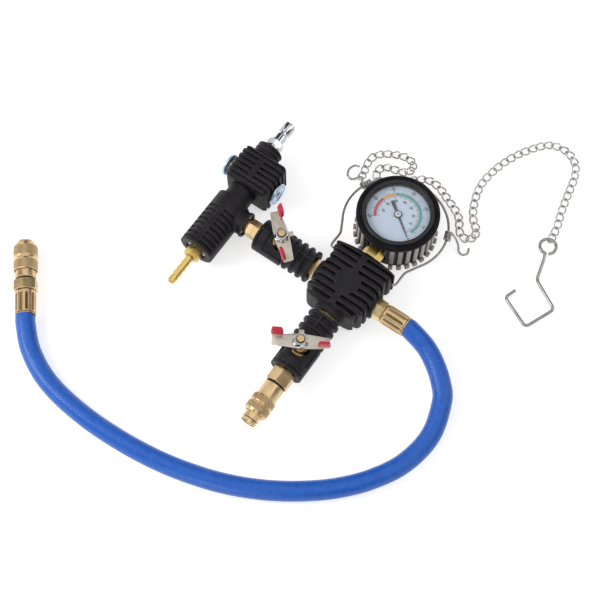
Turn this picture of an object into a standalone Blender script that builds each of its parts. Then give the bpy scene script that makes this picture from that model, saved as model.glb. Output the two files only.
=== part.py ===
"""A coolant vacuum filler, laid out on a table as it is used.

A rubber-jacketed four-way manifold carries a vacuum gauge, two ball valves and a hose. Valve A
leads to a venturi with a slide valve and an air plug, valve B to a quick coupler, and the hose
to a second quick coupler. A wire bail with a chain and a hook hangs the tool up.

Metres, +Z up. The origin is the middle of the manifold's underside. +Y runs to the gauge and +X
to the hose.
"""
import math

import bmesh
import bpy
from mathutils import Matrix, Vector

MM = 0.001

# The whole tool
BODY_HEIGHT = 38.0 * MM
AXIS_HEIGHT = BODY_HEIGHT / 2
GAP = 0.3 * MM
OVERRUN = 2.0 * MM
WELD = 0.001 * MM
PLAIN_SIDES = 12
ROUND_SIDES = 14
FINE_SIDES = 24
RIB_SIDES = 60
BEVEL_ANGLE = math.radians(50.0)
SHARP_ANGLE = math.radians(35.0)

# Pipe threads and passages that the fittings share
THREAD_RADIUS = 6.2 * MM
THREAD_LENGTH = 9.0 * MM
THREAD_BORE = THREAD_RADIUS + GAP
SEAT_THREAD_RADIUS = 8.2 * MM
SEAT_BORE = SEAT_THREAD_RADIUS + GAP
FLOW_RADIUS = 4.0 * MM

# Manifold block and its rubber jacket
CORE_WIDTH = 34.0 * MM
CORE_HEIGHT = 25.0 * MM
PORT_RADIUS = 9.2 * MM
PORT_REACH = 29.0 * MM
COLLAR_RADIUS = 11.0 * MM
COLLAR_LIP = 1.3 * MM
COLLAR_REACH = PORT_REACH + COLLAR_LIP
JACKET_FLANK = 27.5 * MM
JACKET_TOP = 30.5 * MM
JACKET_BOTTOM = 27.0 * MM
JACKET_ROUNDING = 3.0 * MM
JACKET_OUTLINE_SHARES = (
    (0.40, 1.05), (0.82, 1.00), (1.06, 0.95), (1.10, 0.86), (1.04, 0.68), (1.00, 0.52),
    (1.00, -0.48), (0.96, -0.68), (0.86, -0.86), (0.70, -0.97), (0.52, -1.00),
)
GROOVE_COUNT = 8
GROOVE_PITCH = 6.5 * MM
GROOVE_WIDTH = 3.5 * MM
GROOVE_DEPTH = 2.2 * MM
SPINE_WIDTH = 6.0 * MM
PAD_RADIUS = 12.0 * MM

# Wire bail
BAIL_WIRE = 1.1 * MM
BAIL_HOLE_CLEARANCE = 0.3 * MM
BAIL_PIVOT_Y = 26.0 * MM
BAIL_GRIP_DEPTH = 5.0 * MM
BAIL_LEG_X = 33.5 * MM
BAIL_LEG_LENGTH = 16.0 * MM
BAIL_SHOULDER_LENGTH = 13.0 * MM
BAIL_CORNER_RADIUS = 3.0 * MM
BAIL_LOOP_RADIUS = 47.0 * MM
BAIL_SLOPE = math.radians(6.5)
BAIL_SHIFT = -1.5 * MM
LOOP_STEPS = 22
CORNER_STEPS = 3

# Gauge
CASE_RADIUS = 31.5 * MM
CASE_WALL = 1.2 * MM
CASE_HEIGHT = 30.0 * MM
CASE_RIM_WIDTH = 2.8 * MM
CASE_RIM_HEIGHT = 1.5 * MM
BOOT_FLOOR = 2.7 * MM
BOOT_LIP_WALL = 4.9 * MM
BOOT_LIP_RADIUS = CASE_RADIUS + BOOT_LIP_WALL
BOOT_LIP_SLANT = 2.2 * MM
BOOT_LIP_TOP_RADIUS = BOOT_LIP_RADIUS - BOOT_LIP_SLANT
BOOT_LIP_HEIGHT = 4.5 * MM
BOOT_LIP_CHAMFER = 1.6 * MM
BOOT_RIB_WALL = 4.1 * MM
BOOT_RIB_RADIUS = CASE_RADIUS + BOOT_RIB_WALL
BOOT_FOOT_FLARE = 2.0 * MM
BOOT_FOOT_RADIUS = BOOT_RIB_RADIUS + BOOT_FOOT_FLARE
BOOT_FOOT_HEIGHT = 4.0 * MM
BOOT_RIB_DEPTH = 2.4 * MM
BOOT_HEIGHT = 39.4 * MM
SOCKET_HEX_LENGTH = 12.6 * MM
GAUGE_Y = PORT_REACH + GAP + SOCKET_HEX_LENGTH + BOOT_RIB_RADIUS
BEZEL_LIP_WIDTH = 3.7 * MM
BEZEL_LIP_RADIUS = CASE_RADIUS - BEZEL_LIP_WIDTH
BEZEL_WALL = 1.2 * MM
BEZEL_LIP_HEIGHT = 1.1 * MM
DIAL_THICKNESS = 0.8 * MM
DIAL_HOLE_RADIUS = 1.2 * MM
LENS_THICKNESS = 1.8 * MM
LENS_LIFT = 2.3 * MM
POINTER_REST = math.radians(-127.0)
POINTER_ROOM = 6.8 * MM
POINTER_LENGTH = BEZEL_LIP_RADIUS - POINTER_ROOM
POINTER_TAIL = 11.0 * MM
POINTER_TIP_WIDTH = 0.5 * MM
POINTER_TAIL_WIDTH = 2.4 * MM
POINTER_THICKNESS = 0.5 * MM
POINTER_HUB_RADIUS = 3.0 * MM
POINTER_HUB_HEIGHT = 1.1 * MM

# Gauge movement
SOCKET_HEX_FLAT = 8.0 * MM
SOCKET_NECK_RADIUS = 5.0 * MM
SOCKET_BLOCK_WIDTH = 12.0 * MM
SOCKET_BLOCK_LENGTH = 9.0 * MM
SOCKET_BLOCK_DROP = 9.0 * MM
FRAME_THICKNESS = 2.0 * MM
FRAME_WIDTH = 13.0 * MM
ARBOR_RADIUS = 0.8 * MM
GEAR_THICKNESS = 2.5 * MM
PINION_TEETH = 8
SECTOR_TEETH = 40
SECTOR_PIVOT_ROOM = 7.5 * MM
GEAR_MODULE = (CASE_RADIUS - SECTOR_PIVOT_ROOM) / ((PINION_TEETH + SECTOR_TEETH) / 2)
GEAR_ADDENDUM_SHARE = 0.75
GEAR_DEDENDUM_SHARE = 1.15
GEAR_BACKLASH_SHARE = 0.45
GEAR_ADDENDUM = GEAR_MODULE * GEAR_ADDENDUM_SHARE
GEAR_DEDENDUM = GEAR_MODULE * GEAR_DEDENDUM_SHARE
GEAR_BACKLASH = GEAR_MODULE * GEAR_BACKLASH_SHARE
GEAR_FLANK = math.radians(20.0)
SECTOR_TEETH_CUT = 9
SECTOR_RIM = 3.0 * MM
SECTOR_HUB_RADIUS = 3.2 * MM
SECTOR_PIN_REACH = 1.6 * MM
POINTER_SWEEP = math.radians(254.0)
BOURDON_ROOM = 8.0 * MM
BOURDON_RADIUS = CASE_RADIUS - BOURDON_ROOM
BOURDON_TUBE = 2.4 * MM
BOURDON_ARC = math.radians(265.0)
BOURDON_STEPS = 16
BOURDON_SEAT_SHARE = 0.47

# Ball valves
VALVE_HALF_LENGTH = 22.6 * MM
NIPPLE_A_LENGTH = 16.4 * MM
VALVE_A_REACH = PORT_REACH + NIPPLE_A_LENGTH + VALVE_HALF_LENGTH
VALVE_A_SLEEVE_HANG = 7.7 * MM
VALVE_A_SLEEVE_INNER = VALVE_HALF_LENGTH + VALVE_A_SLEEVE_HANG
VALVE_A_HANDLE = math.radians(-40.0)
NIPPLE_B_LENGTH = 17.4 * MM
VALVE_B_REACH = PORT_REACH + NIPPLE_B_LENGTH + VALVE_HALF_LENGTH
VALVE_B_SLEEVE_HANG = 12.0 * MM
VALVE_B_SLEEVE_INNER = VALVE_HALF_LENGTH + VALVE_B_SLEEVE_HANG
VALVE_B_HANDLE = math.radians(30.6)
VALVE_BODY_RADIUS = 10.0 * MM
SLEEVE_OUTER = VALVE_HALF_LENGTH
SLEEVE_RING_RADIUS = 15.0 * MM
SLEEVE_VALLEY_RADIUS = 13.0 * MM
SLEEVE_RING_WIDTH = 2.6 * MM
SLEEVE_RING_PITCH = 7.2 * MM
SLEEVE_COLLAR_WIDTH = 3.2 * MM
SLEEVE_WINDOW_RADIUS = 8.6 * MM
BONNET_RADIUS = 6.9 * MM
BONNET_HEIGHT = 17.0 * MM
BALL_RADIUS = 7.2 * MM
BALL_SEGMENTS = 16
BALL_RINGS = 8
SEAT_SHARE = 0.68
SEAT_THICKNESS = 2.6 * MM
STEM_RADIUS = 3.0 * MM
STEM_TOP = 30.2 * MM
TANG_WIDTH = 2.2 * MM
TANG_LENGTH = 4.6 * MM
TANG_DEPTH = 2.0 * MM
GLAND_FLAT = 5.6 * MM
GLAND_HEIGHT = 5.1 * MM
HANDLE_REACH = 24.0 * MM
HANDLE_ROOT_WIDTH = 12.4 * MM
HANDLE_TIP_WIDTH = 8.4 * MM
HANDLE_THICKNESS = 1.6 * MM
TAB_WIDTH = 8.6 * MM
TAB_HEIGHT = 12.6 * MM
TAB_THICKNESS = 1.6 * MM
GRIP_LIFT = 3.2 * MM
GRIP_WALL = 1.3 * MM
GRIP_ROUNDING = 1.0 * MM
NUT_FLAT = 5.2 * MM
NUT_HEIGHT = 4.0 * MM
NUT_FLANGE_RADIUS = 6.6 * MM
NUT_FLANGE_HEIGHT = 1.0 * MM
BAR_HALF_ANGLE = math.radians(20.0)

# Hex nipples
NIPPLE_FLAT = 8.0 * MM
VENTURI_NIPPLE_FLAT = 8.5 * MM
NIPPLE_COLLAR_RADIUS = 6.9 * MM
NIPPLE_COLLAR_LENGTH = 4.0 * MM

# Venturi
VENTURI_NIPPLE_LENGTH = 16.4 * MM
VENTURI_SIDE_REACH = 21.0 * MM
VENTURI_X = -(VALVE_A_REACH + VALVE_HALF_LENGTH + VENTURI_NIPPLE_LENGTH + VENTURI_SIDE_REACH)
VENTURI_BODY_RADIUS = 10.0 * MM
VENTURI_TOP = 19.7 * MM
VENTURI_BOTTOM = 43.3 * MM
BARREL_RADIUS = 16.5 * MM
BARREL_VALLEY = 15.0 * MM
BARREL_TOP = 12.4 * MM
BARREL_LIP = 1.7 * MM
BARREL_BOTTOM = VENTURI_BOTTOM + BARREL_LIP
BARREL_BAND = 13.0 * MM
BARREL_RING_WIDTH = 3.4 * MM
BARREL_RING_COUNT = 7
BARREL_NECK_RADIUS = 12.5 * MM
STUB_RADIUS = 11.0 * MM
STUB_LIP = 1.8 * MM
STUB_REACH = VENTURI_SIDE_REACH + STUB_LIP
NOZZLE_LENGTH = 8.0 * MM
NOZZLE_TIP_LENGTH = 7.0 * MM
NOZZLE_TIP_RADIUS = 3.0 * MM
NOZZLE_JET_RADIUS = 1.2 * MM
BARB_HEX_FLAT = 7.0 * MM
BARB_HEX_LENGTH = 11.0 * MM
BARB_THROAT_LENGTH = 22.0 * MM
BARB_COUNT = 4
BARB_RADIUS = 4.6 * MM
BARB_ROOT_RADIUS = 3.7 * MM
BARB_PITCH = 5.4 * MM
BARB_BORE = 2.4 * MM

# Slide valve
SLIDE_SHIFT = 2.2 * MM
SLIDE_X = VENTURI_X + SLIDE_SHIFT
SLIDE_WIDTH = 44.5 * MM
SLIDE_BOTTOM = 25.0 * MM
SLIDE_TOP = 60.0 * MM
SLIDE_WALL = 3.0 * MM
SLIDE_ROUNDING = 4.0 * MM
SLIDE_GROOVE_COUNT = 5
SLIDE_GROOVE_PITCH = 6.6 * MM
SLIDE_GROOVE_WIDTH = 3.0 * MM
SPOOL_Y = 40.0 * MM
SPOOL_RADIUS = 7.0 * MM
SPOOL_WAIST_RADIUS = 5.0 * MM
SPOOL_WAIST_LENGTH = 8.0 * MM
SPOOL_STUD_RADIUS = 2.8 * MM
SPOOL_SOCKET_RADIUS = 1.5 * MM
SPOOL_SOCKET_DEPTH = 2.5 * MM
SPOOL_TRAVEL = 3.5 * MM
BUTTON_RADIUS = 10.5 * MM
BUTTON_THICKNESS = 2.8 * MM
BUTTON_CHAMFER = 0.7 * MM
SPOOL_LANDS = 3
SEAL_GROOVE_RADIUS = 5.6 * MM
SEAL_GROOVE_WIDTH = 2.0 * MM
TOP_COLLAR_SHIFT = 4.0 * MM
TOP_COLLAR_X = VENTURI_X - TOP_COLLAR_SHIFT
TOP_COLLAR_RADIUS = 12.6 * MM
TOP_COLLAR_VALLEY = 11.4 * MM
TOP_COLLAR_LENGTH = 12.5 * MM
TOP_COLLAR_RINGS = 3
LOWER_PASSAGE_RADIUS = 3.5 * MM

# Air plug
PLUG_COLLAR_RADIUS = 7.4 * MM
PLUG_COLLAR_LENGTH = 3.4 * MM
PLUG_HEX_FLAT = 5.6 * MM
PLUG_HEX_LENGTH = 5.0 * MM
PLUG_NECK_RADIUS = 4.2 * MM
PLUG_NECK_LENGTH = 7.0 * MM
PLUG_GROOVE_RADIUS = 3.3 * MM
PLUG_GROOVE_LENGTH = 3.6 * MM
PLUG_TIP_RADIUS = 4.9 * MM
PLUG_TIP_LENGTH = 8.0 * MM
PLUG_TIP_CHAMFER = 1.2 * MM
PLUG_BORE = 2.4 * MM

# Quick couplers
COUPLER_HEX_FLAT = 9.3 * MM
COUPLER_BARREL_RADIUS = 9.0 * MM
COUPLER_NOSE_RADIUS = 7.2 * MM
COUPLER_BORE = 5.0 * MM
COUPLER_SLEEVE_RADIUS = 10.7 * MM
COUPLER_GROOVE_RADIUS = 9.9 * MM
COUPLER_GROOVE_WIDTH = 1.6 * MM
COUPLER_TRAVEL = 3.5 * MM
COUPLER_SPRING_SOLID = 4.0 * MM
COUPLER_SPRING_ROOM = COUPLER_TRAVEL + COUPLER_SPRING_SOLID
COUPLER_SPRING_WIRE = 0.4 * MM
COUPLER_SPRING_TURNS = 3
COUPLER_SPRING_POINTS = 8
COUPLER_LAP = 2.0 * MM
KNURL_DEPTH_SHARE = 0.04
KNURL_SIDES = 18
COUPLER_B_HEX_LENGTH = 13.2 * MM
COUPLER_B_BARREL_LENGTH = 16.8 * MM
COUPLER_B_SLEEVE_LENGTH = 16.2 * MM
COUPLER_B_NOSE_LENGTH = 8.6 * MM
HOSE_COUPLER_HEX_LENGTH = 9.6 * MM
HOSE_COUPLER_BARREL_LENGTH = 10.6 * MM
HOSE_COUPLER_SLEEVE_LENGTH = 26.4 * MM
HOSE_COUPLER_NOSE_LENGTH = 2.4 * MM

# Hose and its end fittings
HOSE_RADIUS = 8.5 * MM
HOSE_STEP = 34.0 * MM
HOSE_NUT_FLAT = 8.0 * MM
HOSE_NUT_LENGTH = 9.0 * MM
FERRULE_LENGTH = 22.2 * MM
FERRULE_RADIUS = 8.9 * MM
FERRULE_BAND_LENGTH = 2.4 * MM
FERRULE_FLUTES = 8
FERRULE_FLUTE_SHARE = 0.09
HOSE_END_TURN = math.radians(129.6)
COUPLER_TABLE_GAP = 0.2 * MM
HOSE_END = Vector((-213.1 * MM, -175.3 * MM, COUPLER_SLEEVE_RADIUS + COUPLER_TABLE_GAP))
HOSE_ROUTE = [
    Vector(point) * MM
    for point in (
        (83.0, -4.6, 17.0), (97.4, -12.4, 15.6), (110.6, -23.2, 14.3), (120.5, -36.5, 13.1),
        (128.3, -66.0, 10.6), (123.0, -97.4, 8.9), (108.2, -124.4, 8.6), (89.3, -146.3, 8.6),
        (69.0, -163.5, 8.6), (48.6, -177.3, 8.6), (28.2, -188.4, 8.6), (7.7, -197.2, 8.6),
        (-13.3, -204.0, 8.6), (-35.1, -209.4, 8.6), (-58.1, -213.2, 8.6), (-83.1, -215.5, 8.6),
        (-111.1, -216.1, 8.6), (-142.6, -213.5, 8.6), (-168.0, -207.4, 8.7),
        (-191.4, -195.7, 9.3),
    )
]
HOSE_END_RUN = 7.0 * MM
HOSE_RESOLUTION = 3

# Chain and hooks
LINK_WIRE = 0.7 * MM
LINK_WIDTH = 7.2 * MM
LINK_PITCH = 7.6 * MM
LINK_LAP = 0.6 * MM
LINK_BOW_STEPS = 2
LINK_SIDES = 4
LINK_ROLL = math.radians(45.0)
LINK_HOLD = 0.5 * MM
CHAIN_ROUTE = [
    Vector(point) * MM
    for point in (
        (-54.4, 109.0, 4.6), (-57.0, 117.0, 3.2), (-58.0, 127.0, 3.0), (-51.0, 136.0, 3.0),
        (-40.0, 142.0, 3.0), (-29.0, 145.0, 3.0), (-21.0, 141.0, 3.0), (-21.5, 133.0, 3.0),
        (-30.0, 128.5, 3.0), (-40.0, 127.0, 3.0), (-46.5, 120.5, 3.0), (-44.0, 112.0, 3.0),
        (-35.0, 111.0, 3.0), (-25.0, 118.0, 3.0), (-15.0, 128.0, 3.0), (-4.0, 136.5, 3.0),
        (9.0, 136.0, 3.0), (21.5, 130.0, 3.0), (33.0, 125.0, 3.0), (42.0, 118.0, 3.0),
        (46.5, 109.5, 3.0), (53.5, 105.0, 3.0), (60.5, 109.0, 3.0), (60.5, 117.5, 3.0),
        (53.0, 124.0, 3.0), (45.0, 136.0, 3.0), (38.6, 157.0, 3.0), (40.1, 177.2, 3.0),
        (45.8, 197.0, 3.0), (55.6, 215.3, 3.0), (68.7, 230.8, 3.0), (85.0, 233.3, 3.0),
        (97.8, 226.4, 3.0), (104.0, 213.2, 3.0), (107.1, 198.0, 3.0), (111.3, 178.6, 3.0),
        (116.3, 161.5, 3.0), (117.2, 154.6, 3.4),
    )
]
HOOK_WIRE = 1.3 * MM
HOOK_EYE_RADIUS = 7.2 * MM
HOOK_EYE = Vector((119.0, 141.5, 3.2)) * MM
HOOK_EYE_STEPS = 14
HOOK_EYE_GAP = math.radians(31.0)
HOOK_EYE_SWEEP = math.radians(310.0)
HOOK_ROUTE = [
    Vector(point) * MM
    for point in (
        (122.2, 129.5, 2.4), (127.2, 108.8, 1.5), (153.9, 93.6, 1.5), (141.9, 65.3, 1.5),
        (113.2, 78.8, 1.5), (116.8, 89.3, 1.5),
    )
]
HOOK_CORNER_RADIUS = 4.0 * MM
CLIP_WIRE = 1.0 * MM
CLIP_TURNS = 2
CLIP_TURN_STEPS = 8
CLIP_STEP = 3.0 * MM
CLIP_SHANK_SHARE = 0.5
CLIP_LEFT_ANGLE = math.radians(157.0)
CLIP_RIGHT_ANGLE = math.radians(21.0)
CLIP_LEFT_ROUTE = [
    Vector(point) * MM
    for point in (
        (-51.5, 102.0, 7.6), (-56.0, 103.0, 3.6), (-60.5, 98.5, 1.5), (-66.0, 99.5, 1.5),
        (-68.5, 105.5, 1.5), (-66.5, 111.5, 1.5), (-62.5, 113.0, 1.5),
    )
]
CLIP_RIGHT_ROUTE = [
    Vector(point) * MM
    for point in (
        (49.8, 98.6, 7.2), (54.0, 96.2, 3.4), (57.3, 92.6, 1.5), (61.6, 92.2, 1.5),
        (64.2, 96.0, 1.5), (62.6, 100.2, 1.5),
    )
]

X_AXIS = Vector((1, 0, 0))
Y_AXIS = Vector((0, 1, 0))
Z_AXIS = Vector((0, 0, 1))


def clear_scene():
    """Remove every object that the scene starts with."""
    for old in list(bpy.data.objects):
        bpy.data.objects.remove(old, do_unlink=True)


def finish(name, colour, roughness, metallic=0.0, transmission=0.0):
    """Return a Principled material."""
    made = bpy.data.materials.new(name)
    made.use_nodes = True
    shader = made.node_tree.nodes["Principled BSDF"]
    shader.inputs["Base Color"].default_value = (*colour, 1.0)
    shader.inputs["Roughness"].default_value = roughness
    shader.inputs["Metallic"].default_value = metallic
    shader.inputs["Transmission Weight"].default_value = transmission
    made.diffuse_color = (*colour, 1.0)
    return made


FINISHES = {
    "rubber": ((0.018, 0.018, 0.021), 0.62, 0.0),
    "brass": ((0.83, 0.62, 0.30), 0.28, 1.0),
    "chrome": ((0.78, 0.79, 0.81), 0.14, 1.0),
    "steel": ((0.62, 0.61, 0.59), 0.32, 1.0),
    "handle": ((0.66, 0.60, 0.54), 0.40, 0.9),
    "vinyl": ((0.74, 0.04, 0.09), 0.42, 0.0),
    "seal": ((0.86, 0.86, 0.84), 0.45, 0.0),
    "blue_anodised": ((0.38, 0.55, 0.80), 0.30, 0.8),
    "alloy": ((0.60, 0.61, 0.63), 0.38, 0.9),
    "black_steel": ((0.02, 0.02, 0.022), 0.35, 0.3),
    "dial": ((0.78, 0.85, 0.94), 0.50, 0.0),
    "pointer_black": ((0.03, 0.03, 0.03), 0.45, 0.0),
    "hose_blue": ((0.02, 0.13, 0.62), 0.38, 0.0),
}


def coloured(name, kind):
    """Return a material for one piece, of one of the named finishes."""
    return finish(name + "_finish", *FINISHES[kind])


def frame(origin, axis, up=None):
    """Return the matrix that puts local Z on axis and local X on up."""
    along = Vector(axis).normalized()
    if up is None:
        up = X_AXIS if abs(along.z) > 0.5 else Z_AXIS
    side = along.cross(Vector(up)).normalized()
    cross = side.cross(along)
    columns = Matrix((cross, side, along)).transposed()
    return Matrix.Translation(origin) @ columns.to_4x4()


def add(name, mesh, kind, matrix=None):
    """Put a mesh into the scene as an object with its own material."""
    made = bpy.data.objects.new(name, mesh)
    bpy.context.collection.objects.link(made)
    if kind:
        made.data.materials.append(coloured(name, kind))
    if matrix is not None:
        made.matrix_world = matrix
    return made


def mesh_from(name, build):
    """Return a mesh that build(bm) fills, with its faces pointing out."""
    bm = bmesh.new()
    build(bm)
    bmesh.ops.remove_doubles(bm, verts=bm.verts, dist=WELD)
    bmesh.ops.recalc_face_normals(bm, faces=bm.faces)
    mesh = bpy.data.meshes.new(name)
    bm.to_mesh(mesh)
    bm.free()
    return mesh


# Cross sections of turned pieces: the radius at an angle, as a share of the stated one
def round_form(angle):
    return 1.0


def hex_form(angle):
    """A hexagon whose stated radius is that of its flats."""
    sixth = math.pi / 3
    return 1 / math.cos(angle % sixth - sixth / 2)


def waved(count, share):
    """A ring of count waves that dip by a share of the radius."""
    return lambda angle: 1 - share * (0.5 - 0.5 * math.cos(count * angle))


class Step:
    """One stretch of a turned piece: its length, its radii and its cross section."""

    def __init__(self, length, radius, end_radius=None, form=round_form):
        self.length = length
        self.radius = radius
        self.end_radius = radius if end_radius is None else end_radius
        self.form = form


def ring_places(steps):
    """Return (along, radius, form) at both ends of every step, without repeats."""
    places = []
    along = 0.0
    for step in steps:
        start = (along, step.radius, step.form)
        if not places or places[-1] != start:
            places.append(start)
        along += step.length
        places.append((along, step.end_radius, step.form))
    return places


def turned_mesh(name, outer, bore=(), sides=PLAIN_SIDES):
    """Return a solid of revolution along Z, with an optional bore from its start."""

    def build(bm):
        def ring(place):
            along, radius, form = place
            verts = []
            for index in range(sides):
                angle = 2 * math.pi * index / sides
                reach = radius * form(angle)
                verts.append(bm.verts.new((reach * math.cos(angle), reach * math.sin(angle), along)))
            return verts

        def skin(first, second):
            for index in range(sides):
                after = (index + 1) % sides
                bm.faces.new((first[index], first[after], second[after], second[index]))

        outside = [ring(place) for place in ring_places(outer)]
        for first, second in zip(outside, outside[1:]):
            skin(first, second)
        if not bore:
            bm.faces.new(outside[0])
            bm.faces.new(outside[-1])
            return
        inside = [ring(place) for place in ring_places(bore)]
        for first, second in zip(inside, inside[1:]):
            skin(first, second)
        skin(outside[0], inside[0])
        through = sum(step.length for step in outer) - sum(step.length for step in bore) < GAP
        if through:
            skin(outside[-1], inside[-1])
        else:
            bm.faces.new(inside[-1])
            bm.faces.new(outside[-1])

    return mesh_from(name, build)


def turned(name, kind, matrix, outer, bore=(), sides=PLAIN_SIDES):
    """Add a solid of revolution whose axis is the matrix's Z."""
    return add(name, turned_mesh(name, outer, bore, sides), kind, matrix)


def box_mesh(name, boxes):
    """Return one mesh of boxes, each a (centre, size) pair of vectors."""

    def build(bm):
        for centre, size in boxes:
            place = Matrix.Translation(centre) @ Matrix.Diagonal((*size, 1.0))
            bmesh.ops.create_cube(bm, size=1.0, matrix=place)

    return mesh_from(name, build)


def box(name, kind, centre, size, matrix=None):
    return add(name, box_mesh(name, [(Vector(centre), Vector(size))]), kind, matrix)


def prism_mesh(name, outline, bottom, top):
    """Return an outline of (x, y) points extruded from one height to another."""

    def build(bm):
        verts = [bm.verts.new((x, y, bottom)) for x, y in outline]
        face = bm.faces.new(verts)
        grown = bmesh.ops.extrude_face_region(bm, geom=[face])
        moved = [item for item in grown["geom"] if isinstance(item, bmesh.types.BMVert)]
        bmesh.ops.translate(bm, verts=moved, vec=(0, 0, top - bottom))

    return mesh_from(name, build)


def settle(target):
    """Turn an object's modifiers into its own mesh."""
    bpy.context.view_layer.update()
    shown = target.evaluated_get(bpy.context.evaluated_depsgraph_get())
    settled = bpy.data.meshes.new_from_object(shown)
    target.modifiers.clear()
    target.data = settled
    return target


def combine(target, tool, operation):
    """Cut a tool out of the target, or join it on, and remove the tool."""
    change = target.modifiers.new(operation.lower(), "BOOLEAN")
    change.operation = operation
    change.solver = "EXACT"
    change.object = tool
    settle(target)
    bpy.data.objects.remove(tool, do_unlink=True)
    return target


def cut(target, *tools):
    for tool in tools:
        combine(target, tool, "DIFFERENCE")
    return target


def join(target, *tools):
    for tool in tools:
        combine(target, tool, "UNION")
    return target


def bevelled(target, width):
    """Round the sharp edges of an object."""
    rounding = target.modifiers.new("rounding", "BEVEL")
    rounding.width = width
    rounding.segments = 1
    rounding.limit_method = "ANGLE"
    rounding.angle_limit = BEVEL_ANGLE
    return settle(target)


def rod_tool(centre, axis, radius, length):
    """Return a plain cylinder centred on a point, for cutting or joining."""
    start = Vector(centre) - Vector(axis).normalized() * length / 2
    return turned("tool", None, frame(start, axis), [Step(length, radius)])


def set_origin(target, matrix):
    """Move an object's origin to a place without moving its shape."""
    bpy.context.view_layer.update()
    target.data.transform(matrix.inverted() @ target.matrix_world)
    target.matrix_world = matrix
    return target


def wire(name, kind, points, radius, resolution=1):
    """Add a round wire along points, as one open curve with filled ends."""
    data = bpy.data.curves.new(name, "CURVE")
    data.dimensions = "3D"
    data.bevel_depth = radius
    data.bevel_resolution = resolution
    data.use_fill_caps = True
    spline = data.splines.new("POLY")
    spline.points.add(len(points) - 1)
    for place, point in zip(spline.points, points):
        place.co = (*point, 1.0)
    made = bpy.data.objects.new(name, data)
    bpy.context.collection.objects.link(made)
    if kind:
        data.materials.append(coloured(name, kind))
    return made


def smooth_path(points, step):
    """Return evenly spaced points of the smooth curve that passes through the given ones."""
    dense = []
    ends = [points[0] * 2 - points[1], *points, points[-1] * 2 - points[-2]]
    parts = 24
    for before, start, end, after in zip(ends, ends[1:], ends[2:], ends[3:]):
        for index in range(parts):
            t = index / parts
            rise = (end - before) * t
            bend = (before * 2 - start * 5 + end * 4 - after) * t**2
            twist = (start * 3 - before - end * 3 + after) * t**3
            dense.append((start * 2 + rise + bend + twist) / 2)
    dense.append(points[-1].copy())
    lengths = [(b - a).length for a, b in zip(dense, dense[1:])]
    total = sum(lengths)
    count = max(1, round(total / step))
    path = [dense[0]]
    travelled = 0.0
    wanted = 1
    for start, end, length in zip(dense, dense[1:], lengths):
        while wanted < count and travelled + length >= total * wanted / count:
            share = (total * wanted / count - travelled) / length
            path.append(start.lerp(end, share))
            wanted += 1
        travelled += length
    path.append(dense[-1])
    return path


def rounded_path(points, radius, steps=CORNER_STEPS):
    """Return a bent path whose corners are arcs of about the given radius."""
    path = [points[0]]
    for before, corner, after in zip(points, points[1:], points[2:]):
        back = (before - corner).normalized()
        ahead = (after - corner).normalized()
        reach = min(radius, (before - corner).length / 2, (after - corner).length / 2)
        start = corner + back * reach
        end = corner + ahead * reach
        for index in range(steps + 1):
            t = index / steps
            path.append(start.lerp(corner, t).lerp(corner.lerp(end, t), t))
    path.append(points[-1])
    return path


# Manifold
def manifold_outline():
    right = []
    for across, up in JACKET_OUTLINE_SHARES:
        height = JACKET_TOP if up > 0 else JACKET_BOTTOM
        right.append((across * JACKET_FLANK, up * height))
    left = [(-x, y) for x, y in reversed(right)]
    return right + left


def groove_boxes():
    """Return the boxes that cut the ribs of the manifold's top, clear of its spine and pad."""
    boxes = []
    reach = JACKET_FLANK + JACKET_ROUNDING + OVERRUN
    for index in range(GROOVE_COUNT):
        y = (index - (GROOVE_COUNT - 1) / 2) * GROOVE_PITCH + (JACKET_TOP - JACKET_BOTTOM) / 2
        near = SPINE_WIDTH / 2
        edge = max(0.0, abs(y) - GROOVE_WIDTH / 2)
        if edge < PAD_RADIUS:
            near = max(near, math.sqrt(PAD_RADIUS**2 - edge**2))
        for side in (-1, 1):
            centre = Vector((side * (near + reach) / 2, y, BODY_HEIGHT))
            boxes.append((centre, Vector((reach - near, GROOVE_WIDTH, 2 * GROOVE_DEPTH))))
    return boxes


def build_manifold():
    centre = Vector((0, 0, AXIS_HEIGHT))
    core = box("manifold_core", "brass", centre, (CORE_WIDTH, CORE_WIDTH, CORE_HEIGHT))
    for axis in (X_AXIS, Y_AXIS):
        join(core, rod_tool(centre, axis, PORT_RADIUS, 2 * PORT_REACH))
    for axis in (X_AXIS, Y_AXIS):
        cut(core, rod_tool(centre, axis, THREAD_BORE, 2 * (PORT_REACH + OVERRUN)))

    jacket = add(
        "manifold_jacket", prism_mesh("jacket", manifold_outline(), 0, BODY_HEIGHT), "rubber"
    )
    bevelled(jacket, JACKET_ROUNDING)
    join(jacket, rod_tool(centre, X_AXIS, COLLAR_RADIUS, 2 * COLLAR_REACH))
    collar_top = JACKET_TOP + 2 * GAP + COLLAR_REACH - JACKET_FLANK
    join(
        jacket,
        turned(
            "tool", None, frame(centre - Y_AXIS * COLLAR_REACH, Y_AXIS),
            [Step(COLLAR_REACH + collar_top, COLLAR_RADIUS)],
        ),
    )
    hollow = CORE_WIDTH + 2 * GAP
    cut(jacket, box("tool", None, centre, (hollow, hollow, CORE_HEIGHT + 2 * GAP)))
    for axis in (X_AXIS, Y_AXIS):
        reach = JACKET_TOP + COLLAR_REACH
        cut(jacket, rod_tool(centre, axis, PORT_RADIUS + GAP, 2 * reach))
    cut(jacket, add("tool", box_mesh("grooves", groove_boxes()), None))
    for side in (-1, 1):
        cut(jacket, bail_socket_tool(side))


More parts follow.
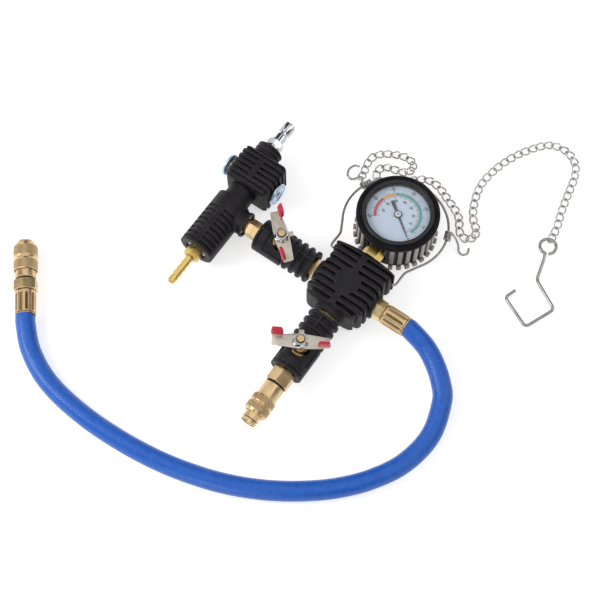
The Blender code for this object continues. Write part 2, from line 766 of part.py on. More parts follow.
def bail_socket_tool(side):
    """The blind hole for one end of the bail, with room for the bail to shift sideways."""
    bottom = JACKET_FLANK - BAIL_GRIP_DEPTH - abs(BAIL_SHIFT) - GAP
    start = Vector((side * bottom, BAIL_PIVOT_Y, AXIS_HEIGHT))
    return turned(
        "tool", None, frame(start, X_AXIS * side),
        [Step(JACKET_FLANK, BAIL_WIRE + BAIL_HOLE_CLEARANCE)],
    )


# Bail
def bail_points():
    """Return the bail's bent path from one pivot to the other, flat, before it is sloped."""
    middle = BAIL_PIVOT_Y + BAIL_LEG_LENGTH + BAIL_SHOULDER_LENGTH
    start_x = BAIL_LEG_X + (BAIL_LOOP_RADIUS - BAIL_LEG_X) / 2
    start_angle = math.acos(start_x / BAIL_LOOP_RADIUS)
    loop_y = middle + BAIL_LOOP_RADIUS * math.sin(start_angle)
    inner = JACKET_FLANK - BAIL_GRIP_DEPTH
    leg = [
        Vector((inner + BAIL_SHIFT, BAIL_PIVOT_Y, 0)),
        Vector((BAIL_LEG_X + BAIL_SHIFT, BAIL_PIVOT_Y, 0)),
        Vector((BAIL_LEG_X + BAIL_SHIFT, BAIL_PIVOT_Y + BAIL_LEG_LENGTH, 0)),
        Vector((start_x + BAIL_SHIFT, middle, 0)),
    ]
    right = rounded_path(leg, BAIL_CORNER_RADIUS)
    loop = []
    sweep = math.pi + 2 * start_angle
    for index in range(1, LOOP_STEPS):
        angle = -start_angle + sweep * index / LOOP_STEPS
        loop.append(
            Vector(
                (
                    BAIL_SHIFT + BAIL_LOOP_RADIUS * math.cos(angle),
                    loop_y + BAIL_LOOP_RADIUS * math.sin(angle),
                    0,
                )
            )
        )
    left = [Vector((2 * BAIL_SHIFT - point.x, point.y, 0)) for point in reversed(right)]
    return right + loop + left, loop_y


def sloped(point):
    """Swing a point of the flat bail down about its pivots, to where it rests."""
    ahead = point.y - BAIL_PIVOT_Y
    lift = point.z
    return Vector(
        (
            point.x,
            BAIL_PIVOT_Y + ahead * math.cos(BAIL_SLOPE) + lift * math.sin(BAIL_SLOPE),
            AXIS_HEIGHT - ahead * math.sin(BAIL_SLOPE) + lift * math.cos(BAIL_SLOPE),
        )
    )


def clip_path(angle, route, loop_y):
    """Return a hook wire that wraps the bail at an angle of its loop, then follows a route."""
    reach = BAIL_WIRE + CLIP_WIRE + GAP
    out = Vector((math.cos(angle), math.sin(angle), 0))
    along = Vector((-math.sin(angle), math.cos(angle), 0))
    centre = Vector((BAIL_SHIFT, loop_y, 0)) + out * BAIL_LOOP_RADIUS
    pitch = 2 * CLIP_WIRE + GAP
    points = []
    total = CLIP_TURNS * CLIP_TURN_STEPS
    for index in range(total + 1):
        turn = 2 * math.pi * index / CLIP_TURN_STEPS
        shift = (index / total - 0.5) * pitch * CLIP_TURNS
        place = centre + along * shift
        place = place + (out * math.cos(turn) + Z_AXIS * math.sin(turn)) * reach
        points.append(sloped(place))
    tail = smooth_path([points[-1], *route], CLIP_STEP)
    return points + tail[1:]


def build_bail():
    points, loop_y = bail_points()
    bail = wire("bail", "steel", [sloped(point) for point in points], BAIL_WIRE)
    pivot = Vector((0, BAIL_PIVOT_Y, AXIS_HEIGHT))
    settle_curve(bail, frame(pivot, X_AXIS))
    for name, angle, route in (
        ("s_hook_left", CLIP_LEFT_ANGLE, CLIP_LEFT_ROUTE),
        ("s_hook_right", CLIP_RIGHT_ANGLE, CLIP_RIGHT_ROUTE),
    ):
        clip = wire(name, "steel", clip_path(angle, route, loop_y), CLIP_WIRE)
        settle_curve(clip, frame(pivot, X_AXIS))


def settle_curve(target, matrix):
    """Replace a wire's curve by its mesh, with its origin at a place."""
    bpy.context.view_layer.update()
    shown = target.evaluated_get(bpy.context.evaluated_depsgraph_get())
    mesh = bpy.data.meshes.new_from_object(shown)
    name = target.name
    materials = list(target.data.materials)
    bpy.data.objects.remove(target, do_unlink=True)
    made = bpy.data.objects.new(name, mesh)
    bpy.context.collection.objects.link(made)
    mesh.materials.clear()
    for material in materials:
        mesh.materials.append(material)
    bm = bmesh.new()
    bm.from_mesh(mesh)
    bmesh.ops.remove_doubles(bm, verts=bm.verts, dist=WELD)
    bmesh.ops.recalc_face_normals(bm, faces=bm.faces)
    bm.to_mesh(mesh)
    bm.free()
    return set_origin(made, matrix)


# Gauge
def case_floor():
    return BOOT_FLOOR + GAP


def case_top():
    return case_floor() + CASE_HEIGHT


def dial_bottom():
    return case_top() + GAP


def gauge_frame(height):
    return frame(Vector((0, GAUGE_Y, height)), Z_AXIS)


def socket_tool(extra):
    """The socket's neck where it passes through the case and the boot."""
    start = Vector((0, COLLAR_REACH, AXIS_HEIGHT))
    return turned(
        "tool", None, frame(start, Y_AXIS),
        [Step(GAUGE_Y - COLLAR_REACH - CASE_RADIUS / 2, SOCKET_NECK_RADIUS + extra)],
    )


def ribbed_form(angle):
    """Fins and valleys by turns, one at each corner of the ring."""
    index = round(angle / (2 * math.pi) * RIB_SIDES)
    return 1.0 if index % 2 == 0 else 1 - BOOT_RIB_DEPTH / BOOT_RIB_RADIUS


def build_gauge_shell():
    case = turned(
        "gauge_case", "black_steel", frame(Vector((0, GAUGE_Y, case_top())), -Z_AXIS),
        [Step(CASE_HEIGHT, CASE_RADIUS)],
        [
            Step(CASE_RIM_HEIGHT, CASE_RADIUS - CASE_RIM_WIDTH),
            Step(CASE_HEIGHT - CASE_RIM_HEIGHT - CASE_WALL, CASE_RADIUS - CASE_WALL),
        ],
        sides=FINE_SIDES,
    )
    cut(case, socket_tool(GAP))

    lip_start = BOOT_HEIGHT - BOOT_LIP_HEIGHT
    boot = turned(
        "gauge_boot", "rubber", gauge_frame(0),
        [
            Step(BOOT_FOOT_HEIGHT, BOOT_FOOT_RADIUS, form=ribbed_form),
            Step(lip_start - BOOT_FOOT_HEIGHT, BOOT_RIB_RADIUS, form=ribbed_form),
            Step(BOOT_LIP_HEIGHT - BOOT_LIP_CHAMFER, BOOT_LIP_RADIUS),
            Step(BOOT_LIP_CHAMFER, BOOT_LIP_RADIUS, BOOT_LIP_TOP_RADIUS),
        ],
        sides=RIB_SIDES,
    )
    hollow = BOOT_HEIGHT - BOOT_FLOOR + OVERRUN
    room = turned(
        "tool", None, gauge_frame(BOOT_FLOOR), [Step(hollow, CASE_RADIUS + GAP)], sides=FINE_SIDES
    )
    cut(boot, room)
    opening = socket_hex_corner() + GAP
    slot_length = GAUGE_Y - COLLAR_REACH - CASE_RADIUS / 2
    slot = box(
        "tool", None,
        (0, GAUGE_Y - CASE_RADIUS / 2 - slot_length / 2, AXIS_HEIGHT),
        (2 * opening, slot_length, 2 * opening),
    )
    cut(boot, slot)

    bezel_bottom = dial_bottom()
    skirt = DIAL_THICKNESS + LENS_LIFT + LENS_THICKNESS + 2 * GAP
    turned(
        "gauge_bezel", "black_steel", gauge_frame(bezel_bottom),
        [Step(skirt + BEZEL_LIP_HEIGHT, CASE_RADIUS)],
        [Step(skirt, CASE_RADIUS - BEZEL_WALL), Step(BEZEL_LIP_HEIGHT, BEZEL_LIP_RADIUS)],
        sides=FINE_SIDES,
    )
    disc_radius = CASE_RADIUS - BEZEL_WALL - GAP
    turned(
        "dial_plate", "dial", gauge_frame(dial_bottom()),
        [Step(DIAL_THICKNESS, disc_radius)], [Step(DIAL_THICKNESS, DIAL_HOLE_RADIUS)],
        sides=FINE_SIDES,
    )
    lens = turned(
        "gauge_lens", None, gauge_frame(dial_bottom() + DIAL_THICKNESS + LENS_LIFT),
        [Step(LENS_THICKNESS, disc_radius)], sides=FINE_SIDES,
    )
    lens.data.materials.append(finish("gauge_lens_finish", (0.95, 0.97, 1.0), 0.03, 0.0, 1.0))


def socket_hex_corner():
    return SOCKET_HEX_FLAT / math.cos(math.pi / 6)


def socket_block_y():
    """The near face of the socket's inner block, clear of the case's round wall."""
    half = max(SOCKET_BLOCK_WIDTH, FRAME_WIDTH) / 2
    return GAUGE_Y - math.sqrt((CASE_RADIUS - CASE_WALL) ** 2 - half**2) + 2 * GAP


def frame_bottom():
    return AXIS_HEIGHT + SOCKET_NECK_RADIUS + GAP


def build_gauge_movement():
    hex_start = PORT_REACH + GAP
    hex_end = GAUGE_Y - BOOT_RIB_RADIUS
    socket = turned(
        "gauge_socket", "brass",
        frame(Vector((0, hex_start - THREAD_LENGTH, AXIS_HEIGHT)), Y_AXIS),
        [
            Step(THREAD_LENGTH, THREAD_RADIUS),
            Step(hex_end - hex_start, SOCKET_HEX_FLAT, form=hex_form),
            Step(socket_block_y() + OVERRUN - hex_end, SOCKET_NECK_RADIUS),
        ],
        [Step(THREAD_LENGTH + hex_end - hex_start, FLOW_RADIUS / 2)],
    )
    block_top = AXIS_HEIGHT + SOCKET_NECK_RADIUS
    block_height = SOCKET_NECK_RADIUS + SOCKET_BLOCK_DROP
    join(
        socket,
        box(
            "tool", None,
            (0, socket_block_y() + SOCKET_BLOCK_LENGTH / 2, block_top - block_height / 2),
            (SOCKET_BLOCK_WIDTH, SOCKET_BLOCK_LENGTH, block_height),
        ),
    )
    build_bourdon()

    plate_start = socket_block_y()
    plate_end = GAUGE_Y + FRAME_WIDTH / 2
    plate = box(
        "movement_frame", "brass",
        (0, (plate_start + plate_end) / 2, frame_bottom() + FRAME_THICKNESS / 2),
        (FRAME_WIDTH, plate_end - plate_start, FRAME_THICKNESS),
    )
    hole = ARBOR_RADIUS + GAP
    for y in (GAUGE_Y, sector_pivot_y()):
        middle = Vector((0, y, frame_bottom() + FRAME_THICKNESS / 2))
        cut(plate, rod_tool(middle, Z_AXIS, hole, FRAME_THICKNESS + 2 * OVERRUN))
    build_gears()


def build_bourdon():
    """The curved spring tube, from the socket's block round inside the case."""
    height = AXIS_HEIGHT - SOCKET_BLOCK_DROP + BOURDON_TUBE
    start_x = SOCKET_BLOCK_WIDTH / 2 + GAP + BOURDON_TUBE * BOURDON_SEAT_SHARE
    start = math.asin(start_x / BOURDON_RADIUS) - math.pi / 2
    points = []
    for index in range(BOURDON_STEPS + 1):
        angle = start + BOURDON_ARC * index / BOURDON_STEPS
        points.append(
            Vector(
                (
                    BOURDON_RADIUS * math.cos(angle),
                    GAUGE_Y + BOURDON_RADIUS * math.sin(angle),
                    height,
                )
            )
        )
    tube = wire("bourdon_tube", "brass", points, BOURDON_TUBE)
    settle_curve(tube, gauge_frame(height))


def pitch_radius(teeth):
    return teeth * GEAR_MODULE / 2


def sector_pivot_y():
    return GAUGE_Y - pitch_radius(PINION_TEETH) - pitch_radius(SECTOR_TEETH)


def tooth_points(teeth, middle):
    """Return the four corners of one tooth, centred on an angle, anticlockwise."""
    radius = pitch_radius(teeth)
    half = (math.pi * GEAR_MODULE - GEAR_BACKLASH) / 4 / radius
    root = half + GEAR_DEDENDUM * math.tan(GEAR_FLANK) / radius
    tip = half - GEAR_ADDENDUM * math.tan(GEAR_FLANK) / radius
    corners = []
    for reach, angle in (
        (radius - GEAR_DEDENDUM, middle - root),
        (radius + GEAR_ADDENDUM, middle - tip),
        (radius + GEAR_ADDENDUM, middle + tip),
        (radius - GEAR_DEDENDUM, middle + root),
    ):
        corners.append((reach * math.cos(angle), reach * math.sin(angle)))
    return corners


def pinion_outline():
    outline = []
    for index in range(PINION_TEETH):
        outline += tooth_points(PINION_TEETH, 2 * math.pi * index / PINION_TEETH)
    return outline


def sector_outline():
    """A fan from the hub to a toothed rim, pointing along +X."""
    spacing = 2 * math.pi / SECTOR_TEETH
    first = -(SECTOR_TEETH_CUT - 1) / 2 * spacing
    outline = []
    for index in range(SECTOR_TEETH_CUT):
        outline += tooth_points(SECTOR_TEETH, first + index * spacing)
    edge = -first + spacing / 2
    inner = pitch_radius(SECTOR_TEETH) - GEAR_DEDENDUM - SECTOR_RIM
    neck = SECTOR_HUB_RADIUS
    outline += [(inner * math.cos(edge), inner * math.sin(edge))]
    outline += [(neck, neck), (-neck, neck), (-neck, -neck), (neck, -neck)]
    outline += [(inner * math.cos(edge), -inner * math.sin(edge))]
    return outline


def build_gears():
    gear_bottom = frame_bottom() + FRAME_THICKNESS + GAP
    ratio = PINION_TEETH / SECTOR_TEETH
    sector_rest = math.pi / 2 + POINTER_SWEEP * ratio / 2
    place = Matrix.Translation((0, sector_pivot_y(), gear_bottom))
    sector = add(
        "sector_gear", prism_mesh("sector", sector_outline(), 0, GEAR_THICKNESS), "brass",
        place @ Matrix.Rotation(sector_rest, 4, "Z"),
    )
    pin_length = FRAME_THICKNESS + GAP + GEAR_THICKNESS + SECTOR_PIN_REACH
    pin_start = Vector((0, sector_pivot_y(), gear_bottom - GAP - FRAME_THICKNESS))
    pin = turned("tool", None, frame(pin_start, Z_AXIS), [Step(pin_length, ARBOR_RADIUS)])
    join(sector, pin)

    pinion_rest = -math.pi / 2 + math.pi / PINION_TEETH + pinion_phase()
    pinion = add(
        "tool", prism_mesh("pinion", pinion_outline(), 0, GEAR_THICKNESS), None,
        gauge_frame(gear_bottom) @ Matrix.Rotation(pinion_rest, 4, "Z"),
    )
    shaft_start = gear_bottom - GAP - FRAME_THICKNESS
    needle_bottom = dial_bottom() + DIAL_THICKNESS + GAP
    shaft_length = needle_bottom + POINTER_HUB_HEIGHT / 2 - shaft_start
    shaft = turned("tool", None, gauge_frame(shaft_start), [Step(shaft_length, ARBOR_RADIUS)])
    pointer = build_pointer(needle_bottom)
    join(pointer, shaft, pinion)


def pinion_phase():
    """Turn the pinion so that its gap meets the sector's tooth where the pointer rests."""
    spacing = 2 * math.pi / SECTOR_TEETH
    sector_turn = POINTER_SWEEP * PINION_TEETH / SECTOR_TEETH / 2
    off_tooth = sector_turn - round(sector_turn / spacing) * spacing
    return -off_tooth * SECTOR_TEETH / PINION_TEETH


def build_pointer(bottom):
    """Return the needle, a thin tip and a thick tail, with its hub."""
    outline = [
        (POINTER_LENGTH, -POINTER_TIP_WIDTH / 2), (POINTER_LENGTH, POINTER_TIP_WIDTH / 2),
        (0, POINTER_TAIL_WIDTH / 3), (0, POINTER_TAIL_WIDTH / 2),
        (-POINTER_TAIL, POINTER_TAIL_WIDTH / 2), (-POINTER_TAIL, -POINTER_TAIL_WIDTH / 2),
        (0, -POINTER_TAIL_WIDTH / 2), (0, -POINTER_TAIL_WIDTH / 3),
    ]
    turn = Matrix.Rotation(math.pi / 2 + POINTER_REST, 4, "Z")
    pointer = add(
        "pointer", prism_mesh("needle", outline, 0, POINTER_THICKNESS), "pointer_black",
        gauge_frame(bottom) @ turn,
    )
    hub = turned("tool", None, gauge_frame(bottom), [Step(POINTER_HUB_HEIGHT, POINTER_HUB_RADIUS)])
    return join(pointer, hub)


# Ball valves
class Axis:
    """A straight line of fittings: a start point and the direction that runs away from it."""

    def __init__(self, origin, direction):
        self.origin = Vector(origin)
        self.direction = Vector(direction).normalized()

    def at(self, along, outward=True):
        """Return a frame at a distance along the line."""
        sense = 1 if outward else -1
        return frame(self.origin + self.direction * along, self.direction * sense)

    def point(self, along, lift=0.0):
        return self.origin + self.direction * along + Z_AXIS * lift


def sleeve_form(angle):
    """Valleys of the sleeve that stand full out at its two side bars."""
    for bar in (math.pi / 2, 3 * math.pi / 2):
        if abs(angle - bar) < BAR_HALF_ANGLE:
            return SLEEVE_RING_RADIUS / SLEEVE_VALLEY_RADIUS
    return 1.0


def sleeve_steps(length):
    """Return the rings and valleys of a valve sleeve, from its inner end."""
    valley = SLEEVE_RING_PITCH - SLEEVE_RING_WIDTH
    steps = [Step(SLEEVE_RING_WIDTH, SLEEVE_RING_RADIUS)]
    used = SLEEVE_RING_WIDTH
    while used + valley + SLEEVE_RING_WIDTH + valley < length - SLEEVE_COLLAR_WIDTH:
        steps.append(Step(valley, SLEEVE_VALLEY_RADIUS, form=sleeve_form))
        steps.append(Step(SLEEVE_RING_WIDTH, SLEEVE_RING_RADIUS))
        used += SLEEVE_RING_PITCH
    steps.append(Step(length - SLEEVE_COLLAR_WIDTH - used, SLEEVE_VALLEY_RADIUS, form=sleeve_form))
    steps.append(Step(SLEEVE_COLLAR_WIDTH, SLEEVE_RING_RADIUS))
    return steps


def build_valve(label, line, reach, sleeve_inner, handle_angle):
    """Build a ball valve on a line, its ball at a distance from the line's start."""
    pivot = line.point(reach)
    body = turned(
        label + "_body", "brass", line.at(reach + VALVE_HALF_LENGTH, outward=False),
        [Step(2 * VALVE_HALF_LENGTH, VALVE_BODY_RADIUS)],
        [
            Step(VALVE_HALF_LENGTH + ball_room(), SEAT_BORE),
            Step(VALVE_HALF_LENGTH - ball_room(), THREAD_BORE),
        ],
    )
    bonnet_foot = SEAT_BORE + GAP
    bonnet = turned(
        "tool", None, frame(pivot + Z_AXIS * bonnet_foot, Z_AXIS),
        [Step(BONNET_HEIGHT - bonnet_foot, BONNET_RADIUS)],
    )
    gland = turned(
        "tool", None, frame(pivot + Z_AXIS * (BONNET_HEIGHT - GAP), Z_AXIS),
        [Step(GLAND_HEIGHT + GAP, GLAND_FLAT, form=hex_form)],
    )
    join(body, bonnet, gland)
    cut(body, stem_tool(pivot))
    sleeve = turned(
        label + "_jacket", "rubber", line.at(reach - sleeve_inner),
        sleeve_steps(sleeve_inner + SLEEVE_OUTER),
        [Step(sleeve_inner + SLEEVE_OUTER, VALVE_BODY_RADIUS + GAP)],
        sides=ROUND_SIDES,
    )
    window = turned(
        "tool", None, frame(pivot, Z_AXIS),
        [Step(SLEEVE_RING_RADIUS + OVERRUN, SLEEVE_WINDOW_RADIUS)],
    )
    cut(sleeve, window)
    build_ball(label, pivot, handle_angle)
    build_seat(label, line, reach)
    build_stem(label, pivot, handle_angle)
    build_handle(label, pivot, handle_angle)


def ball_room():
    """Half the length of the chamber that holds the ball and its seats."""
    return SEAT_SHARE * BALL_RADIUS + SEAT_THICKNESS + GAP


def build_ball(label, pivot, handle_angle):
    def shape(bm):
        bmesh.ops.create_uvsphere(
            bm, u_segments=BALL_SEGMENTS, v_segments=BALL_RINGS, radius=BALL_RADIUS
        )

    turn = Matrix.Translation(pivot) @ Matrix.Rotation(handle_angle, 4, "Z")
    ball = add(label + "_ball", mesh_from("ball", shape), "chrome", turn)
    flow = Vector((math.cos(handle_angle), math.sin(handle_angle), 0))
    cut(ball, rod_tool(pivot, flow, FLOW_RADIUS, 2 * (BALL_RADIUS + OVERRUN)))
    slot_height = TANG_DEPTH + 2 * OVERRUN
    slot = box(
        "tool", None, (0, 0, BALL_RADIUS - TANG_DEPTH + slot_height / 2),
        (2 * BALL_RADIUS, TANG_WIDTH + 2 * GAP, slot_height), turn,
    )
    cut(ball, slot)


def stem_tool(pivot):
    """The stem's room, up from the middle of the ball."""
    height = BONNET_HEIGHT + GLAND_HEIGHT + OVERRUN
    return turned("tool", None, frame(pivot, Z_AXIS), [Step(height, STEM_RADIUS + GAP)])


def build_seat(label, line, reach):
    """The soft seat that wraps the ball and fills the chamber round it."""
    near = SEAT_SHARE * BALL_RADIUS
    mouth = Step(SEAT_THICKNESS, math.sqrt(BALL_RADIUS**2 - near**2) + GAP)
    seat = turned(
        label + "_seat", "seal", line.at(reach - near - SEAT_THICKNESS),
        [Step(2 * (near + SEAT_THICKNESS), SEAT_THREAD_RADIUS)],
        [mouth, Step(2 * near, BALL_RADIUS + GAP), mouth],
    )
    cut(seat, stem_tool(line.point(reach)))


def build_stem(label, pivot, handle_angle):
    turn = Matrix.Translation(pivot) @ Matrix.Rotation(handle_angle, 4, "Z")
    shaft_start = BALL_RADIUS + GAP
    stem = turned(
        label + "_stem", "brass", turn @ Matrix.Translation((0, 0, shaft_start)),
        [Step(STEM_TOP - shaft_start, STEM_RADIUS)],
    )
    tang_bottom = BALL_RADIUS - TANG_DEPTH + GAP
    tang_height = shaft_start + GAP - tang_bottom
    tang = box(
        "tool", None, (0, 0, tang_bottom + tang_height / 2), (TANG_LENGTH, TANG_WIDTH, tang_height),
        turn,
    )
    join(stem, tang)
    bore = STEM_RADIUS + GAP
    turned(
        label + "_nut", "chrome", turn @ Matrix.Translation((0, 0, handle_top() + GAP)),
        [
            Step(NUT_FLANGE_HEIGHT, NUT_FLANGE_RADIUS),
            Step(NUT_HEIGHT, NUT_FLAT, form=hex_form),
        ],
        [Step(NUT_FLANGE_HEIGHT + NUT_HEIGHT, bore)],
    )


def handle_bottom():
    return BONNET_HEIGHT + GLAND_HEIGHT + GAP


def handle_top():
    return handle_bottom() + HANDLE_THICKNESS


def build_handle(label, pivot, handle_angle):
    """The stamped butterfly handle with a turned-up tab on each wing, and its vinyl grips."""
    turn = Matrix.Translation(pivot) @ Matrix.Rotation(handle_angle, 4, "Z")
    root = HANDLE_ROOT_WIDTH / 2
    tip = HANDLE_TIP_WIDTH / 2
    outline = [
        (root, -root), (HANDLE_REACH, -tip), (HANDLE_REACH, tip), (root, root),
        (-root, root), (-HANDLE_REACH, tip), (-HANDLE_REACH, -tip), (-root, -root),
    ]
    plate = add(
        label + "_handle", prism_mesh("plate", outline, handle_bottom(), handle_top()), "handle",
        turn,
    )
    for side, end in ((-1, "far"), (1, "near")):
        x = side * (HANDLE_REACH - TAB_WIDTH / 2)
        y = -side * (tip - TAB_THICKNESS / 2)
        tab_top = handle_top() + TAB_HEIGHT
        tab_size = Vector((TAB_WIDTH, TAB_THICKNESS, tab_top - handle_bottom()))
        tab_centre = Vector((x, y, (tab_top + handle_bottom()) / 2))
        join(plate, box("tool", None, tab_centre, tab_size, turn))
        grip_bottom = handle_top() + GRIP_LIFT
        grip_top = tab_top + GRIP_WALL + GAP
        grip = box(
            f"{label}_grip_{end}", "vinyl", (x, y, (grip_bottom + grip_top) / 2),
            (
                TAB_WIDTH + 2 * (GRIP_WALL + GAP),
                TAB_THICKNESS + 2 * (GRIP_WALL + GAP),
                grip_top - grip_bottom,
            ),
            turn,
        )
        bevelled(grip, GRIP_ROUNDING)
        clear = Vector((2 * GAP, 2 * GAP, 2 * GAP))
        cut(grip, box("tool", None, tab_centre, tab_size + clear, turn))
    hole_length = HANDLE_THICKNESS + 2 * OVERRUN
    middle = pivot + Z_AXIS * (handle_bottom() + HANDLE_THICKNESS / 2)
    cut(plate, rod_tool(middle, Z_AXIS, STEM_RADIUS + GAP, hole_length))


# Nipples
def build_inner_nipple(name, line, reach):
    """A hex nipple from the manifold's port to a valve's inner end."""
    start = PORT_REACH + GAP
    end = reach - VALVE_HALF_LENGTH - GAP
    length = 2 * THREAD_LENGTH + end - start
    turned(
        name, "brass", line.at(start - THREAD_LENGTH),
        [
            Step(THREAD_LENGTH, THREAD_RADIUS),
            Step(end - start, NIPPLE_FLAT, form=hex_form),
            Step(THREAD_LENGTH, THREAD_RADIUS),
        ],
        [Step(length, FLOW_RADIUS)],
    )


def seat_thread_length():
    """The thread that screws into a valve's outer end and keeps the ball's seat in place."""
    return VALVE_HALF_LENGTH - ball_room() + GAP


def build_outer_nipple(line):
    """The nipple from valve A to the venturi's side port."""
    start = VALVE_A_REACH + VALVE_HALF_LENGTH + GAP
    end = -VENTURI_X - VENTURI_SIDE_REACH - GAP
    collar = NIPPLE_COLLAR_LENGTH
    length = seat_thread_length() + end - start + THREAD_LENGTH
    turned(
        "venturi_nipple", "brass", line.at(start - seat_thread_length()),
        [
            Step(seat_thread_length(), SEAT_THREAD_RADIUS),
            Step(end - start - collar, VENTURI_NIPPLE_FLAT, form=hex_form),
            Step(collar, NIPPLE_COLLAR_RADIUS),
            Step(THREAD_LENGTH, THREAD_RADIUS),
        ],
        [Step(length, FLOW_RADIUS)],
    )


# Venturi
def barrel_steps():
    """The venturi barrel's rubber, from its lower end: rings, a smooth band and the neck."""
    steps = []
    ringed = BARREL_BOTTOM + BARREL_TOP - BARREL_BAND
    pitch = (ringed - BARREL_RING_WIDTH) / (BARREL_RING_COUNT - 1)
    for index in range(BARREL_RING_COUNT - 1):
        steps.append(Step(BARREL_RING_WIDTH, BARREL_RADIUS))
        steps.append(Step(pitch - BARREL_RING_WIDTH, BARREL_VALLEY))
    steps.append(Step(BARREL_RING_WIDTH + BARREL_BAND, BARREL_RADIUS))
    steps.append(Step(SLIDE_BOTTOM - GAP - BARREL_TOP, BARREL_NECK_RADIUS))
    return steps


def build_venturi():
    centre = Vector((VENTURI_X, 0, AXIS_HEIGHT))
    down = frame(centre - Y_AXIS * VENTURI_BOTTOM, Y_AXIS)
    body = turned(
        "venturi_body", "alloy", down, [Step(VENTURI_BOTTOM + VENTURI_TOP, VENTURI_BODY_RADIUS)]
    )
    side = turned(
        "tool", None, frame(centre, X_AXIS), [Step(VENTURI_SIDE_REACH, PORT_RADIUS)]
    )
    join(body, side)
    length = VENTURI_BOTTOM + VENTURI_TOP + 2 * OVERRUN
    middle = centre + Y_AXIS * (VENTURI_TOP - VENTURI_BOTTOM) / 2
    cut(body, rod_tool(middle, Y_AXIS, THREAD_BORE, length))
    port = turned(
        "tool", None, frame(centre, X_AXIS), [Step(VENTURI_SIDE_REACH + OVERRUN, THREAD_BORE)]
    )
    cut(body, port)

    jacket = turned(
        "venturi_jacket", "rubber", frame(centre - Y_AXIS * BARREL_BOTTOM, Y_AXIS),
        barrel_steps(), sides=ROUND_SIDES,
    )
    join(jacket, turned("tool", None, frame(centre, X_AXIS), [Step(STUB_REACH, STUB_RADIUS)]))
    bore_length = BARREL_BOTTOM + SLIDE_BOTTOM + 2 * OVERRUN
    bore_middle = centre + Y_AXIS * (SLIDE_BOTTOM - BARREL_BOTTOM) / 2
    cut(jacket, rod_tool(bore_middle, Y_AXIS, VENTURI_BODY_RADIUS + GAP, bore_length))
    stub = turned(
        "tool", None, frame(centre, X_AXIS), [Step(STUB_REACH + OVERRUN, PORT_RADIUS + GAP)]
    )
    cut(jacket, stub)
    build_nozzle(centre)
    build_exhaust(centre)


def build_nozzle(centre):
    """The jet that the air leaves, at the head of the venturi."""
    start = VENTURI_TOP - THREAD_LENGTH - GAP
    turned(
        "venturi_nozzle", "brass", frame(centre + Y_AXIS * start, -Y_AXIS),
        [
            Step(NOZZLE_LENGTH, THREAD_RADIUS),
            Step(NOZZLE_TIP_LENGTH, NOZZLE_TIP_RADIUS, NOZZLE_JET_RADIUS * 2),
        ],
        [
            Step(NOZZLE_LENGTH, FLOW_RADIUS, NOZZLE_JET_RADIUS),
            Step(NOZZLE_TIP_LENGTH, NOZZLE_JET_RADIUS),
        ],
    )


def build_exhaust(centre):
    """The throat, hex and barbs of the exhaust, in one piece."""
    thread_start = VENTURI_BOTTOM + GAP - BARB_THROAT_LENGTH
    steps = [
        Step(BARB_THROAT_LENGTH, THREAD_RADIUS),
        Step(BARB_HEX_LENGTH, BARB_HEX_FLAT, form=hex_form),
    ]
    for index in range(BARB_COUNT):
        steps.append(Step(BARB_PITCH / 4, BARB_RADIUS))
        steps.append(Step(BARB_PITCH * 3 / 4, BARB_RADIUS, BARB_ROOT_RADIUS))
    length = sum(step.length for step in steps)
    turned(
        "exhaust_barb", "brass", frame(centre - Y_AXIS * thread_start, -Y_AXIS), steps,
        [Step(length, BARB_BORE)],
    )


# Slide valve
def slide_centre():
    return Vector((SLIDE_X, (SLIDE_BOTTOM + SLIDE_TOP) / 2, AXIS_HEIGHT))


def collar_steps():
    """The rings of the collar at the slide valve's head."""
    pitch = TOP_COLLAR_LENGTH / TOP_COLLAR_RINGS
    steps = [Step(OVERRUN, TOP_COLLAR_VALLEY)]
    for index in range(TOP_COLLAR_RINGS):
        steps.append(Step(pitch / 2, TOP_COLLAR_VALLEY))
        steps.append(Step(pitch / 2, TOP_COLLAR_RADIUS))
    return steps


def build_slide_valve():
    centre = slide_centre()
    depth = SLIDE_TOP - SLIDE_BOTTOM
    inner = Vector(
        (SLIDE_WIDTH - 2 * SLIDE_WALL, depth - 2 * SLIDE_WALL, BODY_HEIGHT - 3 * SLIDE_WALL)
    )
    body = box("slide_valve_body", "alloy", centre, inner)
    head = Vector((TOP_COLLAR_X, centre.y, AXIS_HEIGHT))
    head_reach = depth / 2 + TOP_COLLAR_LENGTH - GAP
    join(body, turned("tool", None, frame(head, Y_AXIS), [Step(head_reach, PORT_RADIUS)]))
    foot = Vector((VENTURI_X, centre.y, AXIS_HEIGHT))
    shoulder = centre.y - VENTURI_TOP - GAP
    join(
        body,
        turned(
            "tool", None, frame(foot, -Y_AXIS),
            [Step(shoulder, PORT_RADIUS), Step(THREAD_LENGTH, THREAD_RADIUS)],
        ),
    )
    spool_centre = Vector((centre.x, SPOOL_Y, AXIS_HEIGHT))
    cut(body, rod_tool(spool_centre, X_AXIS, SPOOL_RADIUS + GAP, SLIDE_WIDTH + 2 * OVERRUN))
    spool_foot = Vector((VENTURI_X, SPOOL_Y, AXIS_HEIGHT))
    passage = SPOOL_Y - VENTURI_TOP + THREAD_LENGTH + OVERRUN
    cut(
        body,
        turned("tool", None, frame(spool_foot, -Y_AXIS), [Step(passage, LOWER_PASSAGE_RADIUS)]),
    )
    plug_seat = SLIDE_TOP + TOP_COLLAR_LENGTH - THREAD_LENGTH - GAP - SPOOL_Y
    inlet = turned(
        "tool", None, frame(Vector((TOP_COLLAR_X, SPOOL_Y, AXIS_HEIGHT)), Y_AXIS),
        [Step(plug_seat, LOWER_PASSAGE_RADIUS), Step(THREAD_LENGTH + OVERRUN, THREAD_BORE)],
    )
    cut(body, inlet)
    build_slide_jacket(centre, inner, head, head_reach, foot, shoulder)
    build_spool(spool_centre)
    build_air_plug()


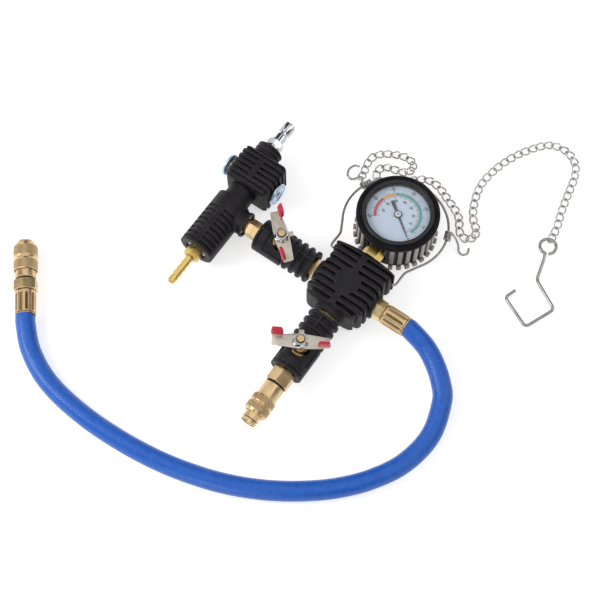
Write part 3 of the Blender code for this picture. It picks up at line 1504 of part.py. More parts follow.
def build_slide_jacket(centre, inner, head, head_reach, foot, shoulder):
    depth = SLIDE_TOP - SLIDE_BOTTOM
    jacket = box("slide_valve_jacket", "rubber", centre, (SLIDE_WIDTH, depth, BODY_HEIGHT))
    bevelled(jacket, SLIDE_ROUNDING)
    collar_start = Vector((TOP_COLLAR_X, SLIDE_TOP - OVERRUN, AXIS_HEIGHT))
    join(jacket, turned("tool", None, frame(collar_start, Y_AXIS), collar_steps()))
    clear = Vector((2 * GAP, 2 * GAP, 2 * GAP))
    cut(jacket, box("tool", None, centre, inner + clear))
    wide = PORT_RADIUS + GAP
    cut(jacket, turned("tool", None, frame(head, Y_AXIS), [Step(head_reach + OVERRUN, wide)]))
    cut(jacket, turned("tool", None, frame(foot, -Y_AXIS), [Step(shoulder + OVERRUN, wide)]))
    spool_centre = Vector((centre.x, SPOOL_Y, AXIS_HEIGHT))
    cut(jacket, rod_tool(spool_centre, X_AXIS, SPOOL_RADIUS + GAP, SLIDE_WIDTH + 2 * OVERRUN))
    grooves = []
    for index in range(SLIDE_GROOVE_COUNT):
        y = centre.y + (index - (SLIDE_GROOVE_COUNT - 1) / 2) * SLIDE_GROOVE_PITCH
        size = Vector((SLIDE_WIDTH + 2 * OVERRUN, SLIDE_GROOVE_WIDTH, 2 * GROOVE_DEPTH))
        grooves.append((Vector((centre.x, y, BODY_HEIGHT)), size))
    spine = SPINE_WIDTH / 2
    halves = []
    for place, size in grooves:
        for side in (-1, 1):
            width = size.x / 2 - spine
            offset = Vector((side * (spine + width / 2), 0, 0))
            halves.append((place + offset, Vector((width, size.y, size.z))))
    cut(jacket, add("tool", box_mesh("grooves", halves), None))


def build_spool(centre):
    """The sliding spool and its two blue buttons, pushed to the left."""
    left_face = centre.x - SLIDE_WIDTH / 2 - GAP - SPOOL_TRAVEL
    right_face = centre.x + SLIDE_WIDTH / 2 + GAP
    origin = Vector((left_face, SPOOL_Y, AXIS_HEIGHT))
    land = (right_face - left_face - (SPOOL_LANDS - 1) * SPOOL_WAIST_LENGTH) / SPOOL_LANDS
    side_land = (land - SEAL_GROOVE_WIDTH) / 2
    stud = BUTTON_THICKNESS - 2 * GAP
    steps = [Step(stud, SPOOL_STUD_RADIUS)]
    for index in range(SPOOL_LANDS):
        steps += [
            Step(side_land, SPOOL_RADIUS), Step(SEAL_GROOVE_WIDTH, SEAL_GROOVE_RADIUS),
            Step(side_land, SPOOL_RADIUS),
        ]
        if index < SPOOL_LANDS - 1:
            steps.append(Step(SPOOL_WAIST_LENGTH, SPOOL_WAIST_RADIUS))
    steps.append(Step(stud, SPOOL_STUD_RADIUS))
    start = frame(origin - X_AXIS * stud, X_AXIS)
    spool = turned("slide_spool", "steel", start, steps)
    span = right_face - left_face + 2 * stud
    for side in (-1, 1):
        end = (origin.x + (right_face - left_face) / 2) + side * span / 2
        socket = rod_tool(
            Vector((end, SPOOL_Y, AXIS_HEIGHT)), X_AXIS, SPOOL_SOCKET_RADIUS,
            2 * SPOOL_SOCKET_DEPTH,
        )
        cut(spool, socket)
    body_radius = BUTTON_RADIUS - BUTTON_CHAMFER
    for end, place, sense in (("left", left_face - GAP, -1), ("right", right_face + GAP, 1)):
        turned(
            "button_" + end, "blue_anodised",
            frame(Vector((place, SPOOL_Y, AXIS_HEIGHT)), X_AXIS * sense),
            [
                Step(BUTTON_CHAMFER, body_radius, BUTTON_RADIUS),
                Step(BUTTON_THICKNESS - 2 * BUTTON_CHAMFER, BUTTON_RADIUS),
                Step(BUTTON_CHAMFER, BUTTON_RADIUS, body_radius),
            ],
            [Step(BUTTON_THICKNESS, SPOOL_STUD_RADIUS + GAP)],
        )


def build_air_plug():
    """The plated plug that takes the air line."""
    start = SLIDE_TOP + TOP_COLLAR_LENGTH - THREAD_LENGTH
    steps = [
        Step(THREAD_LENGTH, THREAD_RADIUS),
        Step(PLUG_COLLAR_LENGTH, PLUG_COLLAR_RADIUS),
        Step(PLUG_HEX_LENGTH, PLUG_HEX_FLAT, form=hex_form),
        Step(PLUG_NECK_LENGTH, PLUG_NECK_RADIUS),
        Step(PLUG_GROOVE_LENGTH, PLUG_GROOVE_RADIUS),
        Step(PLUG_TIP_LENGTH, PLUG_TIP_RADIUS),
        Step(PLUG_TIP_CHAMFER, PLUG_TIP_RADIUS, PLUG_TIP_RADIUS - PLUG_TIP_CHAMFER),
    ]
    length = sum(step.length for step in steps)
    turned(
        "air_plug", "chrome", frame(Vector((TOP_COLLAR_X, start, AXIS_HEIGHT)), Y_AXIS), steps,
        [Step(length, PLUG_BORE)],
    )


# Quick couplers
def build_coupler(label, line, start, adapter_steps, hex_length, barrel, sleeve, nose):
    """Build a coupler whose hex starts at a distance along a line."""
    flow = sum(step.length for step in adapter_steps) + hex_length
    turned(
        label + "_adapter", "brass",
        line.at(start - sum(step.length for step in adapter_steps)),
        [*adapter_steps, Step(hex_length, COUPLER_HEX_FLAT, form=hex_form)],
        [Step(flow - THREAD_LENGTH - GAP, FLOW_RADIUS), Step(THREAD_LENGTH + GAP, THREAD_BORE)],
    )
    barrel_start = start + hex_length + GAP
    sleeve_start = barrel_start + barrel - COUPLER_LAP
    shoulder = barrel_start + barrel
    tip = barrel_start + barrel + sleeve - COUPLER_LAP + nose
    body_steps = [
        Step(THREAD_LENGTH, THREAD_RADIUS),
        Step(barrel, COUPLER_BARREL_RADIUS),
        Step(tip - shoulder, COUPLER_NOSE_RADIUS),
    ]
    length = sum(step.length for step in body_steps)
    turned(
        label + "_body", "brass", line.at(barrel_start - THREAD_LENGTH), body_steps,
        [Step(THREAD_LENGTH + barrel, FLOW_RADIUS), Step(length - THREAD_LENGTH - barrel,
                                                         COUPLER_BORE)],
    )
    band = (sleeve - COUPLER_GROOVE_WIDTH) / 2
    knurl = waved(KNURL_SIDES // 2, KNURL_DEPTH_SHARE)
    rear = COUPLER_LAP + COUPLER_SPRING_ROOM
    turned(
        label + "_sleeve", "brass", line.at(sleeve_start),
        [
            Step(band, COUPLER_SLEEVE_RADIUS, form=knurl),
            Step(COUPLER_GROOVE_WIDTH, COUPLER_GROOVE_RADIUS),
            Step(band, COUPLER_SLEEVE_RADIUS, form=knurl),
        ],
        [
            Step(rear, COUPLER_BARREL_RADIUS + GAP),
            Step(sleeve - rear, COUPLER_NOSE_RADIUS + GAP),
        ],
        sides=KNURL_SIDES,
    )
    build_spring(label, line, shoulder)


def build_spring(label, line, shoulder):
    """The coil that pushes the sleeve forward, between the barrel's shoulder and the sleeve's."""
    radius = (COUPLER_NOSE_RADIUS + COUPLER_BARREL_RADIUS + GAP) / 2
    margin = COUPLER_SPRING_WIRE + GAP
    place = line.at(shoulder)
    points = []
    total = COUPLER_SPRING_TURNS * COUPLER_SPRING_POINTS
    for index in range(total + 1):
        turn = 2 * math.pi * index / COUPLER_SPRING_POINTS
        along = margin + (COUPLER_SPRING_ROOM - 2 * margin) * index / total
        points.append(place @ Vector((radius * math.cos(turn), radius * math.sin(turn), along)))
    spring = wire(label + "_spring", "steel", points, COUPLER_SPRING_WIRE, resolution=0)
    settle_curve(spring, place)


def build_coupler_b(line):
    start = VALVE_B_REACH + VALVE_HALF_LENGTH + GAP
    build_coupler(
        "coupler_b", line, start, [Step(seat_thread_length(), SEAT_THREAD_RADIUS)],
        COUPLER_B_HEX_LENGTH, COUPLER_B_BARREL_LENGTH, COUPLER_B_SLEEVE_LENGTH,
        COUPLER_B_NOSE_LENGTH,
    )


# Hose
def ferrule_steps():
    """A crimped ferrule: a plain band at the mouth and flutes along the rest."""
    fluted = waved(FERRULE_FLUTES, FERRULE_FLUTE_SHARE)
    body = FERRULE_LENGTH - 2 * FERRULE_BAND_LENGTH
    return [
        Step(FERRULE_BAND_LENGTH, FERRULE_RADIUS),
        Step(body, FERRULE_RADIUS, form=fluted),
        Step(FERRULE_BAND_LENGTH, FERRULE_RADIUS),
    ]


def build_hose_start():
    """The hex fitting in the manifold's port and the ferrule crimped behind it."""
    line = Axis((0, 0, AXIS_HEIGHT), X_AXIS)
    start = PORT_REACH + GAP
    length = THREAD_LENGTH + HOSE_NUT_LENGTH
    turned(
        "hose_nut", "brass", line.at(start - THREAD_LENGTH),
        [Step(THREAD_LENGTH, THREAD_RADIUS), Step(HOSE_NUT_LENGTH, HOSE_NUT_FLAT, form=hex_form)],
        [Step(length, FLOW_RADIUS)],
    )
    ferrule = start + HOSE_NUT_LENGTH + GAP
    turned(
        "hose_ferrule_near", "brass", line.at(ferrule), ferrule_steps(),
        [Step(FERRULE_LENGTH, FLOW_RADIUS)],
    )
    return line.point(ferrule + FERRULE_LENGTH + GAP)


def build_hose():
    first = build_hose_start()
    out = Vector((math.cos(HOSE_END_TURN), math.sin(HOSE_END_TURN), 0))
    far = Axis(HOSE_END, out)
    bend = [first + X_AXIS * HOSE_END_RUN, *HOSE_ROUTE, HOSE_END - out * HOSE_END_RUN]
    path = [first, *smooth_path(bend, HOSE_STEP), HOSE_END]
    wire("hose", "hose_blue", path, HOSE_RADIUS, resolution=HOSE_RESOLUTION)
    turned(
        "hose_ferrule_far", "brass", far.at(FERRULE_LENGTH + GAP, outward=False), ferrule_steps(),
        [Step(FERRULE_LENGTH, FLOW_RADIUS)],
    )
    build_coupler(
        "hose_coupler", far, FERRULE_LENGTH + 2 * GAP, [], HOSE_COUPLER_HEX_LENGTH,
        HOSE_COUPLER_BARREL_LENGTH, HOSE_COUPLER_SLEEVE_LENGTH, HOSE_COUPLER_NOSE_LENGTH,
    )


# Chain and hook
def link_centres():
    """Return the points round one oval link, each with its outward direction.

    The link's length is along Z and its width along X.
    """
    bow = LINK_WIDTH / 2 - LINK_WIRE
    straight = (LINK_PITCH - LINK_LAP) / 2 + LINK_WIRE - bow
    centres = []
    for end, first in ((1, 0.0), (-1, math.pi)):
        for index in range(LINK_BOW_STEPS + 1):
            angle = first + math.pi * index / LINK_BOW_STEPS
            out = Vector((math.cos(angle), 0, math.sin(angle)))
            centres.append((out * bow + Z_AXIS * straight * end, out))
    return centres


def links_mesh(name, places):
    """Return one mesh of chain links, one in each of the given frames."""
    centres = link_centres()

    def build(bm):
        for place in places:
            loops = []
            for centre, out in centres:
                loop = []
                for side in range(LINK_SIDES):
                    tilt = 2 * math.pi * side / LINK_SIDES
                    edge = (out * math.cos(tilt) + Y_AXIS * math.sin(tilt)) * LINK_WIRE
                    loop.append(bm.verts.new(place @ (centre + edge)))
                loops.append(loop)
            for here, there in zip(loops, loops[1:] + loops[:1]):
                for side in range(LINK_SIDES):
                    after = (side + 1) % LINK_SIDES
                    bm.faces.new((here[side], there[side], there[after], here[after]))

    return mesh_from(name, build)


def hold_offset(place, toward, radius):
    """Return how far behind a held wire the chain's path starts, for a link round the wire."""
    inner_reach = (LINK_PITCH - LINK_LAP) / 2
    centre_reach = inner_reach - radius - LINK_HOLD
    return (toward - place).normalized() * (centre_reach - LINK_PITCH / 2)


def build_chain():
    """The chain, each link turned a quarter against the one before and lapping it.

    The first link goes round the left clip's shank and the last one, on edge, through the
    hook's eye. The links of one turn are one mesh, and the two meshes are joined where the
    links cross.
    """
    shank = CLIP_LEFT_ROUTE[0].lerp(CLIP_LEFT_ROUTE[1], CLIP_SHANK_SHARE)
    first = shank + hold_offset(shank, CHAIN_ROUTE[0], CLIP_WIRE)
    edge = HOOK_EYE + (CHAIN_ROUTE[-1] - HOOK_EYE).normalized() * HOOK_EYE_RADIUS
    last = edge + hold_offset(edge, CHAIN_ROUTE[-1], HOOK_WIRE)
    path = smooth_path([first, *CHAIN_ROUTE, last], LINK_PITCH)
    places = []
    for index, (start, end) in enumerate(zip(path, path[1:])):
        roll = -LINK_ROLL if index % 2 == 0 else LINK_ROLL
        if index == len(path) - 2:
            roll = 0.0
        places.append(frame((start + end) / 2, end - start) @ Matrix.Rotation(roll, 4, "Z"))
    chain = add("chain", links_mesh("chain", places[::2]), "steel")
    join(chain, add("tool", links_mesh("links", places[1::2]), None))


def build_c_hook():
    """The bent wire hook with its eye, lying on the table."""
    first = HOOK_ROUTE[0] - HOOK_EYE
    start = math.atan2(first.y, first.x)
    points = []
    for index in range(HOOK_EYE_STEPS + 1):
        angle = start + HOOK_EYE_GAP + HOOK_EYE_SWEEP * index / HOOK_EYE_STEPS
        points.append(
            HOOK_EYE + Vector((math.cos(angle), math.sin(angle), 0)) * HOOK_EYE_RADIUS
        )
    bent = rounded_path([points[-1], *HOOK_ROUTE], HOOK_CORNER_RADIUS)
    hook = wire("c_hook", "steel", points + bent[1:], HOOK_WIRE)
    settle_curve(hook, Matrix.Translation(HOOK_EYE))


def shade_round():
    """Shade every mesh smooth, with its real corners kept sharp."""
    for made in bpy.context.collection.objects:
        if made.type == "MESH":
            made.data.shade_smooth()
            made.data.set_sharp_from_angle(angle=SHARP_ANGLE)


def main():
    clear_scene()
    middle = (0, 0, AXIS_HEIGHT)
    left = Axis(middle, -X_AXIS)
    near = Axis(middle, -Y_AXIS)
    build_manifold()
    build_gauge_shell()
    build_gauge_movement()
    build_valve("valve_a", left, VALVE_A_REACH, VALVE_A_SLEEVE_INNER, VALVE_A_HANDLE)
    build_valve("valve_b", near, VALVE_B_REACH, VALVE_B_SLEEVE_INNER, VALVE_B_HANDLE)
    build_inner_nipple("nipple_a", left, VALVE_A_REACH)
    build_inner_nipple("nipple_b", near, VALVE_B_REACH)
    build_outer_nipple(left)
    build_venturi()
    build_slide_valve()
    build_coupler_b(near)
    build_hose()
    build_bail()
    build_chain()
    build_c_hook()
    shade_round()


main()
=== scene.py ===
"""The coolant vacuum filler, dressed for its picture.

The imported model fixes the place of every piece. The classes below build the finer shapes that
stand for its plain solids, one class for each sub-assembly of the tool, and give them their
finishes. Metres, +Z up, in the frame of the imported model.
"""

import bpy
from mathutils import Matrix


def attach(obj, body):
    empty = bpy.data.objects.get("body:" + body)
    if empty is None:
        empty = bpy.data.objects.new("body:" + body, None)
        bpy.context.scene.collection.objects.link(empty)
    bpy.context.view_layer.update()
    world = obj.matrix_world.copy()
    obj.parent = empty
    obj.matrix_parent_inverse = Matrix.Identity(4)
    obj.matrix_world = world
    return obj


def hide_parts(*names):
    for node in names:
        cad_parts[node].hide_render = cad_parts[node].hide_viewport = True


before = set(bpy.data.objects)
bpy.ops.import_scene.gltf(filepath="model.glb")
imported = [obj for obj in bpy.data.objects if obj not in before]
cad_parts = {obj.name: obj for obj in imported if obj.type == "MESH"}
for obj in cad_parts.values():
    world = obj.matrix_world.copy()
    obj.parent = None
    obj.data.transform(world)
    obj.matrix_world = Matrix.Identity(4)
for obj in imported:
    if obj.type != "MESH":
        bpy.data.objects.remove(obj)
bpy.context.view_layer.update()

import logging
import math
from dataclasses import dataclass, field, replace
from enum import Enum
from typing import Callable, Optional, Protocol, Sequence

import bmesh
import bpy
from mathutils import Matrix, Vector

LOG = logging.getLogger("filler")

MM = 0.001
GAP = 0.3 * MM
OVERRUN = 2.0 * MM
WELD = 0.002 * MM
LEAST_ROUNDING = 0.01 * MM
# Painted shade in the narrow grooves of turned metal: how far apart a groove's banks may lie, the depth
# that gives full shade, and the shade's greatest share.
GROOVE_SHADE_REACH = 1.1 * MM
GROOVE_SHADE_DEPTH = 0.30 * MM
GROOVE_SHADE_SHARE = 0.72
AXIS_HEIGHT = 19.0 * MM
BODY_HEIGHT = 38.0 * MM
FULL_TURN = 2 * math.pi
QUARTER = math.pi / 2
SHARP_ANGLE = math.radians(38.0)
PLAIN_ANGLE = math.radians(12.0)
HEX_CORNER = 1 / math.cos(math.pi / 6)
CENTRE = Vector((0.0, 0.0, AXIS_HEIGHT))
LEFT = Vector((-1, 0, 0))
RIGHT = Vector((1, 0, 0))
NEAR = Vector((0, -1, 0))
FAR = Vector((0, 1, 0))
HERE = Matrix.Identity(4)

Piece = bpy.types.Object
Socket = bpy.types.NodeSocket
Colour = tuple[float, float, float]
Point = tuple[float, float]
Profile = Sequence["Ring"]
Relief = Callable[[float, float], float]


class Body(Enum):
    """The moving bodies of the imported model."""

    TOOL = "tool"
    VALVE_A = "valve_a_control"
    VALVE_B = "valve_b_control"
    SPOOL = "spool"
    COUPLER_B = "coupler_b_collar"
    HOSE_COUPLER = "hose_coupler_collar"
    NEEDLE = "needle"
    BAIL = "bail_wire"
    HOOK = "hanging_hook"


class Slot(Enum):
    """The record's material slots that the pieces below use."""

    RUBBER = "rubber"
    BRASS = "brass"
    CHROME = "chrome"
    STEEL = "steel"
    HANDLE = "handle_steel"
    VINYL = "vinyl_red"
    BLUE = "blue_anodised"
    BLACK_STEEL = "black_steel"
    DIAL = "dial"
    POINTER = "pointer_black"
    HOSE = "hose_blue"
    LENS = "lens"


class Side(Enum):
    """The two sides of a piece that comes in pairs."""

    LEFT = -1
    RIGHT = 1


class Section(Enum):
    """The outline of a turned piece across its axis."""

    ROUND = "round"
    HEX = "hex"

    def reach(self, angle: float) -> float:
        """Return the outline's reach at an angle, as a share of its flat.

        Args:
            angle: The angle round the axis, in radians.

        Returns:
            1 for a round piece, and up to the corner's share for a hexagon.
        """
        if self is Section.ROUND:
            return 1.0
        sixth = math.pi / 3
        return 1 / math.cos(angle % sixth - sixth / 2)


class Source(Enum):
    """What a pattern of a finish follows."""

    OBJECT = "Object"
    SURFACE = "UV"


class NodeTree:
    """A tree of nodes while it is being joined."""

    def __init__(self, tree: bpy.types.NodeTree) -> None:
        """Keep the tree that the nodes go into."""
        self.tree = tree

    def node(
        self, kind: str, joins: Optional[dict[str | int, object]] = None, **settings: object
    ) -> bpy.types.Node:
        """Add a node.

        Args:
            kind: The node's type.
            joins: For each input, by name or number, a socket to join or a value to set.
            **settings: The node's own settings.

        Returns:
            The node.
        """
        made = self.tree.nodes.new(kind)
        for name, value in settings.items():
            setattr(made, name, value)
        for key, value in (joins or {}).items():
            self.join(made, key, value)
        return made

    def join(self, node: bpy.types.Node, key: str | int, value: object) -> None:
        """Join a socket to a node's input, or set the input's value.

        Args:
            node: The node.
            key: The input's name or number.
            value: The socket or the value.
        """
        if isinstance(value, Socket):
            self.tree.links.new(value, node.inputs[key])
        else:
            node.inputs[key].default_value = value

    def maths(self, operation: str, first: object, second: object) -> Socket:
        """Return the result of a sum on two sockets or numbers."""
        return self.node("ShaderNodeMath", {0: first, 1: second}, operation=operation).outputs[0]

    def blend(self, factor: Socket, low: object, high: Colour) -> Socket:
        """Blend from one colour to another by a number.

        Args:
            factor: 0 gives the first colour and 1 the second.
            low: The first colour, as a socket or with its alpha.
            high: The second colour.

        Returns:
            The blended colour.
        """
        joins = {0: factor, 6: low, 7: (*high, 1.0)}
        return self.node("ShaderNodeMix", joins, data_type="RGBA").outputs[2]

    def seen_by(self, *rays: str) -> Socket:
        """Find out whether a ray of light is of one of some kinds.

        Args:
            *rays: The kinds, as the Light Path node names them.

        Returns:
            1 for those rays and 0 for others.
        """
        path = self.node("ShaderNodeLightPath")
        seen = path.outputs[rays[0]]
        for ray in rays[1:]:
            seen = self.maths("MAXIMUM", seen, path.outputs[ray])
        return seen


# Finishes
class Shader(NodeTree):
    """A Principled material while its nodes are being joined."""

    def __init__(self, name: str, colour: Colour, roughness: float, metallic: float = 0.0) -> None:
        """Start a material.

        Args:
            name: The material's name.
            colour: Its plain colour, linear.
            roughness: Its plain roughness.
            metallic: 1 for bare metal.
        """
        self.material = bpy.data.materials.new(name)
        self.material.use_nodes = True
        self.material.diffuse_color = (*colour, 1.0)
        super().__init__(self.material.node_tree)
        self.set("Base Color", (*colour, 1.0))
        self.set("Roughness", roughness)
        self.set("Metallic", metallic)

    def set(self, name: str, value: object) -> None:
        """Set one of the surface's own values, or join a socket to it."""
        self.join(self.tree.nodes["Principled BSDF"], name, value)

    def noise(
        self, scale: float, detail: float = 3.0, source: Source = Source.OBJECT,
        stretch: Colour = (1.0, 1.0, 1.0),
    ) -> Socket:
        """Add a noise pattern.

        Args:
            scale: Spots per metre, or per unit of the surface's own map.
            detail: How many finer layers it has.
            source: What the pattern follows.
            stretch: The share of the scale along each axis.

        Returns:
            The noise, from 0 to 1.
        """
        place = self.node("ShaderNodeTexCoord").outputs[source.value]
        turn = self.node("ShaderNodeMapping", {"Vector": place, "Scale": stretch})
        joins = {"Vector": turn.outputs[0], "Scale": scale, "Detail": detail}
        return self.node("ShaderNodeTexNoise", joins).outputs["Fac"]

    def attribute(self, name: str) -> Socket:
        """Return a number that the mesh carries under a name."""
        return self.node("ShaderNodeAttribute", attribute_name=name).outputs["Fac"]

    def between(
        self, factor: Socket, low: Colour, high: Colour, start: float, end: float
    ) -> Socket:
        """Blend two colours by a pattern.

        Args:
            factor: The pattern.
            low: The colour where the pattern is low.
            high: The colour where it is high.
            start: The pattern's value at which the low colour ends.
            end: The value from which the high colour is full.

        Returns:
            The blended colour.
        """
        ramp = self.node("ShaderNodeValToRGB", {"Fac": factor})
        first, last = ramp.color_ramp.elements
        first.position, last.position = start, end
        first.color, last.color = (*low, 1.0), (*high, 1.0)
        return ramp.outputs["Color"]

    def level(self, factor: Socket, low: float, high: float) -> Socket:
        """Turn a pattern's middle range into a number between two values.

        Args:
            factor: The pattern.
            low: The number where the pattern is low.
            high: The number where it is high.

        Returns:
            The number.
        """
        joins = {"Value": factor, "From Min": 0.3, "From Max": 0.7, "To Min": low, "To Max": high}
        return self.node("ShaderNodeMapRange", joins).outputs["Result"]

    def relief(self, *layers: tuple[Socket, float]) -> None:
        """Raise the surface by patterns.

        Args:
            *layers: Each pattern with its height in metres.
        """
        joins: dict[str | int, object] = {"Strength": 1.0}
        for height, depth in layers:
            joins |= {"Distance": depth, "Height": height}
            joins["Normal"] = self.node("ShaderNodeBump", joins).outputs["Normal"]
        self.set("Normal", joins["Normal"])


class Finish(Protocol):
    """What every finish has."""

    name: str

    def make(self) -> bpy.types.Material:
        """Return the material."""


@dataclass(frozen=True)
class Rubber:
    """Moulded rubber with a fine grain, greyer in rubbed spots, and paler where its mesh marks dust and
    wear mixed with painted highlight.
    """

    name: str = "black_rubber"
    colour: Colour = (0.0100, 0.0088, 0.0120)
    rubbed: Colour = (0.022, 0.020, 0.026)
    # The pale grey of dust and wear mixed with painted highlight.
    dust_and_highlight: Colour = (0.42, 0.375, 0.36)
    smooth: float = 0.40
    rough: float = 0.56
    grain: float = 1500.0
    depth: float = 0.05 * MM
    gloss: float = 0.22

    def make(self) -> bpy.types.Material:
        """Join the material's nodes.

        Returns:
            The material.
        """
        shader = Shader(self.name, self.colour, 0.5)
        base = shader.between(shader.noise(90.0, 4.0), self.colour, self.rubbed, 0.38, 0.72)
        # Painted highlight mixed with dust and wear: the colour pales where the mesh marks it.
        shader.set("Base Color", shader.blend(shader.attribute("dust_and_highlight"), base, self.dust_and_highlight))
        shader.set("Roughness", shader.level(shader.noise(420.0), self.smooth, self.rough))
        shader.set("Specular IOR Level", self.gloss)
        shader.relief((shader.noise(self.grain, 2.0), self.depth))
        return shader.material


@dataclass(frozen=True)
class Metal:
    """Bare or plated metal with tool marks round its axis, small spots, a little tarnish and painted
    shade in its narrow grooves.
    """

    name: str
    colour: Colour
    tarnish: Colour
    smooth: float
    rough: float
    marks: float = 2600.0
    marks_depth: float = 0.0012 * MM
    grain: float = 900.0
    grain_depth: float = 0.0010 * MM
    # The colour of the painted shade in narrow grooves and relief valleys.
    groove_shade: Colour = (0.10, 0.055, 0.02)

    def make(self) -> bpy.types.Material:
        """Join the material's nodes.

        Returns:
            The material.
        """
        shader = Shader(self.name, self.colour, self.rough, 1.0)
        clean = shader.between(shader.noise(90.0, 2.0), self.colour, self.tarnish, 0.42, 0.8)
        # Painted shade: the colour darkens where the mesh marks narrow grooves.
        shader.set("Base Color", shader.blend(shader.attribute("groove_shade"), clean, self.groove_shade))
        shader.set("Roughness", shader.level(shader.noise(170.0, 1.0), self.smooth, self.rough))
        lengthwise = (0.0008, 1.0, 1.0)
        marks = shader.noise(self.marks, 1.0, Source.SURFACE, lengthwise)
        shader.relief((marks, self.marks_depth), (shader.noise(self.grain, 2.0), self.grain_depth))
        return shader.material


@dataclass(frozen=True)
class Plastic:
    """A smooth or faintly grained plastic, paint or print."""

    name: str
    colour: Colour
    shade: Colour
    smooth: float = 0.5
    rough: float = 0.6
    grain: float = 1200.0
    depth: float = 0.01 * MM

    def make(self) -> bpy.types.Material:
        """Join the material's nodes.

        Returns:
            The material.
        """
        shader = Shader(self.name, self.colour, self.rough)
        cloud = shader.noise(160.0)
        shader.set("Base Color", shader.between(cloud, self.colour, self.shade, 0.4, 0.75))
        shader.set("Roughness", shader.level(shader.noise(600.0), self.smooth, self.rough))
        shader.relief((shader.noise(self.grain, 2.0), self.depth))
        return shader.material


@dataclass(frozen=True)
class HoseRubber:
    """The blue cover of the hose, with the faint lay of the braid below it."""

    name: str = "hose_cover"
    colour: Colour = (0.011, 0.118, 0.57)
    light: Colour = (0.018, 0.155, 0.67)
    smooth: float = 0.25
    rough: float = 0.34
    gloss: float = 0.5
    braids: float = 14.0
    braid_stretch: float = 19.0
    braid_scale: float = 0.55
    depth: float = 0.05 * MM

    def make(self) -> bpy.types.Material:
        """Join the material's nodes.

        Returns:
            The material.
        """
        shader = Shader(self.name, self.colour, 0.4)
        wear = shader.noise(220.0, 4.0)
        shader.set("Base Color", shader.between(wear, self.colour, self.light, 0.35, 0.75))
        shader.set("Roughness", shader.level(shader.noise(500.0), self.smooth, self.rough))
        place = shader.node("ShaderNodeTexCoord").outputs["UV"]
        across = (self.braids, self.braids * self.braid_stretch, 1.0)
        heights = []
        for lay in (-1, 1):
            slant = (0.0, 0.0, lay * math.radians(45.0))
            joins = {"Vector": place, "Scale": across, "Rotation": slant}
            turned = shader.node("ShaderNodeMapping", joins).outputs[0]
            joins = {"Vector": turned, "Scale": self.braid_scale, "Distortion": 0.4}
            wave = shader.node("ShaderNodeTexWave", joins)
            heights.append((wave.outputs["Fac"], self.depth))
        heights.append((shader.noise(1400.0, 2.0), self.depth / 4))
        shader.relief(*heights)
        shader.set("Specular IOR Level", self.gloss)
        return shader.material


@dataclass(frozen=True)
class Window:
    """The clear window over the dial."""

    name: str = "clear_window"
    colour: Colour = (0.93, 0.96, 1.0)
    strength: float = 0.05
    roughness: float = 0.04

    def make(self) -> bpy.types.Material:
        """Join the material's nodes.

        Returns:
            The material.
        """
        shader = Shader(self.name, self.colour, self.roughness)
        shader.set("Alpha", self.strength)
        shader.set("Coat Weight", 1.0)
        shader.set("Coat Roughness", self.roughness / 2)
        return shader.material


@dataclass(frozen=True)
class FloorPaint:
    """A pale floor that looks white to the camera and keeps the object's shadow."""

    name: str = "pale_floor"
    colour: Colour = (0.86, 0.86, 0.86)
    roughness: float = 0.7
    gloss: float = 0.1
    glow: float = 0.60

    def make(self) -> bpy.types.Material:
        """Join the material's nodes.

        Returns:
            The material.
        """
        shader = Shader(self.name, self.colour, self.roughness)
        shader.set("Specular IOR Level", self.gloss)
        shader.set("Emission Color", (1.0, 1.0, 1.0, 1.0))
        seen = shader.seen_by("Is Camera Ray", "Is Glossy Ray")
        shader.set("Emission Strength", shader.maths("MULTIPLY", seen, self.glow))
        return shader.material


@dataclass(frozen=True)
class Card:
    """The matt face of the dark cards."""

    name: str = "dark_card"
    colour: Colour = (0.05, 0.05, 0.05)
    roughness: float = 0.9

    def make(self) -> bpy.types.Material:
        """Return the material."""
        return Shader(self.name, self.colour, self.roughness).material


RUBBER = Rubber()
# The boot's rubber pales further on its fin faces, painted light mixed with dust.
BOOT_RUBBER = Rubber("matt_rubber", dust_and_highlight=(0.60, 0.54, 0.52), gloss=0.08)
HOSE_BLUE = HoseRubber()
WINDOW = Window()
BRASS = Metal("pale_brass", (0.74, 0.54, 0.30), (0.54, 0.37, 0.18), 0.27, 0.33)
# A brighter copy of the brass, painted light so that the hose nut's faces look lit.
LIT_NUT_BRASS = Metal("lit_nut_brass", (0.95, 0.76, 0.40), (0.80, 0.60, 0.26), 0.26, 0.33)
RICH_BRASS = Metal("yellow_brass", (0.80, 0.57, 0.20), (0.66, 0.43, 0.13), 0.27, 0.33)
CHROME = Metal("plated_chrome", (0.58, 0.59, 0.61), (0.50, 0.51, 0.53), 0.08, 0.15)
STEEL = Metal("bright_wire", (0.40, 0.39, 0.38), (0.30, 0.29, 0.28), 0.22, 0.30)
CHAIN_STEEL = Metal("bright_chain", (0.58, 0.57, 0.55), (0.42, 0.41, 0.39), 0.10, 0.18)
HANDLE_STEEL = Metal(
    "pressed_steel", (0.60, 0.54, 0.47), (0.48, 0.43, 0.37), 0.34, 0.46, 2200.0, 0.001 * MM,
    1500.0, 0.003 * MM,
)
BLUE = Metal("blue_anodised", (0.54, 0.69, 0.87), (0.44, 0.60, 0.81), 0.26, 0.36)
ALLOY = Metal("turned_alloy", (0.40, 0.41, 0.42), (0.32, 0.33, 0.34), 0.34, 0.46)
VINYL = Plastic("dipped_vinyl", (0.70, 0.018, 0.055), (0.60, 0.012, 0.045), 0.26, 0.40)
BLACK_PAINT = Plastic("black_enamel", (0.007, 0.006, 0.008), (0.011, 0.010, 0.013), 0.30, 0.40)
DIAL_FACE = Plastic("dial_enamel", (0.72, 0.83, 0.97), (0.68, 0.79, 0.95), 0.45, 0.55)
PRINT_RED = Plastic("red_print", (0.62, 0.045, 0.055), (0.56, 0.04, 0.05))
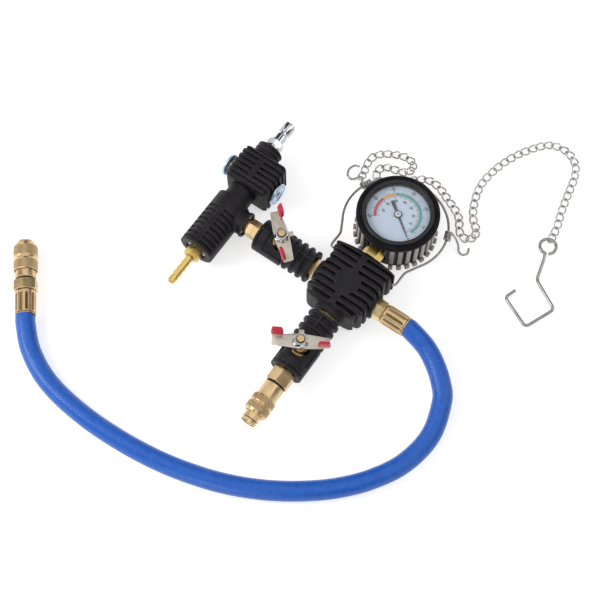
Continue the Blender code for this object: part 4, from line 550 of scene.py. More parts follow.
PRINT_ORANGE = Plastic("orange_print", (0.85, 0.46, 0.08), (0.80, 0.42, 0.07))
PRINT_TEAL = Plastic("teal_print", (0.10, 0.46, 0.40), (0.09, 0.42, 0.37))
PRINT_BLACK = Plastic("black_print", (0.035, 0.038, 0.05), (0.03, 0.033, 0.045))
POINTER_BLACK = Plastic("pointer_enamel", (0.02, 0.021, 0.024), (0.03, 0.03, 0.034), 0.34, 0.5)
CAP_WHITE = Plastic("white_cap", (0.82, 0.83, 0.85), (0.78, 0.79, 0.81), 0.3, 0.42)
SEAL_WHITE = Plastic("soft_seal", (0.80, 0.80, 0.77), (0.74, 0.74, 0.71), 0.4, 0.5)
MADE: dict[str, bpy.types.Material] = {}


def material_of(finish: Finish) -> bpy.types.Material:
    """Return a finish's material, which is made once.

    Args:
        finish: One of the finishes above.

    Returns:
        Its material.
    """
    if finish.name not in MADE:
        MADE[finish.name] = finish.make()
    return MADE[finish.name]


def dress(finish: Finish, *nodes: str) -> None:
    """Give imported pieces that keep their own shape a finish.

    Args:
        finish: The finish.
        *nodes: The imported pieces' names.
    """
    for name in nodes:
        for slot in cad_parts[name].material_slots:
            slot.material = material_of(finish)


def enrol(piece: Piece, body: Body, slot: Slot, *nodes: str) -> Piece:
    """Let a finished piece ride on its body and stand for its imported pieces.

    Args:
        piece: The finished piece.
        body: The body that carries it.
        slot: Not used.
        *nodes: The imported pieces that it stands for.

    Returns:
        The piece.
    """
    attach(piece, body.value)
    if nodes:
        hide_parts(*nodes)
    LOG.info("%s: %d faces on %s", piece.name, len(piece.data.polygons), body.value)
    return piece


# Shapes
@dataclass(frozen=True)
class Ring:
    """One point of a turned piece's profile.

    A limit cuts a hexagon's corners at a share of its flat, as the chamfer of a nut does.
    """

    along: float
    radius: float
    section: Section = Section.ROUND
    limit: float = 1.0


def rings(*steps: tuple[float, ...]) -> list[Ring]:
    """Return the profile of a round piece.

    Args:
        *steps: A place along the piece and its radius there, or the start, the end and the
            radius of a plain stretch.

    Returns:
        The profile.
    """
    return [Ring(along, step[-1]) for step in steps for along in step[:-1]]


def nut_profile(length: float, flat: float, start: float = 0.0) -> list[Ring]:
    """Return a hexagon's profile with its corners chamfered at both ends.

    Args:
        length: The hexagon's length.
        flat: Half its width across flats.
        start: Where it starts along the piece.

    Returns:
        The profile.
    """
    slope, steps = 0.55, 5
    limits = [1.0 + (HEX_CORNER - 1.0) * index / steps for index in range(steps + 1)]
    ends = [(flat * (limit - 1.0) * slope, limit * 1.0001) for limit in limits]
    places = ends + [(length - along, limit) for along, limit in reversed(ends)]
    return [Ring(start + along, flat, Section.HEX, limit) for along, limit in places]


def axis_frame(origin: Vector, axis: Vector) -> Matrix:
    """Return the frame whose Z runs along an axis, with X up where it can be.

    Args:
        origin: The frame's origin.
        axis: The direction of its Z.

    Returns:
        The frame as a matrix.
    """
    along = axis.normalized()
    up = RIGHT if abs(along.z) > 0.5 else Vector((0, 0, 1))
    side = along.cross(up).normalized()
    columns = Matrix((side.cross(along), side, along)).transposed()
    return Matrix.Translation(origin) @ columns.to_4x4()


def level_frame(x: float, y: float, axis: Vector) -> Matrix:
    """Return the frame at a place at the height of the tool's axes, its Z along an axis."""
    return axis_frame(Vector((x, y, AXIS_HEIGHT)), axis)


@dataclass(frozen=True)
class Line:
    """A straight run of fittings: where it starts and which way it runs."""

    origin: Vector
    direction: Vector

    def at(self, along: float) -> Matrix:
        """Return the frame at a distance along the line, its Z running outward."""
        return axis_frame(self.origin + self.direction * along, self.direction)


LEFT_LINE, RIGHT_LINE = Line(CENTRE, LEFT), Line(CENTRE, RIGHT)
NEAR_LINE, FAR_LINE = Line(CENTRE, NEAR), Line(CENTRE, FAR)


def vectors(*points: tuple[float, float, float]) -> list[Vector]:
    """Return points given in millimetres as vectors in metres."""
    return [Vector(point) * MM for point in points]


def across(angle: float) -> Vector:
    """Return the level direction at an angle from +X."""
    return Vector((math.cos(angle), math.sin(angle), 0))


def arc(radius: float, start: float, end: float, steps: int) -> list[Point]:
    """Return the points of an arc round the origin, from one angle to another."""
    turns = [start + (end - start) * index / steps for index in range(steps + 1)]
    return [(radius * math.cos(turn), radius * math.sin(turn)) for turn in turns]


def sector(inner: float, outer: float, start: float, end: float, steps: int) -> list[Point]:
    """Return the outline of a flat ring's part between two angles."""
    return arc(outer, start, end, steps) + arc(inner, start, end, steps)[::-1]


def turned_in(start: Vector, corner: Vector, end: Vector, steps: int) -> list[Vector]:
    """Return the points of a soft bend that takes the place of a corner."""
    shares = [index / steps for index in range(steps + 1)]
    return [start.lerp(corner, t).lerp(corner.lerp(end, t), t) for t in shares]


def shown(name: str, data: bpy.types.ID) -> Piece:
    """Show some data in the scene.

    Args:
        name: The new object's name.
        data: A mesh, a curve, a lamp or a camera.

    Returns:
        The object.
    """
    made = bpy.data.objects.new(name, data)
    bpy.context.scene.collection.objects.link(made)
    return made


def mark(piece: Piece, name: str, values: Sequence[float]) -> None:
    """Give each point of a piece a number under a name."""
    piece.data.attributes.new(name, "FLOAT", "POINT").data.foreach_set("value", values)


def mesh_object(
    name: str, finish: Finish, verts: Sequence[Sequence[float]], faces: Sequence[Sequence[int]]
) -> Piece:
    """Make an object from points and faces, in its own finish.

    Args:
        name: The piece's name.
        finish: The finish that it wears.
        verts: Its points.
        faces: Its faces, as rows of point numbers.

    Returns:
        The object.
    """
    mesh = bpy.data.meshes.new(name)
    mesh.from_pydata([tuple(v) for v in verts], [], faces)
    mesh.materials.append(material_of(finish))
    return shown(name, mesh)


def tidy(piece: Piece, place: Matrix = HERE) -> Piece:
    """Put a mesh in place, merge its doubles, turn its faces out and keep real corners sharp.

    Args:
        piece: The piece.
        place: The frame that its points are given in.

    Returns:
        The piece.
    """
    piece.data.transform(place)
    bm = bmesh.new()
    bm.from_mesh(piece.data)
    bmesh.ops.remove_doubles(bm, verts=bm.verts, dist=WELD)
    bmesh.ops.dissolve_degenerate(bm, edges=bm.edges, dist=WELD)
    bmesh.ops.recalc_face_normals(bm, faces=bm.faces)
    bm.to_mesh(piece.data)
    bm.free()
    piece.data.shade_smooth()
    piece.data.set_sharp_from_angle(angle=SHARP_ANGLE)
    return piece


def settle(piece: Piece) -> Piece:
    """Turn a piece's modifiers into its own mesh.

    Args:
        piece: The piece.

    Returns:
        The piece.
    """
    bpy.context.view_layer.update()
    changed = piece.evaluated_get(bpy.context.evaluated_depsgraph_get())
    mesh = bpy.data.meshes.new_from_object(changed)
    piece.modifiers.clear()
    piece.data = mesh
    return piece


def drop(piece: Piece) -> None:
    """Remove a helper object."""
    bpy.data.objects.remove(piece, do_unlink=True)


def changed_by(piece: Piece, kind: str, **settings: object) -> Piece:
    """Change a piece's mesh by one modifier.

    Args:
        piece: The piece.
        kind: The modifier's type.
        **settings: Its settings.

    Returns:
        The piece.
    """
    change = piece.modifiers.new("change", kind)
    for name, value in settings.items():
        setattr(change, name, value)
    return settle(piece)


def combine(piece: Piece, tool: Piece, operation: str = "DIFFERENCE") -> Piece:
    """Join or cut a piece with a tool, and remove the tool.

    Args:
        piece: The piece that changes.
        tool: The closed mesh that it is joined or cut with.
        operation: UNION or DIFFERENCE.

    Returns:
        The piece.
    """
    changed_by(piece, "BOOLEAN", operation=operation, solver="EXACT", object=tool)
    drop(tool)
    return piece


def bevelled(piece: Piece, width: float, segments: int = 2) -> Piece:
    """Round a piece's sharp edges.

    Args:
        piece: The piece.
        width: How wide each rounding is.
        segments: The faces across each rounding.

    Returns:
        The piece.
    """
    limits = {"limit_method": "ANGLE", "angle_limit": SHARP_ANGLE}
    return changed_by(piece, "BEVEL", width=width, segments=segments, **limits)


def joined(*pieces: Piece) -> Piece:
    """Put several meshes into the first one and remove the others.

    Args:
        *pieces: The meshes. The first one keeps its name.

    Returns:
        The first one.
    """
    first = pieces[0]
    bm = bmesh.new()
    for piece in pieces:
        bm.from_mesh(piece.data)
    bm.to_mesh(first.data)
    bm.free()
    for piece in pieces[1:]:
        drop(piece)
    return first


def moulded(pieces: Sequence[Piece], tools: Sequence[Piece], voxel: float) -> Piece:
    """Fuse solids into one softly rounded rubber moulding.

    Args:
        pieces: Closed meshes. The first one stays and keeps its name.
        tools: Closed meshes that are cut out of the rest.
        voxel: The width of a cell of the fused mesh.

    Returns:
        The first piece, fused.
    """
    first = pieces[0]
    for piece in pieces[1:]:
        combine(first, piece, "UNION")
    for tool in tools:
        combine(first, tool)
    changed_by(first, "REMESH", mode="VOXEL", voxel_size=voxel)
    changed_by(first, "SMOOTH", factor=0.5, iterations=2)
    first.data.shade_smooth()
    # Painted highlight along the outward edges, mixed with wear.
    wear_and_highlight_edges(first)
    return first


def wear_and_highlight_edges(piece: Piece, strength: float = 0.20, start: float = 0.06) -> None:
    """Grey the outward edges of a rubber moulding a little: painted highlight along them, mixed with
    wear where hands rub it.

    Args:
        piece: The moulding.
        strength: The greatest share of the grey.
        start: The bend from which an edge counts as outward.
    """
    points = piece.data.vertices
    bends = [0.0] * len(points)
    for edge in piece.data.edges:
        first, second = edge.vertices
        along = (points[second].co - points[first].co).normalized()
        bends[first] -= along.dot(points[first].normal)
        bends[second] += along.dot(points[second].normal)
    shares = [min(1.0, max(0.0, bend / 4 - start) * 4) for bend in bends]
    # The painted highlight, with wear, on each outward edge.
    mark(piece, "dust_and_highlight", [strength * share for share in shares])


def softened(profile: Profile, reach: float, closed: bool) -> list[Ring]:
    """Round the corners of a profile.

    Args:
        profile: The profile's points.
        reach: How far each rounding reaches from its corner.
        closed: True if the profile joins its own start.

    Returns:
        The profile with arcs for corners.
    """
    made: list[Ring] = []
    for index, ring in enumerate(profile):
        before, after = profile[index - 1], profile[(index + 1) % len(profile)]
        corner = Vector((ring.along, ring.radius))
        back = Vector((before.along, before.radius)) - corner
        ahead = Vector((after.along, after.radius)) - corner
        near = min(reach, back.length / 2.01, ahead.length / 2.01)
        at_end = not closed and index in (0, len(profile) - 1)
        if at_end or near < LEAST_ROUNDING or back.angle(-ahead) < PLAIN_ANGLE:
            made.append(ring)
            continue
        start, end = corner + back.normalized() * near, corner + ahead.normalized() * near
        for point in turned_in(start, corner, end, 3):
            made.append(replace(ring, along=point.x, radius=point.y))
    return made


def skin(
    name: str, finish: Finish, verts: Sequence[Sequence[float]], sides: int, steps: Sequence[float]
) -> Piece:
    """Join rows of points into a skin, with its own surface map.

    Args:
        name: The piece's name.
        finish: Its finish.
        verts: The points, row after row.
        sides: The points in a row, which closes on itself.
        steps: The distance from each row to the one after it.

    Returns:
        The piece. Its map holds shares of a turn and metres along.
    """
    faces: list[tuple[int, ...]] = []
    places: list[float] = []
    travelled = 0.0
    for row, step in enumerate(steps):
        low, high = row * sides, (row + 1) * sides
        for index in range(sides):
            after = (index + 1) % sides
            faces.append((low + index, low + after, high + after, high + index))
            left, right = index / sides, (index + 1) / sides
            places += [left, travelled, right, travelled]
            places += [right, travelled + step, left, travelled + step]
        travelled += step
    made = mesh_object(name, finish, verts, faces)
    made.data.uv_layers.new(name="UVMap").data.foreach_set("uv", places)
    return made


def lathe(
    name: str, finish: Finish, place: Matrix, profile: Profile, bore: Profile = (),
    sides: int = 96, soft: float = 0.12 * MM, relief: Optional[Relief] = None,
) -> Piece:
    """Turn a piece on a lathe, with painted shade in the narrow grooves of a metal one.

    Args:
        name: The piece's name.
        finish: Its finish.
        place: The frame whose Z is the piece's axis.
        profile: Its outside, from one end to the other.
        bore: Its inside, in the same sense, for a piece that is open at both ends.
        sides: The number of sides round it.
        soft: How far the rounding of its corners reaches.
        relief: Height to add to the outside at an angle and a distance along.

    Returns:
        The piece.
    """
    if bore:
        rounds = softened([*profile, *reversed(bore)], soft, True)
        rounds.append(rounds[0])
    else:
        ends = rings((profile[0].along, 0.0), (profile[-1].along, 0.0))
        rounds = softened([ends[0], *profile, ends[1]], soft, False)
    bore_reach = max((ring.radius for ring in bore), default=0.0) + WELD
    verts: list[tuple[float, float, float]] = []
    # Each point's share of painted shade, larger the deeper it lies in a narrow groove.
    groove_shade: list[float] = []
    for ring in rounds:
        hollow = sunk_below(ring, profile) / GROOVE_SHADE_DEPTH if ring.radius > bore_reach else 0.0
        for index in range(sides):
            angle = FULL_TURN * index / sides
            share = ring.section.reach(angle)
            if ring.section is Section.HEX:
                share = min(share, ring.limit)
            reach, sunk = ring.radius * share, hollow
            if relief and reach > bore_reach:
                rise = relief(angle, ring.along)
                reach += rise
                # The valleys of a relief, such as a knurl or a crimp, get painted shade too.
                sunk = max(sunk, -rise / GROOVE_SHADE_DEPTH)
            groove_shade.append(min(1.0, sunk) * GROOVE_SHADE_SHARE)
            verts.append((reach * math.cos(angle), reach * math.sin(angle), ring.along))
    steps = [math.hypot(b.along - a.along, b.radius - a.radius) for a, b in zip(rounds, rounds[1:])]
    made = skin(name, finish, verts, sides, steps)
    # Only metal pieces carry the painted groove shade.
    if isinstance(finish, Metal):
        mark(made, "groove_shade", groove_shade)
    return tidy(made, place)


def sunk_below(ring: Ring, profile: Profile) -> float:
    """Return how deep a place on a profile lies in a narrow groove.

    Args:
        ring: The place.
        profile: The outside profile.

    Returns:
        The depth below the lower of the groove's two banks, or 0 outside a groove.
    """
    before = [r.radius for r in profile if 0 <= ring.along - r.along <= GROOVE_SHADE_REACH]
    after = [r.radius for r in profile if 0 <= r.along - ring.along <= GROOVE_SHADE_REACH]
    return max(0.0, min(max(before, default=0.0), max(after, default=0.0)) - ring.radius)


def rod(place: Matrix, radius: float, start: float, end: float, sides: int = 64) -> Piece:
    """Return a plain rod along a frame's Z, as a tool for cutting or joining."""
    return lathe("rod", RUBBER, place, rings((start, end, radius)), (), sides, 0.0)


def block(
    name: str, finish: Finish, low: Sequence[float], high: Sequence[float], place: Matrix = HERE
) -> Piece:
    """Make a box between two corners.

    Args:
        name: The piece's name.
        finish: Its finish.
        low: Its lowest corner.
        high: Its highest corner.
        place: The frame of the corners.

    Returns:
        The box.
    """
    xs, ys, zs = zip(low, high)
    verts = [(x, y, z) for x in xs for y in ys for z in zs]
    faces = [(0, 1, 3, 2), (4, 6, 7, 5), (0, 4, 5, 1), (2, 3, 7, 6), (0, 2, 6, 4), (1, 5, 7, 3)]
    return tidy(mesh_object(name, finish, verts, faces), place)


def stack(
    name: str, finish: Finish, levels: Sequence[tuple[float, Sequence[Point]]], place: Matrix = HERE
) -> Piece:
    """Skin a stack of outlines with the same number of points.

    Args:
        name: The piece's name.
        finish: Its finish.
        levels: Each outline with its height, from the lowest up.
        place: The frame of the outlines.

    Returns:
        The closed solid.
    """
    count = len(levels[0][1])
    verts = [(x, y, z) for z, outline in levels for x, y in outline]
    top = len(verts) - count
    faces = [tuple(range(count))[::-1], tuple(range(top, len(verts)))]
    for low in range(0, top, count):
        high = low + count
        for index in range(count):
            after = (index + 1) % count
            faces.append((low + index, low + after, high + after, high + index))
    return tidy(mesh_object(name, finish, verts, faces), place)


def slab(
    name: str, finish: Finish, outline: Sequence[Point], low: float, high: float,
    place: Matrix = HERE,
) -> Piece:
    """Return a solid that keeps one outline from one height to another."""
    return stack(name, finish, [(low, outline), (high, outline)], place)


def pillow(
    name: str, outline: Callable[[float], list[Point]], low: float, high: float, reach: float
) -> Piece:
    """Mould a rubber block whose upper and lower edges are rounded all round.

    Args:
        name: The piece's name.
        outline: Gives the outline for a distance that it is drawn in.
        low: The lower height.
        high: The upper height.
        reach: The radius of the rounding.

    Returns:
        The block.
    """
    shares = arc(1.0, 0.0, QUARTER, 6)
    lower = [(reach * (1 - rise), outline(reach * (1 - inset))) for rise, inset in shares]
    levels = [(low + rise, shape) for rise, shape in lower]
    levels += [(high - rise, shape) for rise, shape in reversed(lower)]
    return stack(name, RUBBER, levels)


def side_bars(
    place: Matrix, half: float, radii: tuple[float, float], ends: tuple[float, float]
) -> list[Piece]:
    """Mould the two plain bars along the sides of a ringed rubber sleeve.

    Args:
        place: The sleeve's frame.
        half: Half the angle that each bar covers.
        radii: Their inner and outer radius.
        ends: Where they start and end along the sleeve.

    Returns:
        The bars.
    """
    outlines = [sector(*radii, mid - half, mid + half, 6) for mid in (QUARTER, -QUARTER)]
    return [slab("bar", RUBBER, outline, *ends, place) for outline in outlines]


def tube(
    name: str, finish: Finish, points: Sequence[Vector], radius: float, sides: int = 14,
    domed: bool = True,
) -> Piece:
    """Sweep a round wire or hose along points.

    Args:
        name: The piece's name.
        finish: Its finish.
        points: The centre line.
        radius: The wire's radius.
        sides: The sides round it.
        domed: True for rounded ends, False for flat ones.

    Returns:
        The tube.
    """
    ends = [points[0], *points, points[-1]]
    aheads = [(after - before).normalized() for before, after in zip(ends, ends[2:])]
    side = aheads[0].orthogonal().normalized()
    rounds: list[tuple[Vector, Vector, Vector, float]] = []
    for point, ahead in zip(points, aheads):
        side = (side - ahead * side.dot(ahead)).normalized()
        rounds.append((point, side.copy(), ahead.cross(side), radius))
    caps = ((0.30, 0.87), (0.522, 0.5), (0.6, 0.0)) if domed else ((0.0, 0.9), (0.02, 0.0))
    for at_start, ahead in ((True, -aheads[0]), (False, aheads[-1])):
        centre, right, up, _ = rounds[0 if at_start else -1]
        cap = [(centre + ahead * radius * out, right, up, radius * share) for out, share in caps]
        rounds = [*reversed(cap), *rounds] if at_start else [*rounds, *cap]
    circle = arc(1.0, 0.0, FULL_TURN, sides)[:sides]
    verts = [
        centre + (right * x + up * y) * reach for centre, right, up, reach in rounds for x, y in circle
    ]
    steps = [(after[0] - before[0]).length for before, after in zip(rounds, rounds[1:])]
    return tidy(skin(name, finish, verts, sides, steps))


def smooth_path(points: Sequence[Vector], step: float) -> list[Vector]:
    """Space points evenly on the smooth curve through the given ones.

    Args:
        points: The points that the curve passes through.
        step: The distance between the new points.

    Returns:
        The new points, from the first given point to the last.
    """
    dense: list[Vector] = []
    ends = [points[0] * 2 - points[1], *points, points[-1] * 2 - points[-2]]
    parts = 24
    for before, start, end, after in zip(ends, ends[1:], ends[2:], ends[3:]):
        for index in range(parts):
            t = index / parts
            rise = (end - before) * t
            bend = (before * 2 - start * 5 + end * 4 - after) * t**2
            twist = (start * 3 - before - end * 3 + after) * t**3
            dense.append((start * 2 + rise + bend + twist) / 2)
    dense.append(points[-1].copy())
    lengths = [(b - a).length for a, b in zip(dense, dense[1:])]
    total = sum(lengths)
    count = max(1, round(total / step))
    path = [dense[0]]
    travelled = 0.0
    for start, end, length in zip(dense, dense[1:], lengths):
        while len(path) < count and travelled + length >= total * len(path) / count:
            path.append(start.lerp(end, (total * len(path) / count - travelled) / length))
        travelled += length
    return [*path, dense[-1]]


def rounded_path(points: Sequence[Vector], radius: float, steps: int = 8) -> list[Vector]:
    """Bend a path's corners into arcs.

    Args:
        points: The corners.
        radius: About how far each arc reaches from its corner.
        steps: The stretches in each arc.

    Returns:
        The bent path.
    """
    path = [points[0]]
    for before, corner, after in zip(points, points[1:], points[2:]):
        back, ahead = before - corner, after - corner
        reach = min(radius, back.length / 2, ahead.length / 2)
        start, end = corner + back.normalized() * reach, corner + ahead.normalized() * reach
        path += turned_in(start, corner, end, steps)
    return [*path, points[-1]]


# Repeats, grown by geometry nodes
class Pattern(NodeTree):
    """A geometry nodes tree while it is being joined."""

    def __init__(self, name: str, **kinds: str) -> None:
        """Start a tree with a mesh in, a mesh out, its own sizes and a material.

        Args:
            name: The tree's name.
            **kinds: The kind of each size: Int, Float or Vector.
        """
        super().__init__(bpy.data.node_groups.new(name, "GeometryNodeTree"))
        self.tree.is_modifier = True
        sockets = self.tree.interface
        self.keys: dict[str, str] = {}
        for size, kind in {"Geometry": "Geometry", **kinds, "Material": "Material"}.items():
            made = sockets.new_socket(name=size, in_out="INPUT", socket_type="NodeSocket" + kind)
            self.keys[size] = made.identifier
        sockets.new_socket(name="Geometry", in_out="OUTPUT", socket_type="NodeSocketGeometry")
        self.source = self.node("NodeGroupInput")

    def given(self, name: str) -> Socket:
        """Return one of the tree's named inputs."""
        return self.source.outputs[name]

    def copy(self, shape: Socket, points: Socket, turn: object = (0.0, 0.0, 0.0)) -> "Pattern":
        """End the tree with real copies of a shape in the given material.

        Args:
            shape: The shape.
            points: The points that the copies stand on.
            turn: How each copy is turned, as a socket or a value.

        Returns:
            The tree.
        """
        joins = {"Points": points, "Instance": shape, "Rotation": turn}
        copies = self.node("GeometryNodeInstanceOnPoints", joins).outputs[0]
        real = self.node("GeometryNodeRealizeInstances", {"Geometry": copies}).outputs[0]
        joins = {"Geometry": real, "Material": self.given("Material")}
        dressed = self.node("GeometryNodeSetMaterial", joins).outputs[0]
        self.node("NodeGroupOutput", {"Geometry": dressed})
        return self

    def grow(self, piece: Piece, finish: Finish, **sizes: object) -> Piece:
        """Run the tree on a piece and keep the result as a plain mesh.

        Args:
            piece: The piece whose mesh goes in.
            finish: The finish of the result.
            **sizes: The values of the named inputs.

        Returns:
            The piece, with its new mesh.
        """
        change = piece.modifiers.new("grown", "NODES")
        change.node_group = self.tree
        change[self.keys["Material"]] = material_of(finish)
        for name, value in sizes.items():
            change[self.keys[name]] = value
        return settle(piece)


def row_pattern() -> Pattern:
    """Make the tree that repeats a mesh in a straight row.

    Returns:
        The tree.
    """
    made = Pattern("row_of_copies", Count="Int", Step="Vector")
    joins = {"Count": made.given("Count"), "Offset": made.given("Step")}
    points = made.node("GeometryNodeMeshLine", joins).outputs[0]
    return made.copy(made.given("Geometry"), points)


def round_pattern() -> Pattern:
    """Make the tree that repeats a mesh round the Z axis.

    Returns:
        The tree.
    """
    made = Pattern("ring_of_copies", Count="Int", Angle="Float", First="Float")
    joins = {"Count": made.given("Count"), "Offset": (0.0, 0.0, 0.0)}
    points = made.node("GeometryNodeMeshLine", joins).outputs[0]
    index = made.node("GeometryNodeInputIndex").outputs[0]
    turned = made.maths("MULTIPLY", index, made.given("Angle"))
    angle = made.maths("ADD", turned, made.given("First"))
    euler = made.node("ShaderNodeCombineXYZ", {"Z": angle}).outputs[0]
    spin = made.node("FunctionNodeEulerToRotation", {"Euler": euler}).outputs[0]
    return made.copy(made.given("Geometry"), points, spin)


def link_pattern() -> Pattern:
    """Make the tree that puts a twisted oval link on each point, turned as it says.

    Returns:
        The tree.
    """
    made = Pattern(
        "chain_links", Width="Float", Length="Float", Wire="Float", Sides="Int", Twist="Float"
    )
    width = made.given("Width")
    joins = {"Width": width, "Height": made.given("Length")}
    oval = made.node("GeometryNodeCurvePrimitiveQuadrilateral", joins).outputs[0]
    joins = {"Curve": oval, "Radius": made.maths("MULTIPLY", width, 0.49), "Count": 5}
    bent = made.node("GeometryNodeFilletCurve", joins, mode="POLY").outputs[0]
    joins = {"Resolution": made.given("Sides"), "Radius": made.given("Wire")}
    wire = made.node("GeometryNodeCurvePrimitiveCircle", joins).outputs[0]
    joins = {"Curve": bent, "Profile Curve": wire}
    link = made.node("GeometryNodeCurveToMesh", joins).outputs[0]
    where = made.node("GeometryNodeInputPosition").outputs[0]
    along = made.node("ShaderNodeSeparateXYZ", {"Vector": where}).outputs["Y"]
    joins = {"Vector": where, "Angle": made.maths("MULTIPLY", along, made.given("Twist"))}
    wrung = made.node("ShaderNodeVectorRotate", joins, rotation_type="Y_AXIS").outputs[0]
    joins = {"Geometry": link, "Position": wrung}
    twisted = made.node("GeometryNodeSetPosition", joins).outputs[0]
    turn = made.node("GeometryNodeInputNamedAttribute", {"Name": "turn"}, data_type="FLOAT_VECTOR")
    spin = made.node("FunctionNodeEulerToRotation", {"Euler": turn.outputs[0]}).outputs[0]
    return made.copy(twisted, made.given("Geometry"), spin)


ROW = row_pattern()
ROUND = round_pattern()
LINKS = link_pattern()


# The setting
@dataclass
class Studio:
    """The camera, the lamps and the plain floor."""

    target: Vector = field(default_factory=lambda: vectors((-31.7, -24.8, 0.0))[0])
    elevation: float = math.radians(67.5)
    azimuth: float = math.radians(35.0)
    distance: float = 1100.0 * MM
    lens: float = 75.9
    sensor: float = 36.0
    sight: float = 50.0
    floor_size: float = 12.0
    sky: Colour = (0.42, 0.42, 0.43)
    cards: int = 6
    card_radius: float = 1.25
    card_low: float = 0.22
    card_high: float = 1.30
    card_lean: float = 0.72
    card_share: float = 0.56

    def build(self) -> None:
        """Make the camera, the lamps, the world, the floor and the cards."""
        self.place_camera()
        self.place_lamps()
        self.make_world()
        self.lay_floor()
        self.hang_cards()
        bpy.context.scene.view_settings.view_transform = "Standard"

    def aim(self, piece: Piece, place: Vector) -> None:
        """Put a camera or a lamp at a place and turn it towards the target.

        Args:
            piece: The camera or the lamp.
            place: Its place.
        """
        piece.location = place
        piece.rotation_mode = "QUATERNION"
        piece.rotation_quaternion = (self.target - piece.location).to_track_quat("-Z", "Y")

    def place_camera(self) -> None:
        """Put the camera at the picture's angle."""
        data = bpy.data.cameras.new("camera")
        data.lens = self.lens
        data.sensor_width = self.sensor
        data.clip_end = self.sight
        camera = shown("camera", data)
        back = across(self.azimuth - QUARTER) * math.cos(self.elevation)
        back.z = math.sin(self.elevation)
        self.aim(camera, self.target + back * self.distance)
        bpy.context.scene.camera = camera

    def place_lamps(self) -> None:
        """Hang a wide key lamp and two weaker ones round the object."""
        for name, place, size, power in (
            ("key", (-0.95, -0.60, 0.85), 0.8, 8.5),
            ("fill", (0.95, 0.55, 1.10), 1.1, 3.0),
            ("low", (0.10, -1.10, 0.45), 0.5, 1.4),
        ):
            data = bpy.data.lights.new(name, "AREA")
            data.energy = power
            data.size = size
            self.aim(shown(name, data), Vector(place))

    def make_world(self) -> None:
        """Light the scene evenly, with a white background to see and to reflect."""
        world = bpy.data.worlds.new("studio")
        bpy.context.scene.world = world
        world.use_nodes = True
        tree = NodeTree(world.node_tree)
        seen = tree.seen_by("Is Camera Ray", "Is Glossy Ray", "Is Transmission Ray")
        light = tree.blend(seen, (*self.sky, 1.0), (1.0, 1.0, 1.0))
        background = world.node_tree.nodes["Background"]
        tree.join(background, "Color", light)
        tree.join(background, "Strength", 1.0)

    def lay_floor(self) -> None:
        """Lay the pale floor."""
        half = self.floor_size / 2
        corners = [(-half, -half, 0.0), (half, -half, 0.0), (half, half, 0.0), (-half, half, 0.0)]
        mesh_object("floor", FloorPaint(), corners, [(0, 1, 2, 3)])

    def hang_cards(self) -> None:
        """Hang dark cards round the table, which only bare metal and gloss reflect."""
        rows = ((self.card_low, 1.0), (self.card_high, self.card_lean))
        verts, faces = [], []
        for index in range(self.cards):
            for turn in (index, index + self.card_share):
                out = across(FULL_TURN * turn / self.cards) * self.card_radius
                verts += [(out.x * share, out.y * share, height) for height, share in rows]
            first = 4 * index
            faces.append((first, first + 1, first + 3, first + 2))
        cards = mesh_object("dark_cards", Card(), verts, faces)
        cards.visible_camera = False
        cards.visible_diffuse = False
        cards.visible_shadow = False


